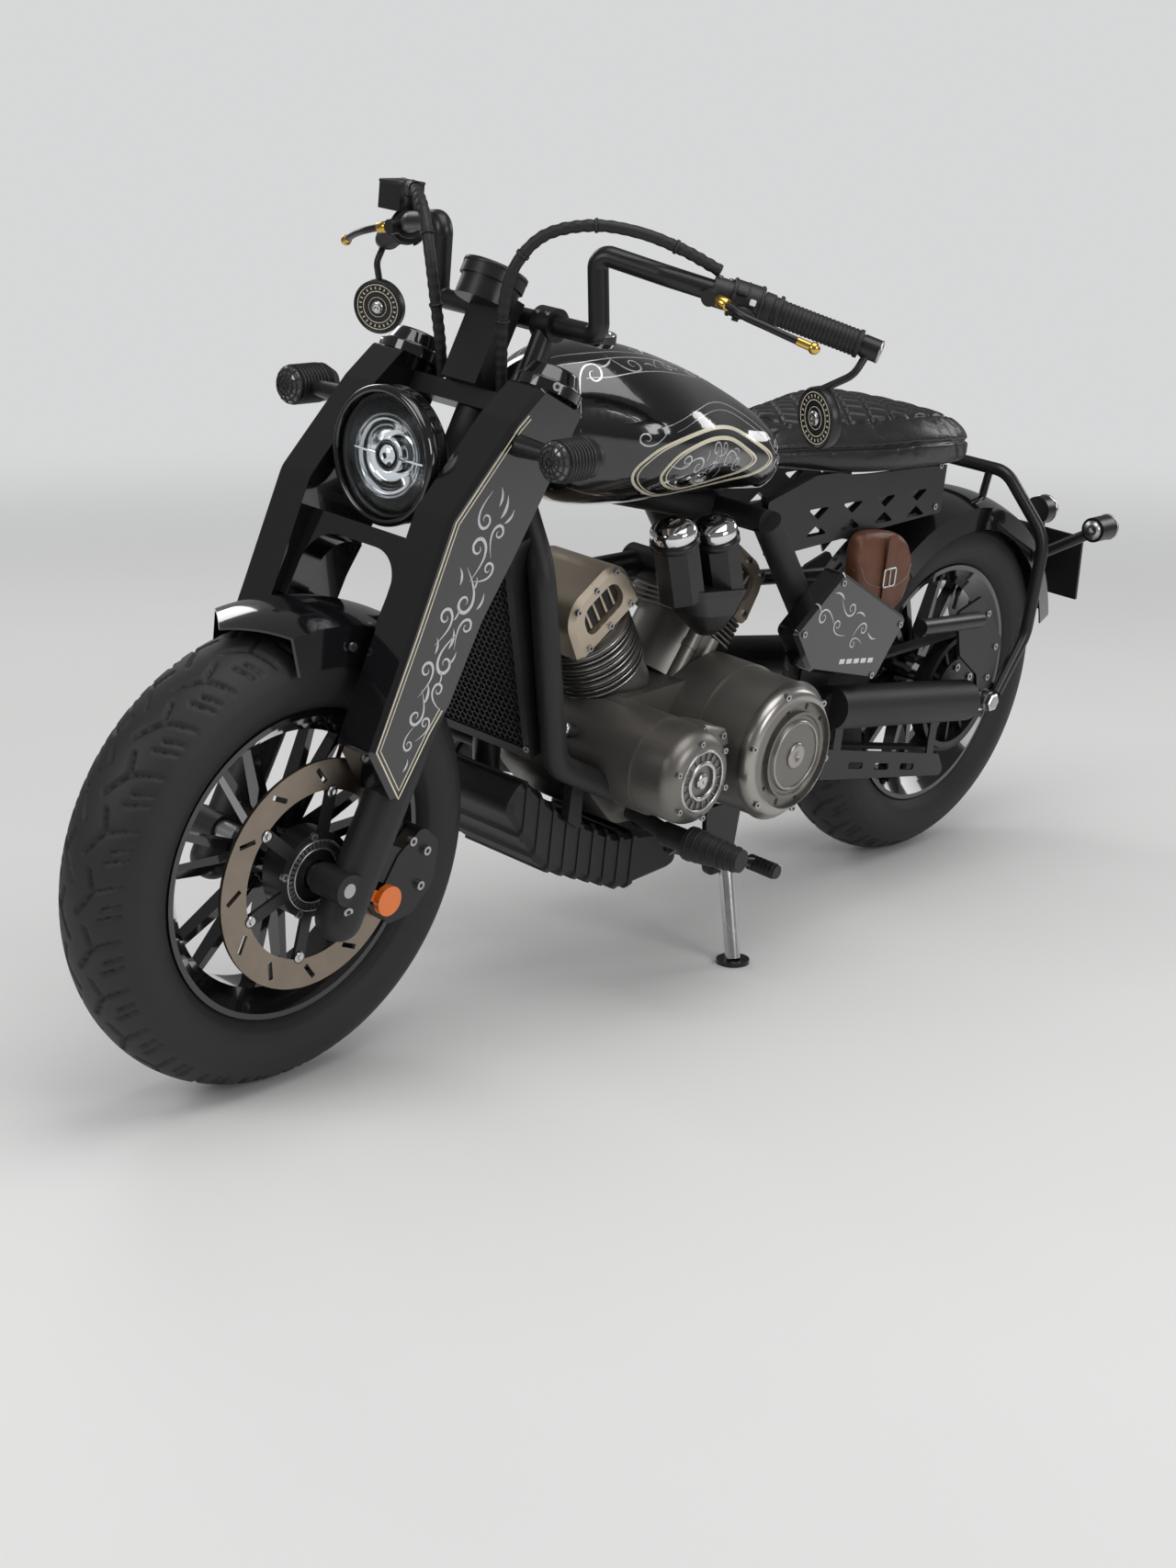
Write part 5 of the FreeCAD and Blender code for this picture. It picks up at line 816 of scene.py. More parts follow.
def makeHeadlight():
    glass, rise = lampSettings["glass"] - 0.4, lampSettings["rise"]
    outer = lampDome(glass, rise, -3)
    inner = [(r * 0.97, a - 2.2) for r, a in reversed(outer)]
    mount(lathe("headlampLens", outer + inner, 96), lampPlace, "fork", "lens_glass", "clearLens",
          "headlight_glass")
    bowl = [(73.5, -15.6)] + [(28 + 45.5 * (1 - (1 - t) ** 1.7), -47 + 31.2 * t ** 1.5)
                              for t in [1 - i / 16 for i in range(1, 17)]] + [(6, -47.2)]
    bowl += [(6, -47.8), (28, -47.8), (74, -15.9)]
    mount(lathe("headlampReflector", bowl, 96, True), lampPlace, "fork", "steel", "lampSilver")
    ringRows = [(82.6, -14), (81, -6), (74, -15.2), (70, -15.4), (70, -15.7), (82.6, -15.8)]
    mount(lathe("headlampInnerRing", ringRows, 96, True), lampPlace, "fork", "satin_black", "satinBlack")
    trim = [(82.8, 0.2), (83.5, 3.2), (87, 4.6), (91, 3.6), (93, 0.5), (93, -14), (92.2, -15), (92.2, 0),
            (83, 0)]
    mount(lathe("headlampTrim", trim, 120, True), lampPlace, "fork", "gloss_black", "glossBlack")
    r = lampSettings["bulbShield"]
    shield = [(r, -40), (r, -22), (r * 0.96, -17), (r * 0.7, -12.5), (r * 0.35, -10.6), (0.01, -10.2)]
    shield += [(0.01, -11.4), (r * 0.34, -11.8), (r * 0.66, -13.8), (r * 0.88, -18), (r - 1.4, -23),
               (r - 1.4, -40)]
    mount(lathe("headlampShield", shield, 64, True), lampPlace, "fork", "steel", "chrome")
    stays = []
    for side in (-1, 1):
        stays.append(slab("shieldStay",
                          roundOutline([(side * 20, -1.5, 0), (side * 62, -1.5, 0), (side * 62, 1.5, 0),
                                        (side * 20, 1.5, 0)]), -25, -17, 0.4))
    mount(joinPieces("headlampStays", stays), lampPlace, "fork", "steel", "lampSilver")


makeHeadlight()
print("stage: headlight")

# Fork covers: double cream pinstripe along the front edge and scrolls up the rear edge

coverSettings = {"outer": 164.0, "stripeAt": (0, 6.0), "stripeWide": (2.1, 1.5), "lift": 0.35,
                 "scrollShare": 1.35, "leafShare": 0.34}
coverStripe = [(56, 655), (66, 634), (110, 489), (98, 331), (90, 181), (18, 134), (9, 226), (2, 262)]


def offsetPath(points, inward):
    out = []
    for index, point in enumerate(points):
        here = Vector(point)
        before = (here - Vector(points[index - 1])).normalized() if index else None
        after = (Vector(points[index + 1]) - here).normalized() if index + 1 < len(points) else None
        if before is None:
            before = after
        if after is None:
            after = before
        middle = (before + after).normalized()
        normal = Vector((middle.y, -middle.x))
        stretch = 1 / max(0.4, middle.dot(before))
        out.append(here + normal * inward * stretch)
    return [(p.x, p.y) for p in out]


def denser(points, step=6):
    out = []
    for a, b in zip(points, points[1:]):
        a, b = Vector(a), Vector(b)
        count = max(1, int((b - a).length / step))
        out += [a.lerp(b, i / count) for i in range(count)]
    out.append(Vector(points[-1]))
    return [(p.x, p.y) for p in out]


coverScrolls = (
    # size, turn, flip, at, widest
    (17, 70, 1, (52, 470), 3.6), (15, 250, 1, (62, 512), 3.0), (13, 95, -1, (28, 500), 3.0),
    (12, 120, 1, (22, 452), 2.8), (18, 255, -1, (40, 405), 3.8), (15, 80, 1, (62, 372), 3.2),
    (13, 110, -1, (20, 372), 2.8), (17, 262, 1, (32, 322), 3.6), (14, 75, 1, (58, 300), 3.0),
    (12, 60, -1, (24, 282), 2.6), (14, 268, -1, (46, 244), 3.0), (10, 90, 1, (24, 236), 2.2),
    (10, 255, 1, (40, 206), 2.2),
)
coverLeaves = ((16, 85, (36, 536)), (13, 70, (50, 545)), (12, 110, (20, 528)), (14, 80, (38, 352)),
               (12, 95, (12, 412)), (12, 60, (66, 430)), (14, 75, (44, 274)), (9, 90, (30, 178)),
               (10, 105, (22, 330)), (11, 70, (60, 336)), (9, 80, (34, 430)), (9, 95, (46, 384)),
               (8, 70, (30, 300)))


# Bands in the fork frame, on the cover's flat outer face
def coverBands(side):
    level = coverSettings["outer"]
    groups = {"cream": [], "silver": []}

    def band(path, widths):
        points = [Vector((x, side * level, z)) for x, z in path]
        return ribbonParts(points, [Vector((0, side, 0))] * len(points), widths, coverSettings["lift"])

    for inward, wide in zip(coverSettings["stripeAt"], coverSettings["stripeWide"]):
        path = denser(offsetPath(coverStripe, inward))
        groups["cream"].append(band(path, [wide] * len(path)))
    for size, turn, flip, at, widest in coverScrolls:
        path = curl(size, turn, flip, at)
        groups["silver"].append(band(path, taper(len(path), widest * coverSettings["scrollShare"])))
    for size, turn, at in coverLeaves:
        path = leaf(size, turn, at)
        groups["silver"].append(band(path, taper(len(path), size * coverSettings["leafShare"])))
    return groups


for side, label in ((1, "Left"), (-1, "Right")):
    bands = coverBands(side)
    mount(bandsObject("coverStripes" + label, bands["cream"]), forkFrame, "fork", "gloss_black",
          "creamStripe")
    mount(bandsObject("coverScrolls" + label, bands["silver"]), forkFrame, "fork", "gloss_black",
          "silverStripe")
print("stage: fork cover stripes")

# Fork: bolts at the caps, the axle clamps and the caliper

capBolts = [((45 * 0.6, side * 128 + side * 45 * 0.8, 706), (0.6, side * 0.8, 0)) for side in (1, -1)]
boltHeads("forkCapBolts", capBolts, 6, 5, "fork", "steel", forkFrame)
lowBolts = [((16, side * 152, -26), (0.2, side, -0.3)) for side in (1, -1)]
lowBolts += [((-92, 118, 84), (0, 1, 0)), ((-140, 118, 30), (0, 1, 0)), ((-98, 118, -8), (0, 1, 0)),
             ((-126, 118, 78), (0, 1, 0))]
boltHeads("forkLowBolts", lowBolts, 6.5, 8, "fork", "steel", forkFrame)

# Front wheel: floating pins, slotted sensor ring, carrier screws, valve; rear wheel: pulley and disc bolts

wheelSettings = {"pins": 6, "pinRadius": 8.2}


def wheelPins(name, reach, plane, body, axle):
    parts = []
    for index in range(wheelSettings["pins"]):
        angle = math.radians(60 * index + 20)
        r = wheelSettings["pinRadius"]
        rows = [(0.01, -4.6), (r * 0.5, -4.6), (r, -3.8), (r, 3.8), (r * 0.5, 4.6), (r * 0.42, 3.6),
                (0.01, 3.6)]
        pin = lathe("pin", rows, 24)
        pin.data.transform(shift(reach * math.cos(angle), plane, -reach * math.sin(angle)))
        parts.append(pin)
    mount(joinPieces(name, parts), Matrix.Translation(axle), body, "steel", "brightMetal")


wheelPins("frontDiscPins", 115, 86, "front_wheel", frontAxle)
sensor = fan("tooth", [(38, -1.9, 0), (48, -2.4, 0), (48, 2.4, 0), (38, 1.9, 0)], 88.6, 90.6, 0,
             [9 * index for index in range(40)])
sensor.append(lathe("sensorBand", [(36, 88.5), (38.4, 88.5), (38.4, 90.8), (36, 90.8)], 72, True))
sensor.append(lathe("sensorEdge", [(47.6, 88.5), (50, 88.5), (50, 90.8), (47.6, 90.8)], 72, True))
mount(joinPieces("sensorRing", sensor), Matrix.Translation(frontAxle), "front_wheel", "steel", "steel")
frontPlace, rearPlace = Matrix.Translation(frontAxle), Matrix.Translation(rearAxle)
fiveFrom10, fiveFrom0 = [72 * i + 10 for i in range(5)], [72 * i for i in range(5)]
boltHeads("carrierScrews", boltCircle(56, 88.8, fiveFrom10, (0, 1, 0)), 5.5, 6, "front_wheel",
          "steel", frontPlace)
boltHeads("pulleyBolts", boltCircle(44, 104.5, fiveFrom10, (0, 1, 0)), 7, 6, "rear_wheel", "steel",
          rearPlace)
boltHeads("rearDiscBolts", boltCircle(46, -87, fiveFrom0, (0, -1, 0)), 6, 5, "rear_wheel", "steel",
          rearPlace)
for name, body, axle, y in (("frontValve", "front_wheel", frontAxle, 14),
                            ("rearValve", "rear_wheel", rearAxle, 16)):
    rows = [(0.01, 0), (5.5, 0), (5, 8), (3.4, 14), (3.2, 30), (3.8, 30.5), (3.8, 38), (0.01, 39)]
    valve = lathe(name, rows, 20)
    valve.data.transform(facing((182 * math.cos(2.2), y, 182 * math.sin(2.2)),
                                (-math.cos(2.2), 0.25, -math.sin(2.2))))
    mount(valve, Matrix.Translation(axle), body, "soft_rubber", "softRubber")
print("stage: wheel details")

# Tank: round badge of double rings with plain scrollwork, thin pinstripes above and behind it

badgeOuter = [(987, 830), (968, 858), (920, 875), (857, 879), (785, 868), (722, 843), (670, 812), (705, 790),
              (775, 776), (835, 769), (885, 769), (945, 785), (980, 806)]
badgeSettings = {"centre": (846.0, 824.0), "lift": 0.4, "ring": 4.2, "fine": 1.8, "leafShare": 0.24}
tankTree = meshTree(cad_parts["fuel_tank"].data)


def ringPath(scale, steps=10):
    cx, cz = badgeSettings["centre"]
    curve = closedCurve([(cx + (x - cx) * scale, cz + (z - cz) * scale) for x, z in badgeOuter], steps)
    out = [(spot.x, spot.y) for spot in curve]
    return out + [out[0]]


def tankBand(path, widths, side, lift=None):
    path = denser(path, 7)
    points, normals = layOn(tankTree, path, side)
    if len(points) < 3:
        return None
    if not hasattr(widths, "__len__"):
        widths = [widths] * len(points)
    else:
        widths = [widths[min(len(widths) - 1, int(i * len(widths) / len(points)))]
                  for i in range(len(points))]
    return ribbonParts(points, normals, widths, lift if lift else badgeSettings["lift"])


badgeScrolls = (
    (15, 10, 1, (800, 826), 3.2), (15, 190, -1, (892, 828), 3.2), (12, 30, -1, (770, 815), 2.6),
    (12, 165, 1, (922, 838), 2.6), (13, 60, 1, (846, 846), 2.8), (13, 240, 1, (848, 800), 2.8),
    (10, 340, 1, (872, 806), 2.2), (10, 150, 1, (824, 846), 2.2),
)
badgeLeaves = ((13, 0, (846, 824)), (13, 90, (846, 824)), (10, 45, (846, 824)), (10, 135, (846, 824)),
               (10, 20, (780, 836)), (10, 170, (915, 815)), (9, 100, (872, 842)), (9, 80, (818, 808)))

for side, label in ((1, "Left"), (-1, "Right")):
    cream, silver = [], []
    for scale, wide in ((1.0, "ring"), (0.955, "fine"), (0.74, "ring"), (0.69, "fine")):
        cream.append(tankBand(ringPath(scale), badgeSettings[wide], side))
    for size, turn, flip, at, widest in badgeScrolls:
        path = curl(size, turn, flip, at)
        silver.append(tankBand(path, taper(len(path), widest), side))
    for size, turn, at in badgeLeaves:
        path = leaf(size, turn, at)
        silver.append(tankBand(path, taper(len(path), size * badgeSettings["leafShare"]), side))
    # a fine row of dots between the two rings
    rings = ringPath(0.845, 6)
    for index in range(0, len(rings) - 1, 2):
        x, z = rings[index]
        silver.append(tankBand([(x - 1.6, z), (x + 1.6, z + 0.01)], 2.4, side))
    # long flourish above the knee recess and a stripe along the lower edge
    for path, widest in (
        (smoothPath([(670, 838, 0), (705, 868, 0), (760, 893, 0), (830, 905, 0), (900, 903, 0),
                     (960, 888, 0)], 5), 1.8),
        (smoothPath([(690, 842, 0), (716, 862, 0), (766, 885, 0), (830, 896, 0), (892, 895, 0),
                     (944, 881, 0)], 5), 1.0),
        (smoothPath([(660, 800, 0), (640, 790, 0), (620, 778, 0), (606, 764, 0)], 5), 2.6),
        (smoothPath([(664, 818, 0), (640, 812, 0), (614, 796, 0), (600, 776, 0)], 5), 1.6),
    ):
        flat = [(p.x, p.y) for p in path]
        silver.append(tankBand(flat, taper(len(flat), widest, 0.6), side))
    for size, turn, flip, at, widest in ((13, 200, 1, (652, 828), 2.6), (11, 165, -1, (640, 800), 2.2),
                                         (12, 350, -1, (985, 872), 2.2)):
        path = curl(size, turn, flip, at)
        silver.append(tankBand(path, taper(len(path), widest), side))
    mount(bandsObject("tankRings" + label, [b for b in cream if b]), None, "chassis", "gloss_black",
          "creamStripe")
    mount(bandsObject("tankScrolls" + label, [b for b in silver if b]), None, "chassis", "gloss_black",
          "silverStripe")
print("stage: tank badge and stripes")

# Side box scroll and its row of small pale blocks

boxSettings = {"face": 176.0, "lift": 0.35, "leafShare": 0.22, "blocks": 5, "pitch": 20, "rise": 2.6}
boxScrolls = ((15, 20, 1, (540, 556), 3.2), (14, 205, 1, (470, 560), 3.0), (12, 50, -1, (500, 535), 2.6),
              (12, 170, -1, (430, 520), 2.6), (10, 0, 1, (450, 500), 2.2))
boxLeaves = ((16, 28, (505, 585)), (14, 20, (440, 545)), (12, 40, (560, 575)), (14, 210, (400, 505)))
for side, label in ((1, "Left"), (-1, "Right")):
    strokes = [(curl(size, turn, flip, at), widest) for size, turn, flip, at, widest in boxScrolls]
    strokes += [(leaf(size, turn, at), size * boxSettings["leafShare"]) for size, turn, at in boxLeaves]
    bands = []
    for path, widest in strokes:
        points = [Vector((x, side * boxSettings["face"], z)) for x, z in path]
        bands.append(ribbonParts(points, [Vector((0, side, 0))] * len(path), taper(len(path), widest),
                                 boxSettings["lift"]))
    mount(bandsObject("boxScroll" + label, bands), None, "chassis", "gloss_black", "silverStripe")
    blocks = []
    for index in range(boxSettings["blocks"]):
        x, z = 396 + index * boxSettings["pitch"], 463 + index * boxSettings["rise"]
        outline = [(x - 7, z - 4.4, 1), (x + 7, z - 3, 1), (x + 5, z + 4.6, 1), (x - 9, z + 3.2, 1)]
        blocks.append(slab("block", roundOutline(outline), side * 176 - 1, side * 176 + 0.7, 0.2))
    mount(joinPieces("boxBlocks" + label, blocks), None, "chassis", "gloss_black", "paleMark")

# Engine: bright fin edges, dark recess panels, bolt heads, cover rings

engineSettings = {"crank": (788, 0, 366), "vee": 34, "finFirst": 148.0, "finPitch": 11.0, "finThick": 3.0,
                  "finRadius": 76.0}
crankPlace = Matrix.Translation(Vector(engineSettings["crank"]))
headPlaces = {"front": crankPlace @ spin(engineSettings["vee"], "Y"),
              "rear": crankPlace @ spin(-engineSettings["vee"], "Y")}
for label, place in headPlaces.items():
    edges = []
    if label == "front":
        for index in range(8):
            low = engineSettings["finFirst"] + index * engineSettings["finPitch"]
            low -= engineSettings["finThick"] / 2
            r = engineSettings["finRadius"]
            rows = [(r - 0.6, low + 0.2), (r + 0.35, low + 0.5), (r + 0.35, low + 2.5), (r - 0.6, low + 2.8)]
            ring = lathe("ring", rows, 96, True)
            ring.data.transform(spin(90, "X"))
            edges.append(ring)
        mount(joinPieces("finEdges", edges), place, "chassis", "case_grey", "brightMetal")
    for side in (1, -1):
        low, high = sorted((side * 58.2, side * 59.0))
        panel = slab("headPanel",
                     roundOutline([(-44, 262, 5), (44, 262, 5), (42, 290, 4), (38, 309, 5), (-38, 309, 5),
                                   (-42, 290, 4)]), low, high, 0.3)
        mount(panel, place, "chassis", "satin_black", "crinkleBlack")
        ribs = []
        for x in (-27, -9, 9, 27):
            low, high = sorted((side * 59.0, side * 63.0))
            ribs.append(slab("rib", roundOutline([(x - 2.4, 267, 1.2), (x + 2.4, 267, 1.2), (x + 2, 303, 1.2),
                                                  (x - 2, 303, 1.2)]), low, high, 0.8))
        mount(joinPieces("headRibs", ribs), place, "chassis", "head_champagne", "champagne")
    spots = []
    for side in (1, -1):
        spots += [((x, side * 71.2, z), (0, side, 0))
                  for x, z in ((-50, 250), (50, 250), (-45, 317), (45, 317), (0, 250), (0, 319))]
    boltHeads("headBolts" + label, spots, 5.2, 4.5, "chassis", "steel", place)

drumPlace = shift(689, 0, 383)
rings = [lathe("ring", [(108.3, 233), (110, 234), (84.6, 260.6), (84, 259), (84, 256.6)], 128, True)]
mount(joinPieces("drumBevel", rings), drumPlace, "chassis", "case_grey", "caseBright")
slots = fan("slot", [(71, -3.4, 3), (81, -3.4, 3), (81, 3.4, 3), (71, 3.4, 3)], 250.8, 252.7, 0.3,
            [36 * index for index in range(10)])
mount(joinPieces("drumSlots", slots), drumPlace, "chassis", "satin_black", "satinBlack")
drumRing = lathe("drumRing", [(54.6, 259.6), (54.6, 261.2), (50.4, 261.8), (50.4, 259.6)], 96, True)
drumHub = lathe("drumHub", [(0.01, 259.6), (20, 259.6), (20, 262.4), (17, 263.6), (0.01, 263.9)], 64, True)
mount(joinPieces("drumCentre", [drumRing, drumHub]), drumPlace, "chassis", "case_grey", "caseBright")
boltHeads("drumBolts", boltCircle(97, 248, range(15, 375, 60), (0.22, 1, 0)), 5, 10, "chassis",
          "steel", drumPlace)

roundPlace = shift(897, 0, 380)
roundRings = [lathe("ring", [(r0, 243.4), (r0, top), (r1, top), (r1, 243.4)], 96, True)
              for r0, r1, top in ((47.6, 44.2, 249.0), (30.4, 24.2, 249.2))]
mount(joinPieces("alternatorRings", roundRings), roundPlace, "chassis", "case_grey", "brightMetal")
hubRows = [(0.01, 243), (11.6, 243), (12.2, 247), (11, 249.4), (6, 250.2), (0.01, 250.3)]
mount(lathe("alternatorHub", hubRows, 48, True), roundPlace, "chassis", "steel", "brightMetal")
fanRibs = fan("rib", [(31.5, -1.1, 0), (43.5, -1.4, 0), (43.5, 1.4, 0), (31.5, 1.1, 0)], 244.4, 247.4, 0.3,
              [20 * index for index in range(18)])
mount(joinPieces("alternatorRibs", fanRibs), roundPlace, "chassis", "case_grey", "caseGrey")
boltHeads("alternatorBolts", boltCircle(60, 247.6, range(20, 380, 60), (0, 1, 0)), 4.6, 4, "chassis",
          "steel", roundPlace)
lugBolts = [((868, 218.5, 446), (0, 1, 0)), ((822, 218.5, 428), (0, 1, 0))]
boltHeads("lugBolts", lugBolts, 5.5, 6, "chassis", "steel")
clutchPlace = drumPlace
clutchRings = [lathe("ring", [(r0, -201), (r0, -204.6), (r1, -204.6), (r1, -201)], 96, True)
               for r0, r1 in ((92, 86), (48, 43))]
mount(joinPieces("clutchRings", clutchRings), clutchPlace, "chassis", "case_grey", "brightMetal")
clutchRibs = fan("rib", [(50, -1.4, 0), (84, -1.8, 0), (84, 1.8, 0), (50, 1.4, 0)], -203.8, -201, 0.3,
                 [15 * index for index in range(24)])
mount(joinPieces("clutchRibs", clutchRibs), clutchPlace, "chassis", "case_grey", "caseGrey")
boltHeads("clutchBolts", boltCircle(97, -203, range(10, 370, 60), (0, -1, 0)), 5, 5, "chassis",
          "steel", clutchPlace)
print("stage: engine details")

# Intake: bright domes and the bands round them

lobeSettings = {"tilt": 20, "radius": 34.5, "spots": ((833, 640), (737, 632)), "left": 114}
for x, z in lobeSettings["spots"]:
    axis = (math.sin(math.radians(lobeSettings["tilt"])), 0, math.cos(math.radians(lobeSettings["tilt"])))
    r = lobeSettings["radius"]
    dome = [(r, 60), (r, 84)] + [(r * math.cos(t), 84 + 17 * math.sin(t)) for t in
                                 [math.pi / 2 * k / 12 for k in range(1, 12)]] + [(0.01, 101)]
    dome += [(0.01, 98), (r - 2, 82), (r - 2, 60)]
    mount(lathe("intakeDome", dome, 72, True), facing((x, lobeSettings["left"], z), axis), "chassis", "steel",
          "chrome")
    band = standOnBike(lathe("intakeBand", [(r + 0.1, 60), (r + 2.1, 61), (r + 2.1, 71), (r + 0.1, 72)], 72,
                             True), facing((x, lobeSettings["left"], z), axis))
    dress(band, "chassis", "satin_black", "satinBlack")
print("stage: intake")

# Seat: a simulated pad from the solid's own shape, then sewn channels and stitches

seatSettings = {"shrink": 0.0030, "voxel": 0.005, "pressure": 4.0, "cap": 0.0048, "diamond": 38.0,
                "border": 40.0, "seamDeep": 0.0056, "seamWide": 3.0, "bandUp": 8.0, "stitchStep": 6.5,
                "stitchLong": 4.4, "stitchWide": 0.9}
# ahead, middle height, half width, up, down and side radius of the seat's own sections
seatRows = ((598, 788, 58, 34, 30, 22), (500, 792, 98, 42, 38, 32), (390, 790, 130, 50, 48, 40),
            (280, 792, 148, 54, 54, 44), (170, 786, 144, 46, 50, 42), (84, 772, 114, 38, 40, 32),
            (34, 758, 66, 22, 22, 16))


def seatAt(ahead, column):
    rows = sorted(seatRows)
    return float(np.interp(ahead, [row[0] for row in rows], [row[column] for row in rows]))


# The node's shape as a cloth-filled pad, in upright metres
def softPad(nodeName):
    work = bmesh.new()
    work.from_mesh(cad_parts[nodeName].data)
    bmesh.ops.remove_doubles(work, verts=work.verts, dist=1e-5)
    bmesh.ops.recalc_face_normals(work, faces=work.faces)
    work.transform(Matrix.Scale(0.001, 4) @ toRow.inverted())
    mesh = bpy.data.meshes.new(nodeName + "Pad")
    work.to_mesh(mesh)
    work.free()
    pad = bpy.data.objects.new(nodeName + "Pad", mesh)
    bpy.context.scene.collection.objects.link(pad)
    mod = pad.modifiers.new("voxels", "REMESH")
    mod.mode = "VOXEL"
    mod.voxel_size = seatSettings["voxel"]
    mod.use_smooth_shade = True
    applyModifiers(pad)
    for vertex, normal in zip(pad.data.vertices, [v.normal.copy() for v in pad.data.vertices]):
        vertex.co -= normal * seatSettings["shrink"]
    mod = pad.modifiers.new("settle", "SMOOTH")
    mod.factor, mod.iterations = 0.5, 4
    applyModifiers(pad)
    start = np.array([v.co[:] for v in pad.data.vertices])
    low = pad.vertex_groups.new(name="under")
    low.add([v.index for v in pad.data.vertices if v.normal.z < -0.6], 1.0, "REPLACE")
    cloth = pad.modifiers.new("fill", "CLOTH")
    cloth.settings.quality = 5
    cloth.settings.mass = 0.3
    cloth.settings.use_pressure = True
    cloth.settings.uniform_pressure_force = seatSettings["pressure"]
    cloth.settings.effector_weights.gravity = 0
    cloth.settings.vertex_group_mass = "under"
    cloth.settings.tension_stiffness = 12
    cloth.settings.compression_stiffness = 12
    cloth.settings.shear_stiffness = 4
    cloth.settings.bending_stiffness = 0.6
    cloth.point_cache.frame_start = 1
    cloth.point_cache.frame_end = 20
    scene = bpy.context.scene
    for number in range(1, 21):
        scene.frame_set(number)
    graph = bpy.context.evaluated_depsgraph_get()
    swollen = pad.evaluated_get(graph).to_mesh()
    end = np.array([v.co[:] for v in swollen.vertices])
    pad.evaluated_get(graph).to_mesh_clear()
    pad.modifiers.clear()
    pad.vertex_groups.clear()
    move = end - start
    length = np.linalg.norm(move, axis=1)
    cap = seatSettings["cap"]
    move *= np.minimum(1, cap / np.maximum(length, 1e-9))[:, None]
    for vertex, spot in zip(pad.data.vertices, start + move):
        vertex.co = spot
    pad.data.update()
    scene.frame_set(1)
    return pad


# Distance in millimetres to the nearest line of the two slanting families
def diamondGap(x, y, pitch):
    slants = (x + y) / math.sqrt(2), (x - y) / math.sqrt(2)
    return np.minimum(*[np.abs((v / pitch + 0.5) % 1.0 - 0.5) * pitch for v in slants])


# Depth of the sewn channels at arrays of upright millimetres
def seatSeams(points, normals):
    x, y, z = points.T
    rows = sorted(seatRows)
    ahead = [row[0] for row in rows]
    half = np.interp(x, ahead, [row[2] for row in rows])
    middle = np.interp(x, ahead, [row[1] for row in rows])
    inset = half - np.abs(y)
    reach = np.minimum(inset, np.minimum(560 - x, x - 78))
    border = seatSettings["border"]
    top = np.clip((normals[:, 2] - 0.25) / 0.2, 0, 1)
    wide = seatSettings["seamWide"]
    gap = diamondGap(x, y, seatSettings["diamond"])
    inside = np.clip((reach - border) / 3.0, 0, 1)
    deep = np.exp(-(gap / wide) ** 2) * inside
    puff = (1 - np.exp(-(gap / 9.0) ** 2)) * inside
    edge = np.exp(-((reach - border) / wide) ** 2)
    deep = np.maximum(deep, edge) * top
    side = np.clip((0.75 - np.abs(normals[:, 2])) / 0.2, 0, 1)
    line = middle + seatSettings["bandUp"]
    band = np.exp(-((z - line) / wide) ** 2) * side
    slant = np.zeros_like(x)
    for start in (150, 112):
        slant = np.maximum(slant, np.exp(-((x - start - (z - 760) * 0.8) / wide) ** 2) * side * (z < line))
    return np.maximum(deep, np.maximum(band, slant)), puff * top


def makeSeat():
    pad = softPad("seat")
    mod = pad.modifiers.new("finer", "SUBSURF")
    mod.levels = mod.render_levels = 1
    applyModifiers(pad)
    mesh = pad.data
    points = np.empty(len(mesh.vertices) * 3)
    mesh.vertices.foreach_get("co", points)
    points = points.reshape(-1, 3) * 1000
    normals = np.array([v.normal[:] for v in mesh.vertices])
    deep, puff = seatSeams(points, normals)
    moved = points + normals * (puff * 1.6 - deep * seatSettings["seamDeep"] * 1000)[:, None]
    mesh.vertices.foreach_set("co", moved.ravel())
    mesh.update()
    mesh.shade_smooth()
    standOnBike(pad)
    pad.name = "seatCushion"
    dress(pad, "chassis", "black_leather", "blackLeather", "seat")
    return pad


# Top seams as lists of (ahead, left) in upright millimetres
def stitchPaths():
    pitch, border = seatSettings["diamond"], seatSettings["border"]

    def within(x, y):
        return min(seatAt(x, 2) - abs(y), 560 - x, x - 78) - border > 2 if 34 < x < 598 else False

    paths = []
    for family in (1, -1):
        for index in range(-2, 24):
            path = []
            for step in range(-120, 120):
                along = step * seatSettings["stitchStep"]
                x = (index * pitch * math.sqrt(2) / 2) + along / math.sqrt(2)
                y = family * ((index * pitch * math.sqrt(2) / 2) - along / math.sqrt(2))
                if within(x, y):
                    path.append((x, y))
            if len(path) > 1:
                paths.append(path)
    edge = []
    for side in (1, -1):
        half = []
        for step in range(0, 61):
            x = 120 + step * seatSettings["stitchStep"]
            if x > 516:
                break
            half.append((x, side * (seatAt(x, 2) - border)))
        edge.append(half)
    return paths + edge


def makeStitchTree():
    tree, start, end = newTree("sewnStitches", (("Stitch long", "Float"), ("Stitch wide", "Float"),
                                                ("Thread", "Material")))
    nodes, links = tree.nodes, tree.links
    ball = nodes.new("GeometryNodeMeshUVSphere")
    ball.inputs["Segments"].default_value = 6
    ball.inputs["Rings"].default_value = 4
    ball.inputs["Radius"].default_value = 0.5
    size = nodes.new("ShaderNodeCombineXYZ")
    for label, along in (("Stitch wide", "X"), ("Stitch wide", "Y"), ("Stitch long", "Z")):
        links.new(start.outputs[label], size.inputs[along])
    scale = nodes.new("GeometryNodeTransform")
    links.new(ball.outputs["Mesh"], scale.inputs["Geometry"])
    links.new(size.outputs["Vector"], scale.inputs["Scale"])
    real, align = copiesOnPoints(tree, start, scale.outputs["Geometry"], "axis",
                                 "FunctionNodeAlignRotationToVector", "Vector")
    align.axis = "Z"
    paintLast(tree, start, end, real, "Thread")
    return tree


stitchTree = makeStitchTree()


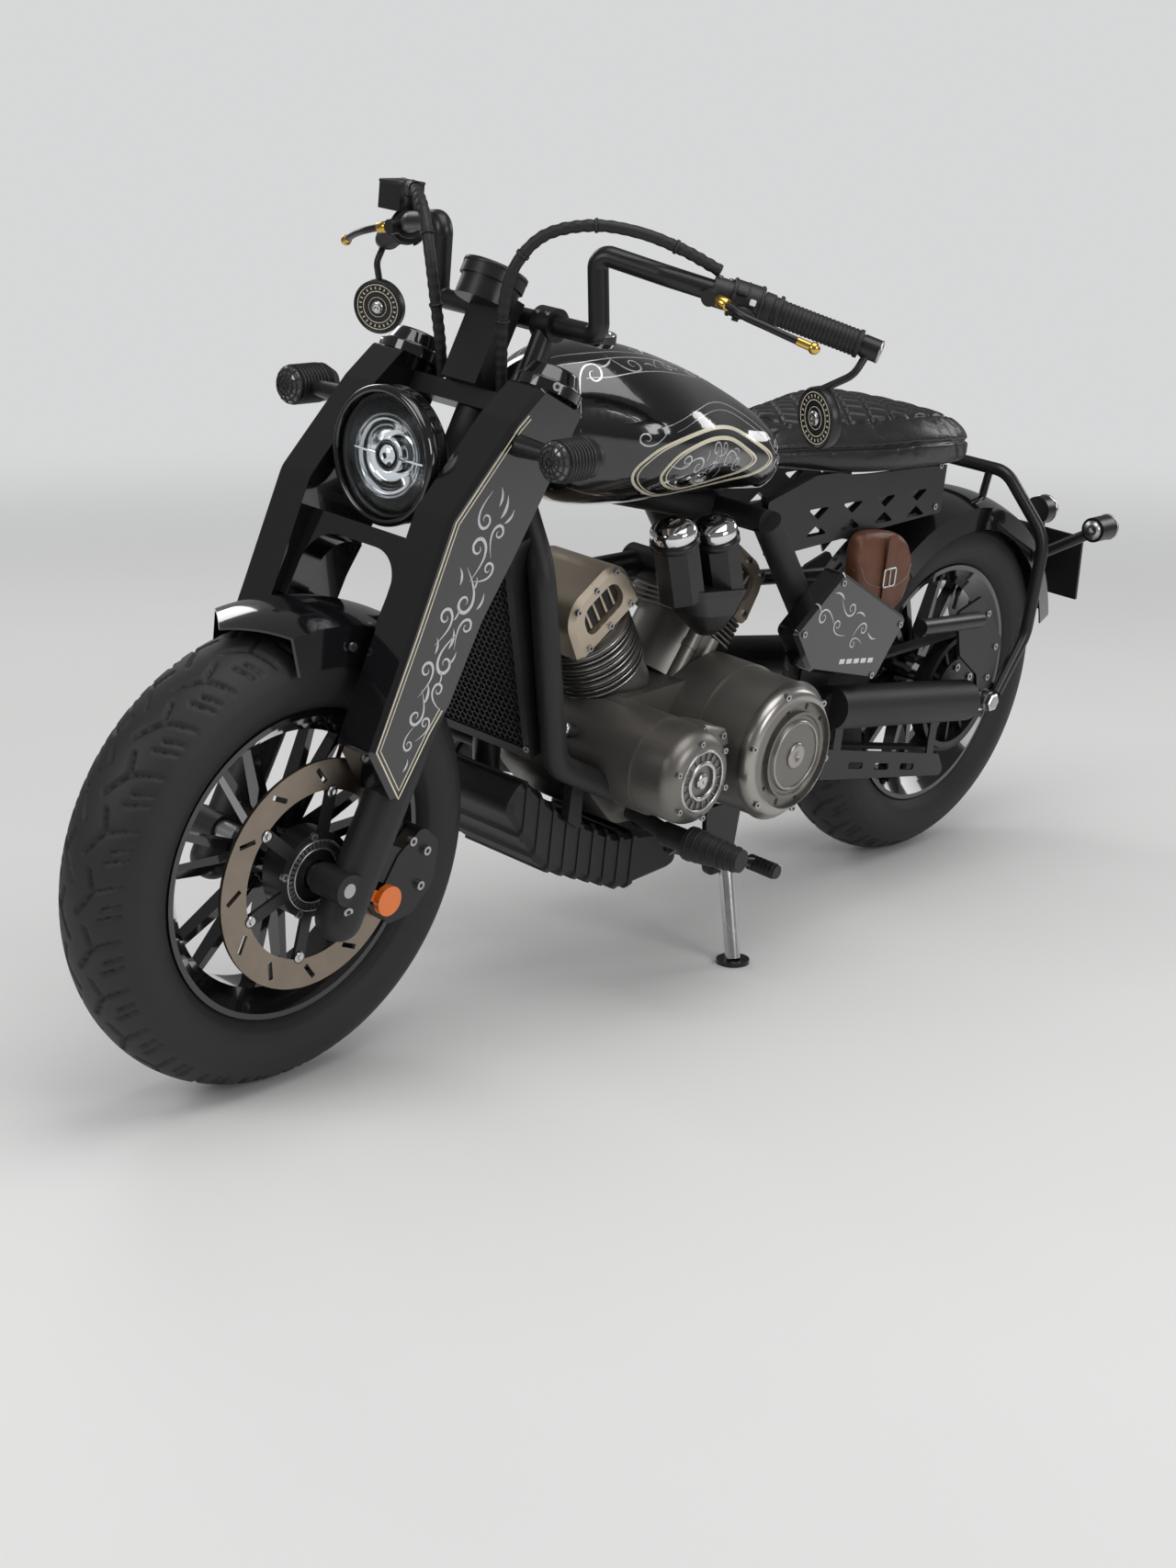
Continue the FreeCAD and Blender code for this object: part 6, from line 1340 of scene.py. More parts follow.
# spots: (point, direction) in the leaned machine's metres
def sewStitches(name, spots, long, wide, body, paint):
    values = {"Stitch long": long / 1000, "Stitch wide": wide / 1000, "Thread": paints[paint]}
    return runOnPoints(name, stitchTree, [at for at, _ in spots], "axis", [way for _, way in spots], values,
                       None, body)


def makeSeatStitches(pad):
    tree = meshTree(pad.data)
    down = (toRow.to_3x3() @ Vector((0, 0, -1))).normalized()
    spots = []
    for path in stitchPaths():
        last = None
        for x, y in path:
            spot, normal, _, _ = tree.ray_cast(toRow @ Vector((x, y, 1000)), down)
            if spot is None:
                last = None
                continue
            spot = spot + normal * 0.0003
            if last is not None and 0.002 < (spot - last).length < 0.012:
                spots.append(((spot + last) / 2, (spot - last).normalized()))
            last = spot
    sewStitches("seatStitches", spots, seatSettings["stitchLong"], seatSettings["stitchWide"], "chassis",
                "stitchThread")


seatCushion = makeSeat()
makeSeatStitches(seatCushion)
print("stage: seat")

# Side pouch: a sagging bag with a flap, strap and buckle

pouchSettings = {"inner": 101.0, "outer": 136.6, "sag": 3.5}
pouchOutline = [(384, 656), (330, 656), (270, 642), (240, 612), (236, 572), (254, 530), (300, 509),
                (344, 509), (380, 540), (394, 588), (396, 630)]


# Bulge of the bag: fuller low down, drawn in under the flap's edge
def pouchSurface(x, z, level):
    fullness = 1.0 - 0.25 * max(0.0, min(1.0, (z - 560) / 90))
    crease = 1.2 * math.exp(-((z - 566 - 0.1 * (x - 320)) / 5) ** 2)
    return level * fullness - crease


def makePouch():
    outline = closedCurve(pouchOutline)
    centre = sum(outline, Vector((0, 0))) / len(outline)
    layers = [(0.90, 0.0), (0.975, 1.0), (1.0, 6.0), (1.0, 14.0), (0.99, 21.0), (0.965, 27.0), (0.92, 31.0),
              (0.84, 33.4), (0.7, 34.6), (0.5, 35.1), (0.25, 35.3), (0.02, 35.4)]
    verts, faces = [], []
    for scale, level in layers:
        for index, point in enumerate(outline):
            spot = centre + (point - centre) * scale
            wobble = 0.5 * math.sin(index * 0.9 + level * 0.3) * (1 if 0.3 < scale < 0.99 else 0)
            y = pouchSettings["inner"] + pouchSurface(spot.x, spot.y, level) + wobble
            sagged = spot.y - pouchSettings["sag"] * max(0, (600 - spot.y) / 90) * (level / 36) * 0.6
            verts.append((spot.x, min(y, pouchSettings["outer"]), sagged))
    count = len(outline)
    for row in range(len(layers) - 1):
        for index in range(count):
            after = (index + 1) % count
            faces.append((row * count + index, row * count + after, (row + 1) * count + after,
                          (row + 1) * count + index))
    faces.append(tuple(range(count)))
    faces.append(tuple((len(layers) - 1) * count + index for index in reversed(range(count))))
    bag = turnOutwards(newObject("sidePouch", verts, faces))
    mod = bag.modifiers.new("soft", "SUBSURF")
    mod.levels = mod.render_levels = 1
    applyModifiers(bag)
    bag.data.shade_smooth()
    standOnBike(bag)
    dress(bag, "chassis", "brown_leather", "brownLeather", "side_pouch")
    return bag


pouchBag = makePouch()
pouchTree = meshTree(pouchBag.data)


# The flap follows the bag's outer face, a leather's thickness above it
def makeFlap():
    lower = [(396, 600), (380, 574), (340, 560), (300, 556), (262, 566), (240, 590)]
    upper = [(394, 640), (384, 655), (345, 657), (300, 649), (262, 634), (240, 606)]
    columns, rows = 40, 16
    top, bottom = smoothPath([(x, z, 0) for x, z in upper], 8), smoothPath([(x, z, 0) for x, z in lower], 8)
    verts, inverse = [], toRow.inverted()
    for index in range(columns + 1):
        a, b = top[index], bottom[index]
        for row in range(rows + 1):
            spot = a.lerp(b, row / rows)
            hit, normal, _, _ = pouchTree.ray_cast(toRow @ Vector((spot.x, 300, spot.y)),
                                                   (toRow.to_3x3() @ Vector((0, -1, 0))).normalized())
            y = (inverse @ hit).y if hit is not None else 118
            verts.append((spot.x, y + 0.2, spot.y))
    faces = []
    for index in range(columns):
        for row in range(rows):
            a = index * (rows + 1) + row
            faces.append((a, a + 1, a + rows + 2, a + rows + 1))
    flap = newObject("pouchFlap", verts, faces)
    mod = flap.modifiers.new("leather", "SOLIDIFY")
    mod.thickness, mod.offset = 2.0, -1.0
    applyModifiers(flap)
    turnOutwards(flap)
    smoothByAngle(flap, 40)
    standOnBike(flap)
    dress(flap, "chassis", "brown_leather", "brownLeather")


makeFlap()
strap = slab("pouchStrap", roundOutline([(306, 526, 4), (330, 526, 4), (330, 652, 2), (306, 652, 2)]), 136.8,
             138.8, 0.6)
mount(strap, None, "chassis", "brown_leather", "brownLeather")
buckleRing = tubeAlong("buckle",
                       [(p.x, 140.2, p.y)
                        for p in roundOutline([(302, 566, 4), (334, 566, 4), (334, 596, 4),
                                               (302, 596, 4)])], 1.9, 12, True)
tongue = tubeAlong("tongue", [(318, 140.6, 594), (318, 141.2, 580), (318, 141.0, 566)], 1.3, 8)
mount(joinPieces("pouchBuckle", [buckleRing, tongue]), None, "chassis", "steel", "brightMetal")
pouchStitches = []
lineDown = (toRow.to_3x3() @ Vector((0, -1, 0))).normalized()
flapEdge = [(390, 606, 0), (376, 581, 0), (338, 567, 0), (300, 563, 0), (266, 572, 0), (247, 594, 0)]
last = None
for p in smoothPath(flapEdge, 8):
    hit, normal, _, _ = pouchTree.ray_cast(toRow @ Vector((p.x, 300, p.y)), lineDown)
    if hit is None:
        last = None
        continue
    hit = hit - lineDown * 0.0024
    if last is not None:
        pouchStitches.append(((hit + last) / 2, (hit - last).normalized()))
    last = hit
sewStitches("pouchStitches", pouchStitches, 3.4, 0.9, "chassis", "creamThread")
print("stage: pouch")

# Repeated pieces: a template mesh set on points that carry their own turn

def makeRepeatTree():
    tree, start, end = newTree("repeatTemplate", (("Template", "Object"), ("Finish", "Material")))
    shape = tree.nodes.new("GeometryNodeObjectInfo")
    tree.links.new(start.outputs["Template"], shape.inputs["Object"])
    real, _ = copiesOnPoints(tree, start, shape.outputs["Geometry"], "spin", "FunctionNodeEulerToRotation",
                             "Euler")
    paintLast(tree, start, end, real, "Finish")
    return tree


repeatTree = makeRepeatTree()


# Places are matrices in bike millimetres; the template is in millimetres round its own origin
def repeatPiece(name, template, places, body, paint, degrees=35):
    template.data.transform(Matrix.Scale(0.001, 4))
    whole = [toRow @ place for place in places]
    obj = runOnPoints(name, repeatTree, [m.translation for m in whole], "spin",
                      [m.to_quaternion().to_euler() for m in whole],
                      {"Template": template, "Finish": paints[paint]}, degrees, body)
    bpy.data.objects.remove(template)
    return obj


# Radiator: six-sided mesh in front of the core, bolts at its corners

radiatorSettings = {"half": 80.0, "tall": 150.0, "pitch": 10.4, "wall": 1.5, "front": 30.3, "deep": 2.6}
radiatorPlace = shift(1111, 0, 575) @ spin(15, "Y")


def makeRadiatorMesh():
    pitch, wall = radiatorSettings["pitch"], radiatorSettings["wall"]
    outer, inner = pitch / math.sqrt(3), (pitch - wall) / math.sqrt(3)
    verts, faces = [], []
    for x in (0, radiatorSettings["deep"]):
        for radius in (outer, inner):
            for corner in range(6):
                angle = math.radians(60 * corner + 30)
                verts.append((x, radius * math.cos(angle), radius * math.sin(angle)))
    for corner in range(6):
        after = (corner + 1) % 6
        faces += [(corner, after, 6 + after, 6 + corner), (12 + corner, 18 + corner, 18 + after, 12 + after),
                  (corner, 12 + corner, 12 + after, after), (6 + corner, 6 + after, 18 + after, 18 + corner)]
    cell = turnOutwards(newObject("cell", verts, faces, False))
    places = []
    rows = int(radiatorSettings["tall"] * 2 / (pitch * 0.866))
    columns = int(radiatorSettings["half"] * 2 / pitch)
    for row in range(rows):
        for column in range(columns):
            y = (column - (columns - 1) / 2) * pitch + (pitch / 2 if row % 2 else 0) - pitch / 4
            z = (row - (rows - 1) / 2) * pitch * 0.866
            within = abs(y) < radiatorSettings["half"] - pitch / 2
            if within and abs(z) < radiatorSettings["tall"] - pitch / 2:
                places.append(radiatorPlace @ shift(radiatorSettings["front"], y, z))
    repeatPiece("radiatorMesh", cell, places, "chassis", "satinBlack")


makeRadiatorMesh()
frameBolts = [((34.4, side * 87, z), (1, 0, 0)) for side in (1, -1) for z in (-150, 150)]
boltHeads("radiatorBolts", frameBolts, 5, 3, "chassis", "steel", radiatorPlace)
print("stage: radiator")

# Bar controls: grips, switch panels, levers with gold tips, mirrors

barInner, barEnd = Vector((1006, 330, 1086)), Vector((931, 444, 1052))
barAlong = (barEnd - barInner).normalized()
barInward = (Vector((1088, 236, 1112)) - barInner).normalized()
gripSettings = {"radius": 17.6, "long": 118.0, "room": 14.35, "ribs": 19}


def flipSide(point, side):
    return Vector((point[0], point[1] * side, point[2]))


def makeGrip(side):
    r, long = gripSettings["radius"], gripSettings["long"]
    rows = [(gripSettings["room"], -19.5), (19.6, -19.5), (20.2, -18.6), (20.2, -6), (18.4, -4.6),
            (18.4, 0.4), (21.5, 0.4), (22, 1.6), (22, 4.4), (21, 5.4), (r, 6.6)]
    pitch = (long - 14) / gripSettings["ribs"]
    for index in range(gripSettings["ribs"]):
        at = 7 + index * pitch
        rows += [(r, at), (r, at + pitch * 0.62), (r - 0.9, at + pitch * 0.72), (r - 0.9, at + pitch * 0.92)]
    rows += [(r, long - 7), (r + 1.2, long - 5.5), (r + 1.2, long - 1.5), (r, long - 0.5),
             (gripSettings["room"], long - 0.5)]
    grip = lathe("grip", rows, 48, True)
    smoothByAngle(grip, 30)
    grip.data.transform(facing(flipSide(barEnd - barAlong * (2 + long), side), flipSide(barAlong, side)))
    return grip


mount(joinPieces("gripSleeves", [makeGrip(side) for side in (1, -1)]), None, "fork", "soft_rubber",
      "softRubber", "grips")


# A frame whose Y runs along the axis, with Z as near to upward as it can be
def axisFrame(origin, axis, upward=(0, 0, 1)):
    y = Vector(axis).normalized()
    z = (Vector(upward) - y * Vector(upward).dot(y)).normalized()
    x = y.cross(z)
    return Matrix.Translation(Vector(origin)) @ Matrix((x, y, z)).transposed().to_4x4()


buttonShapes = (
    # angle round the pod, along, wide, tall, rise, paint
    (150, 12, 12, 7, 3.4, "darkPlastic"), (188, 14, 8, 8, 4.4, "paleMark"),
    (120, 28, 9, 9, 3.6, "satinBlack"),
    (205, 30, 12, 6, 4.0, "darkPlastic"),
)
for side, label in ((1, "Left"), (-1, "Right")):
    place = axisFrame(flipSide(barInner, side), flipSide(barInward, side))
    seams, buttons = [], {"darkPlastic": [], "paleMark": [], "satinBlack": []}
    seams.append(lathe("ring", [(23.8, 20.2), (24.7, 20.6), (24.7, 22.4), (23.8, 22.8)], 64, True))
    seams.append(lathe("ring", [(23.8, 0.4), (25.4, 1.2), (25.4, 4.2), (23.8, 5)], 64, True))
    seams.append(lathe("ring", [(23.8, 37), (25.4, 37.8), (25.4, 41), (23.8, 41.8)], 64, True))
    panel = slab("panel", roundOutline([(-11, -9, 3), (11, -9, 3), (11, 9, 3), (-11, 9, 3)]), 0, 6, 1)
    panel.data.transform(shift(0, 21, 0) @ spin(150, "Y") @ shift(22.5, 0, 0) @ spin(-90, "Z"))
    seams.append(panel)
    for angle, along, wide, tall, rise, paint in buttonShapes:
        button = slab("button",
                      roundOutline([(-wide / 2, -tall / 2, 1.6), (wide / 2, -tall / 2, 1.6),
                                    (wide / 2, tall / 2, 1.6), (-wide / 2, tall / 2, 1.6)]), 0, rise + 3, 0.8)
        button.data.transform(shift(0, along, 0) @ spin(angle, "Y") @ shift(23, 0, 0) @ spin(-90, "Z"))
        buttons[paint].append(button)
    mount(joinPieces("switchSeams" + label, seams), place, "fork", "dark_plastic", "darkPlastic")
    for paint, parts in buttons.items():
        if parts:
            mount(joinPieces("switchButtons" + label + paint, parts), place, "fork", "dark_plastic", paint)
    perch = flipSide(barInner + barInward * 54, side)
    perchPlace = axisFrame(perch, flipSide(barInward, side))
    boltHeads("perchBolts" + label, [((0, -8, 19.6), (0, 0, 1)), ((0, 8, 19.6), (0, 0, 1))], 4, 4, "fork",
              "steel", perchPlace)
    root = barInner + barInward * 54 + Vector((34, 6, -4)) * 0.8 + Vector((-1, 12.4, -2))
    spots = [root, root + Vector((0.5, 22, -5)), root + Vector((2, 44, -12)), root + Vector((-10, 74, -21)),
             root + Vector((-24, 100, -30)), root + Vector((-42, 128, -40))]
    path = [flipSide(p, side) for p in smoothPath(spots, 6)]
    cutAt = int(len(path) * 0.84)
    blade = tubeAlong("blade", path[:cutAt + 1], 5.2, 12)
    adjust = lathe("adjust", [(0.01, -9), (7.4, -9), (8.2, -8), (8.2, 8), (7.4, 9), (0.01, 9)], 14, True)
    adjust.data.transform(facing(path[2], path[3] - path[2]))
    tip = tubeAlong("tip", path[cutAt:], 5.6, 12)
    ball = lathe("ball",
                 [(8 * math.sin(math.pi * k / 12) + 0.01, -8 * math.cos(math.pi * k / 12))
                  for k in range(13)], 24)
    ball.data.transform(Matrix.Translation(path[-1]))
    leverNodes = ("levers",) if side == 1 else ()
    mount(joinPieces("leverBlade" + label, [blade]), None, "fork", "satin_black", "satinBlack", *leverNodes)
    mount(joinPieces("leverGold" + label, [adjust, tip, ball]), None, "fork", "steel", "goldLever")
    facingWay = Vector((-0.93, 0.33 * side, 0.1)).normalized()
    mirrorAt = Vector((961, 418 * side, 955))
    glassPlace = facing(mirrorAt, facingWay)
    glass = lathe("mirrorGlass", [(0.01, 0.3), (37, 0.3), (37, 0.9), (0.01, 1.1)], 96, True)
    mount(glass, glassPlace, "fork", "steel", "mirrorGlass")
    rim = lathe("mirrorRim",
                [(37.2, 0.2), (38, 2), (40, 2), (40.8, 0.5), (40.8, -11.6), (40, -13), (38.5, -13.4),
                 (36, -12.4), (36, -12), (39.9, -11.9), (39.9, 0.2)], 96, True)
    mount(rim, glassPlace, "fork", "satin_black", "satinBlack")
    rings = [lathe("ring", [(r0, -12), (r0, -12.5), (r1, -12.5), (r1, -12)], 96, True)
             for r0, r1 in ((34.5, 33.2), (24.4, 23.2), (15.2, 14.4))]
    rings += fan("dash", [(27, -0.9, 0), (31, -0.9, 0), (31, 0.9, 0), (27, 0.9, 0)], -12.5, -12, 0,
                 [15 * index for index in range(24)])
    mount(joinPieces("mirrorRings" + label, rings), glassPlace, "fork", "gloss_black", "creamStripe")
    hub = lathe("mirrorHub", [(0.01, -12), (10, -12), (10, -14.5), (7, -16.5), (0.01, -17)], 48, True)
    mount(hub, glassPlace, "fork", "steel", "brightMetal")
    clampAt = flipSide(barEnd + Vector((-12, 18, -6)), side)
    cap = lathe("barCap", [(0.01, -1), (14.6, -1), (15.4, 0), (15.4, 2), (13, 3.4), (0.01, 3.8)], 48, True)
    mount(cap, facing(clampAt, flipSide(Vector((-12.3, 18, -6)), side)), "fork", "steel", "steel")
print("stage: bar controls")

# Fluid cup lid and its screws; risers' cap screws

cupAt = barInner + barInward * 54 - barInward * 36
cupLow = Vector((cupAt.x - 8, -cupAt.y - 22, cupAt.z + 25))
lid = slab("cupLid", roundOutline([(-1, 36.5, 2), (49, 36.5, 2), (49, 41, 3), (-1, 41, 3)]), -1, 45, 0.8)
mount(lid, Matrix.Translation(cupLow), "fork", "dark_plastic", "darkPlastic")
boltHeads("cupScrews", [((6, 6, 41.2), (0, 0, 1)), ((42, 38, 41.2), (0, 0, 1))], 3.2, 1.6, "fork",
          "steel", Matrix.Translation(cupLow))
riserBolts = []
for side in (1, -1):
    for across in (-9, 9):
        for ahead in (-14.4, 14.4):
            riserBolts.append(((1110 + ahead, side * 60 + across, 1020 + 16), (ahead / 60, 0, 1)))
boltHeads("riserBolts", riserBolts, 4.2, 5, "fork", "steel")

# Gauge: bezel, glass, marks round the dial and a needle

gaugeAxis = Vector((-0.42, 0, 0.9)).normalized()
gaugePlace = axisFrame(Vector((1178, 0, 1040)), gaugeAxis, (1, 0, 0.3))
bezel = lathe("gaugeBezel",
              [(40, 46.6), (41.5, 49.6), (43.6, 50.4), (45.4, 49), (45.6, 44), (45.1, 43.8), (45.1, 46.6)],
              96, True)
mount(bezel, gaugePlace, "fork", "satin_black", "satinBlack")
dial = lathe("gaugeDial", [(0.01, 47.1), (40.6, 47.1), (40.6, 47.7), (0.01, 48.6)], 96, True)
mount(dial, gaugePlace, "fork", "lens_glass", "dialGlass")
marks = []
for index in range(31):
    angle = math.radians(-130 + 260 * index / 30)
    long = 6 if index % 5 == 0 else 3.2
    mark = slab("mark",
                roundOutline([(37 - long, -0.6, 0), (37, -0.6, 0), (37, 0.6, 0), (37 - long, 0.6, 0)]), 48,
                48.7, 0)
    mark.data.transform(Matrix.Rotation(angle, 4, "Y"))
    marks.append(mark)
needle = slab("needle", roundOutline([(-6, -1.2, 0), (26, -0.4, 0), (26, 0.4, 0), (-6, 1.2, 0)]), 48.7, 49.3,
              0)
needle.data.transform(spin(-118, "Y"))
marks.append(needle)
mount(joinPieces("gaugeMarks", marks), gaugePlace, "fork", "dark_plastic", "paleMark")

# Looms: taped bundle with ridges and ties

loomPoints = [(1043, 286, 1125), (1082, 250, 1148), (1122, 208, 1164), (1160, 160, 1166), (1192, 110, 1146),
              (1208, 78, 1100), (1206, 64, 1044), (1196, 58, 985), (1187.5, 56, 932.5)]
loomSettings = {"radius": 7.6, "ridge": 0.55, "wave": 0.25}
for side, label in ((1, "Left"), (-1, "Right")):
    path = [flipSide(p, side) for p in smoothPath(loomPoints, 16)]
    radius = loomSettings["radius"]
    verts, faces, count = [], [], 16
    for index, point in enumerate(path):
        ahead = (path[min(index + 1, len(path) - 1)] - path[max(index - 1, 0)]).normalized()
        sideWay = ahead.cross(Vector((0.2, 0.1, 1))).normalized()
        up = sideWay.cross(ahead)
        ridge = loomSettings["ridge"] if index % 4 < 2 else 0.0
        r = radius + ridge + loomSettings["wave"] * math.sin(index * 1.7)
        for corner in range(count):
            angle = 2 * math.pi * corner / count + index * 0.05
            verts.append(point + sideWay * math.cos(angle) * r + up * math.sin(angle) * r)
    for index in range(len(path) - 1):
        for corner in range(count):
            after = (corner + 1) % count
            faces.append((index * count + corner, index * count + after, (index + 1) * count + after,
                          (index + 1) * count + corner))
    faces += [tuple(range(count)), tuple((len(path) - 1) * count + k for k in reversed(range(count)))]
    loom = turnOutwards(newObject("loomTaped" + label, verts, faces))
    smoothByAngle(loom, 60)
    mount(loom, None, "fork", "soft_rubber", "softRubber", *(("cables",) if side == 1 else ()))
    ties = []
    for index in (18, 46, 74, 100):
        tie = lathe("tie", [(8.2, -1.8), (9.6, -1.8), (9.6, 1.8), (8.2, 1.8)], 24, True)
        tie.data.transform(facing(path[index], path[index + 1] - path[index - 1]))
        ties.append(tie)
    mount(joinPieces("loomTies" + label, ties), None, "fork", "dark_plastic", "darkPlastic")
print("stage: cockpit")

# Lamps at the corners: ribbed front lamps, round rear lamps, tail lens, blank plate

for side, label in ((1, "Left"), (-1, "Right")):
    place = facing((1286, 250 * side, 890), (1, 0, 0))
    dome = [(26 * math.cos(t), 0.4 + 11 * math.sin(t)) for t in [math.pi / 2 * k / 10 for k in range(0, 10)]]
    lens = lathe("lampDome", dome + [(0.01, 11.4), (0.01, 0.4)], 48, True)
    mount(lens, place, "fork", "amber_lens", "smokeLens")
    cage = []
    for r0, rise in ((25.6, 1.4), (21, 6.6), (14.5, 9.9), (7, 11.3)):
        cage.append(lathe("ring",
                          [(r0 - 0.9, rise), (r0 - 0.9, rise + 1.6), (r0 + 0.9, rise + 1.2),
                           (r0 + 0.9, rise - 0.4)], 48, True))
    for index in range(12):
        angle = 2 * math.pi * index / 12
        bar = tubeAlong("bar",
                        [(26.2 * math.cos(t) * math.cos(angle), 0.8 + 11.2 * math.sin(t),
                          26.2 * math.cos(t) * math.sin(angle)) for t in [math.pi / 2 * k / 8
                                                                          for k in range(9)]], 0.9, 8)
        cage.append(bar)
    for at in range(8):
        cage.append(lathe("rib",
                          [(26.8, -6 - at * 6), (28, -5 - at * 6), (28, -3 - at * 6), (26.8, -2 - at * 6)],
                          48, True))
    mount(joinPieces("lampCage" + label, cage), place, "fork", "dark_plastic", "darkPlastic")
    place = facing((-270, 200 * side, 611), (-1, 0, 0))
    dome = [(21 * math.cos(t), 0.4 + 8 * math.sin(t)) for t in [math.pi / 2 * k / 10 for k in range(0, 10)]]
    lens = lathe("rearLens", dome + [(0.01, 8.4), (0.01, 0.4)], 48, True)
    mount(lens, place, "chassis", "amber_lens", "amberLens")
    ring = lathe("rearLampRing", [(21.2, -2), (22.8, -2), (23.4, 1), (22.4, 2.4), (21.2, 1.4)], 48, True)
    frontRing = lathe("rearLampFront", [(0.01, -50.4), (16, -50.4), (17, -52), (0.01, -53)], 48, True)
    mount(joinPieces("rearLampTrim" + label, [ring, frontRing]), place, "chassis", "steel", "steel")

place = facing((-396, 0, 584), (-1, 0, 0))
dome = [(24.6 * math.cos(t), 0.4 + 7 * math.sin(t)) for t in [math.pi / 2 * k / 10 for k in range(0, 10)]]
mount(lathe("tailLens", dome + [(0.01, 7.4), (0.01, 0.4)], 64, True), place, "chassis", "lens_glass",
      "redLens")
tailRing = lathe("tailRing", [(24.8, -3), (26.9, -3), (27.2, 1.4), (26, 2.6), (24.8, 1.6)], 64, True)
mount(tailRing, place, "chassis", "steel", "chrome")
plateTurn = axisFrame((-385.62, 0, 494.67), (-0.9945, 0, 0.1045), (0.1045, 0, 0.9945))
plate = slab("plateBlank", roundOutline([(-92, -54, 8), (92, -54, 8), (92, 54, 8), (-92, 54, 8)]), 0.3, 1.4,
             0.4)
edgeParts = [slab("edge", roundOutline([(-92, low, 2), (92, low, 2), (92, low + 3, 2), (-92, low + 3, 2)]),
                  1.4, 2.2, 0.3) for low in (-54, 51)]
mount(joinPieces("plateFace", [plate] + edgeParts), plateTurn, "chassis", "steel", "paleMark")
boltHeads("plateScrews", [((x, 1.6, z), (0, 1, 0)) for x in (-70, 70) for z in (-40, 40)], 4, 2, "chassis",
          "steel", plateTurn)
print("stage: lamps")

# Frame, swingarm and foot gear: bolts, nuts and rubber ribs

chassisBolts = []
for side in (1, -1):
    chassisBolts += [((x, side * 100.4, z), (0, side, 0)) for x, z in ((150, 742), (150, 672), (590, 668))]
    chassisBolts += [((x, side * 176.4, z), (0, side, 0))
                     for x, z in ((588, 536), (500, 606), (322, 512), (386, 436))]
boltHeads("frameBolts", chassisBolts, 5.4, 4, "chassis", "steel")
tailBolts = []
for side in (1, -1):
    tailBolts += [((x, side * 166.8, z), (0, side, 0))
                  for x, z in ((104, 480), (34, 486), (6, 366), (-6, 420))]
boltHeads("tailBolts", tailBolts, 5.8, 5, "chassis", "steel")
nut = lathe("nut", [(10.2, 0), (16.6, 0), (16.6, 9), (14, 11), (10.2, 11)], 6, True)
nut.data.transform(facing((0, 176.2, 323), (0, 1, 0)))
washer = lathe("washer", [(10.2, -0.4), (21, -0.4), (21, 1.6), (10.2, 1.6)], 48, True)
washer.data.transform(facing((0, 160.8, 323), (0, 1, 0)))
axleNut = joinPieces("axleNut", [nut, washer])
for polygon in axleNut.data.polygons:
    polygon.use_smooth = False
mount(axleNut, None, "chassis", "steel", "brightMetal")
guardBolts = [((381, 128.4, 350), (0, 1, 0)), ((89, 128.4, 306), (0, 1, 0))]
boltHeads("guardBolts", guardBolts, 5, 4, "chassis", "steel")
pegRibs = []
for side in (1, -1):
    along = Vector((-8, 91, 0)).normalized()
    start = Vector((888, 231, 276))
    for index in range(7):
        reach = 6 + index * 12.6
        radius = 26 - reach * 0.085
        ring = lathe("ring",
                     [(radius - 1.4, -2), (radius + 0.9, -1.4), (radius + 0.9, 1.4), (radius - 1.4, 2)], 40,
                     True)
        ring.data.transform(facing(flipSide(start + along * reach, side), flipSide(along, side)))
        pegRibs.append(ring)
mount(joinPieces("pegRibs", pegRibs), None, "chassis", "soft_rubber", "softRubber")
padRibs = []
for x, low, high, z, side in ((664, 184, 236, 178, 1), (1012, 184, 226, 236, -1)):
    sleeve = [(11.2, 0)]
    count = 7
    pitch = (high - low) / count
    for index in range(count):
        sleeve += [(12.8, index * pitch + 0.6), (12.8, index * pitch + pitch * 0.6),
                   (11.9, index * pitch + pitch * 0.75)]
    sleeve += [(11.2, high - low)]
    rib = lathe("sleeve", sleeve, 32, True)
    rib.data.transform(facing((x, side * low, z), (0, side, 0)))
    padRibs.append(rib)
mount(joinPieces("pedalSleeves", padRibs), None, "chassis", "soft_rubber", "softRubber")

# Side stand: return spring beside the leg

standTop, standLow = Vector((690, 152, 150)), Vector((700, 184, 66))
coil = []
turns = 13
for step in range(turns * 12 + 1):
    t = step / (turns * 12)
    centre = standTop.lerp(standLow, t) + Vector((-22, 0, 0))
    angle = 2 * math.pi * step / 12
    coil.append(centre + Vector((4.2 * math.cos(angle), 4.2 * math.sin(angle), 0)))
spring = tubeAlong("spring", coil, 1.1, 8)
hooks = [tubeAlong("hook", [standTop, standTop + Vector((-22, 0, 0))], 1.4, 8),
         tubeAlong("hook", [standLow, standLow + Vector((-22, 0, 0))], 1.4, 8)]
mount(joinPieces("standSpring", [spring] + hooks), None, "side_stand", "steel", "steel")
print("stage: frame and foot gear")

# Tank top: filler ring and mirrored pinstripe flourishes

def tankTopBand(path, widths):
    down = (toRow.to_3x3() @ Vector((0, 0, -1))).normalized()
    inverse = toRow.inverted()
    points, normals = [], []
    for x, y in denser(path, 7):
        spot, normal, _, _ = tankTree.ray_cast(toRow @ Vector((x, y, 1300)), down)
        if spot is not None:
            points.append(inverse @ spot)
            flat = (inverse.to_3x3() @ normal).normalized()
            normals.append(flat if flat.z > 0 else -flat)
    if len(points) < 3:
        return None
    widths = [widths[min(len(widths) - 1, int(i * len(widths) / len(points)))] for i in range(len(points))]
    return ribbonParts(points, normals, widths, 0.4)


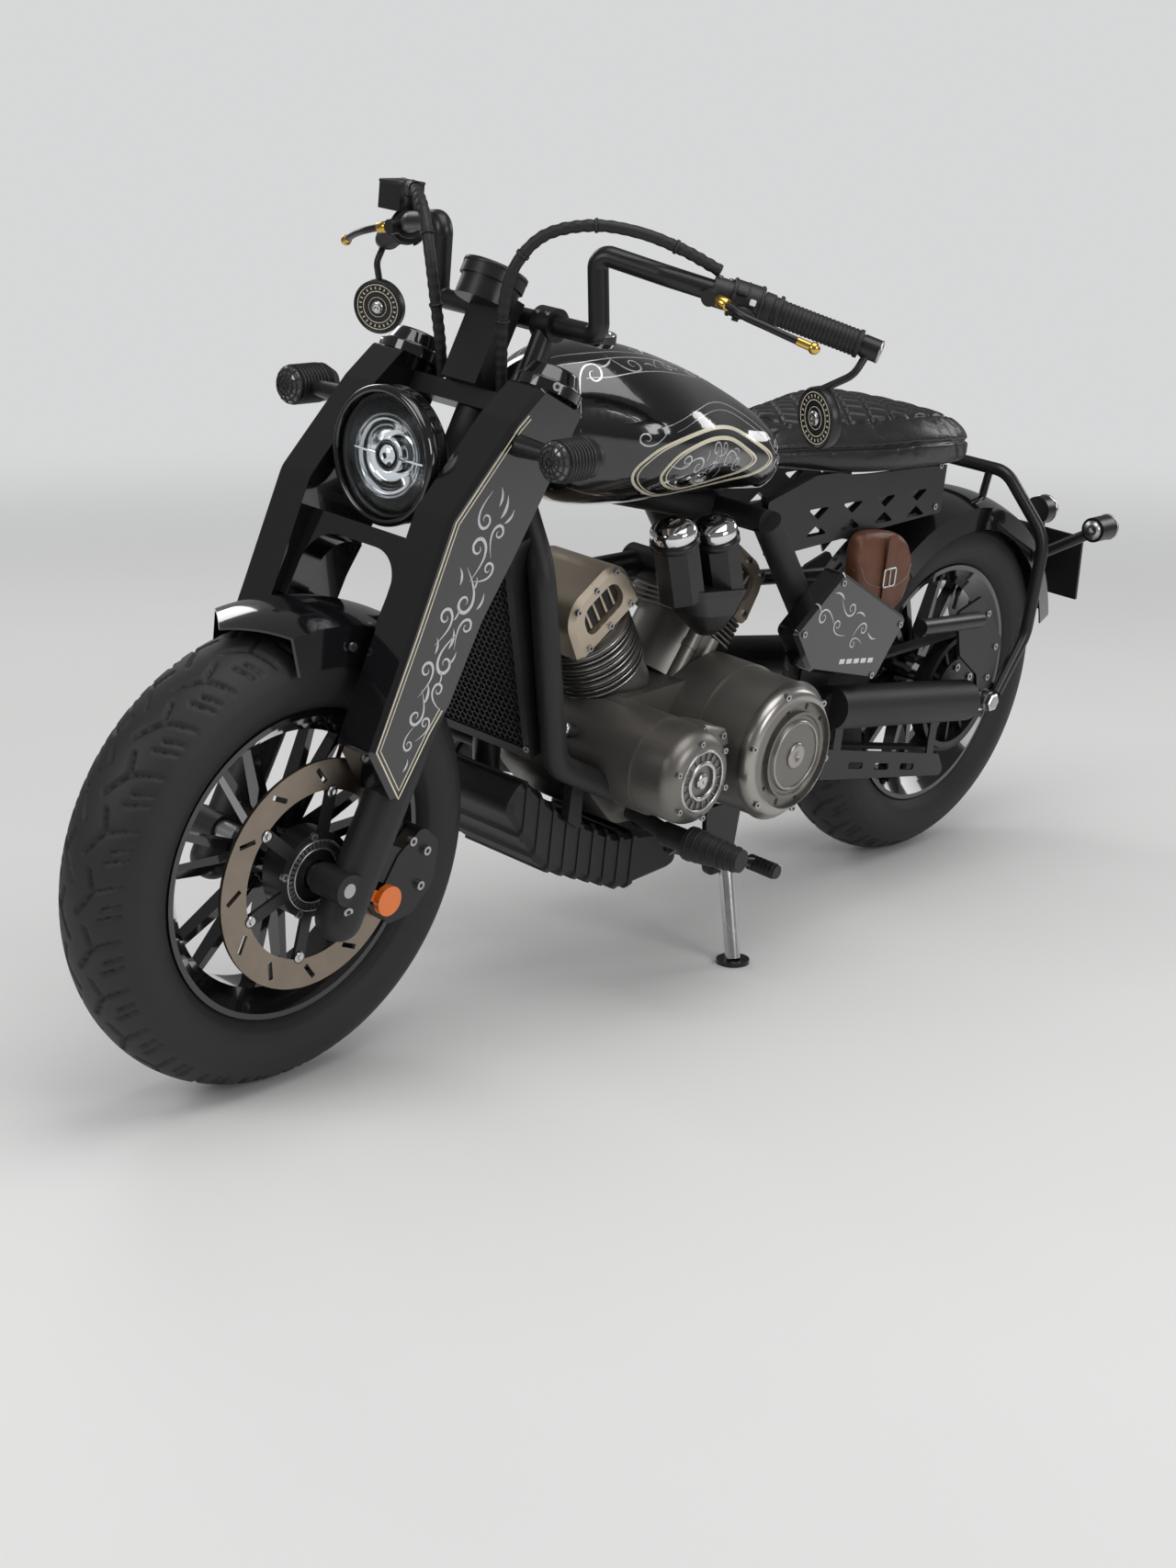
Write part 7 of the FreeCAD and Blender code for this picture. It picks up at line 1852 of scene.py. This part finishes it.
topBands = []
for side in (1, -1):
    for path, widest in (
        ([(1066, 34), (1030, 54), (985, 66), (930, 70), (870, 62), (800, 44), (730, 26), (660, 10)], 2.6),
        ([(1056, 20), (1020, 40), (980, 52), (930, 56), (872, 50), (806, 34), (740, 18), (680, 5)], 1.4),
        ([(1040, 74), (1000, 92), (940, 100), (880, 94), (820, 78), (770, 60)], 1.8),
    ):
        flat = [(p.x, p.y) for p in smoothPath([(x, y * side, 0) for x, y in path], 5)]
        topBands.append(tankTopBand(flat, taper(len(flat), widest, 0.6)))
    for size, turn, flip, at, widest in ((18, 200, 1, (1030, 76), 3.4), (16, 150, -1, (960, 84), 3.0),
                                         (15, 190, 1, (880, 78), 3.0), (13, 160, -1, (800, 58), 2.6),
                                         (12, 20, 1, (900, 40), 2.4), (11, 190, 1, (730, 38), 2.2)):
        path = [(x, y * side) for x, y in curl(size, turn, flip, at)]
        topBands.append(tankTopBand(path, taper(len(path), widest)))
    for size, turn, at in ((14, 10, (1000, 70)), (14, 170, (920, 88)), (12, 0, (850, 70)),
                           (11, 20, (770, 44))):
        path = [(x, y * side) for x, y in leaf(size, turn, at)]
        topBands.append(tankTopBand(path, taper(len(path), size * 0.22)))
mount(bandsObject("tankTopScrolls", [b for b in topBands if b]), None, "chassis", "gloss_black",
      "silverStripe")
capPlace = facing((948, 0, 987.4), (0, 0, 1))
capRing = lathe("fillerRing", [(24, -0.4), (31.6, -0.4), (32.6, 0.8), (31.4, 2.2), (27, 2.8), (24, 1.4)], 96,
                True)
mount(capRing, capPlace, "chassis", "steel", "chrome")
capTop = lathe("fillerTop", [(0.01, -0.4), (23.4, -0.4), (23, 1.6), (12, 3.2), (0.01, 3.6)], 64, True)
mount(capTop, capPlace, "chassis", "gloss_black", "glossBlack")
print("stage: tank top")

# Coolant hose from the core's foot to the case, with a clamp at each end

hoseSpots = smoothPath([(1104, 44, 462), (1072, 44, 452), (1034, 46, 438), (1000, 50, 424), (972, 56, 414)],
                       8)
hose = tubeAlong("coolantHose", hoseSpots, 11, 20)
mount(hose, None, "chassis", "soft_rubber", "softRubber")
clamps = []
for index in (5, len(hoseSpots) - 6):
    clamp = lathe("clamp", [(11.1, -4), (12.3, -4), (12.3, 4), (11.1, 4)], 32, True)
    clamp.data.transform(facing(hoseSpots[index], hoseSpots[index + 1] - hoseSpots[index - 1]))
    clamps.append(clamp)
mount(joinPieces("hoseClamps", clamps), None, "chassis", "steel", "brightMetal")
fenderBolts = []
for side in (1, -1):
    for angle in (96, 118):
        t = math.radians(angle)
        centre = Vector((1492 + 330 * math.cos(t), side * 86.2, 301 + 330 * math.sin(t)))
        fenderBolts.append((tuple(centre), (0, side, 0)))
boltHeads("fenderBolts", fenderBolts, 6, 4, "fork", "steel")
print("stage: hose and fender bolts")

makeCamera()
makeStudio()
bpy.context.scene.view_settings.view_transform = "Standard"
print("stage: camera and studio")
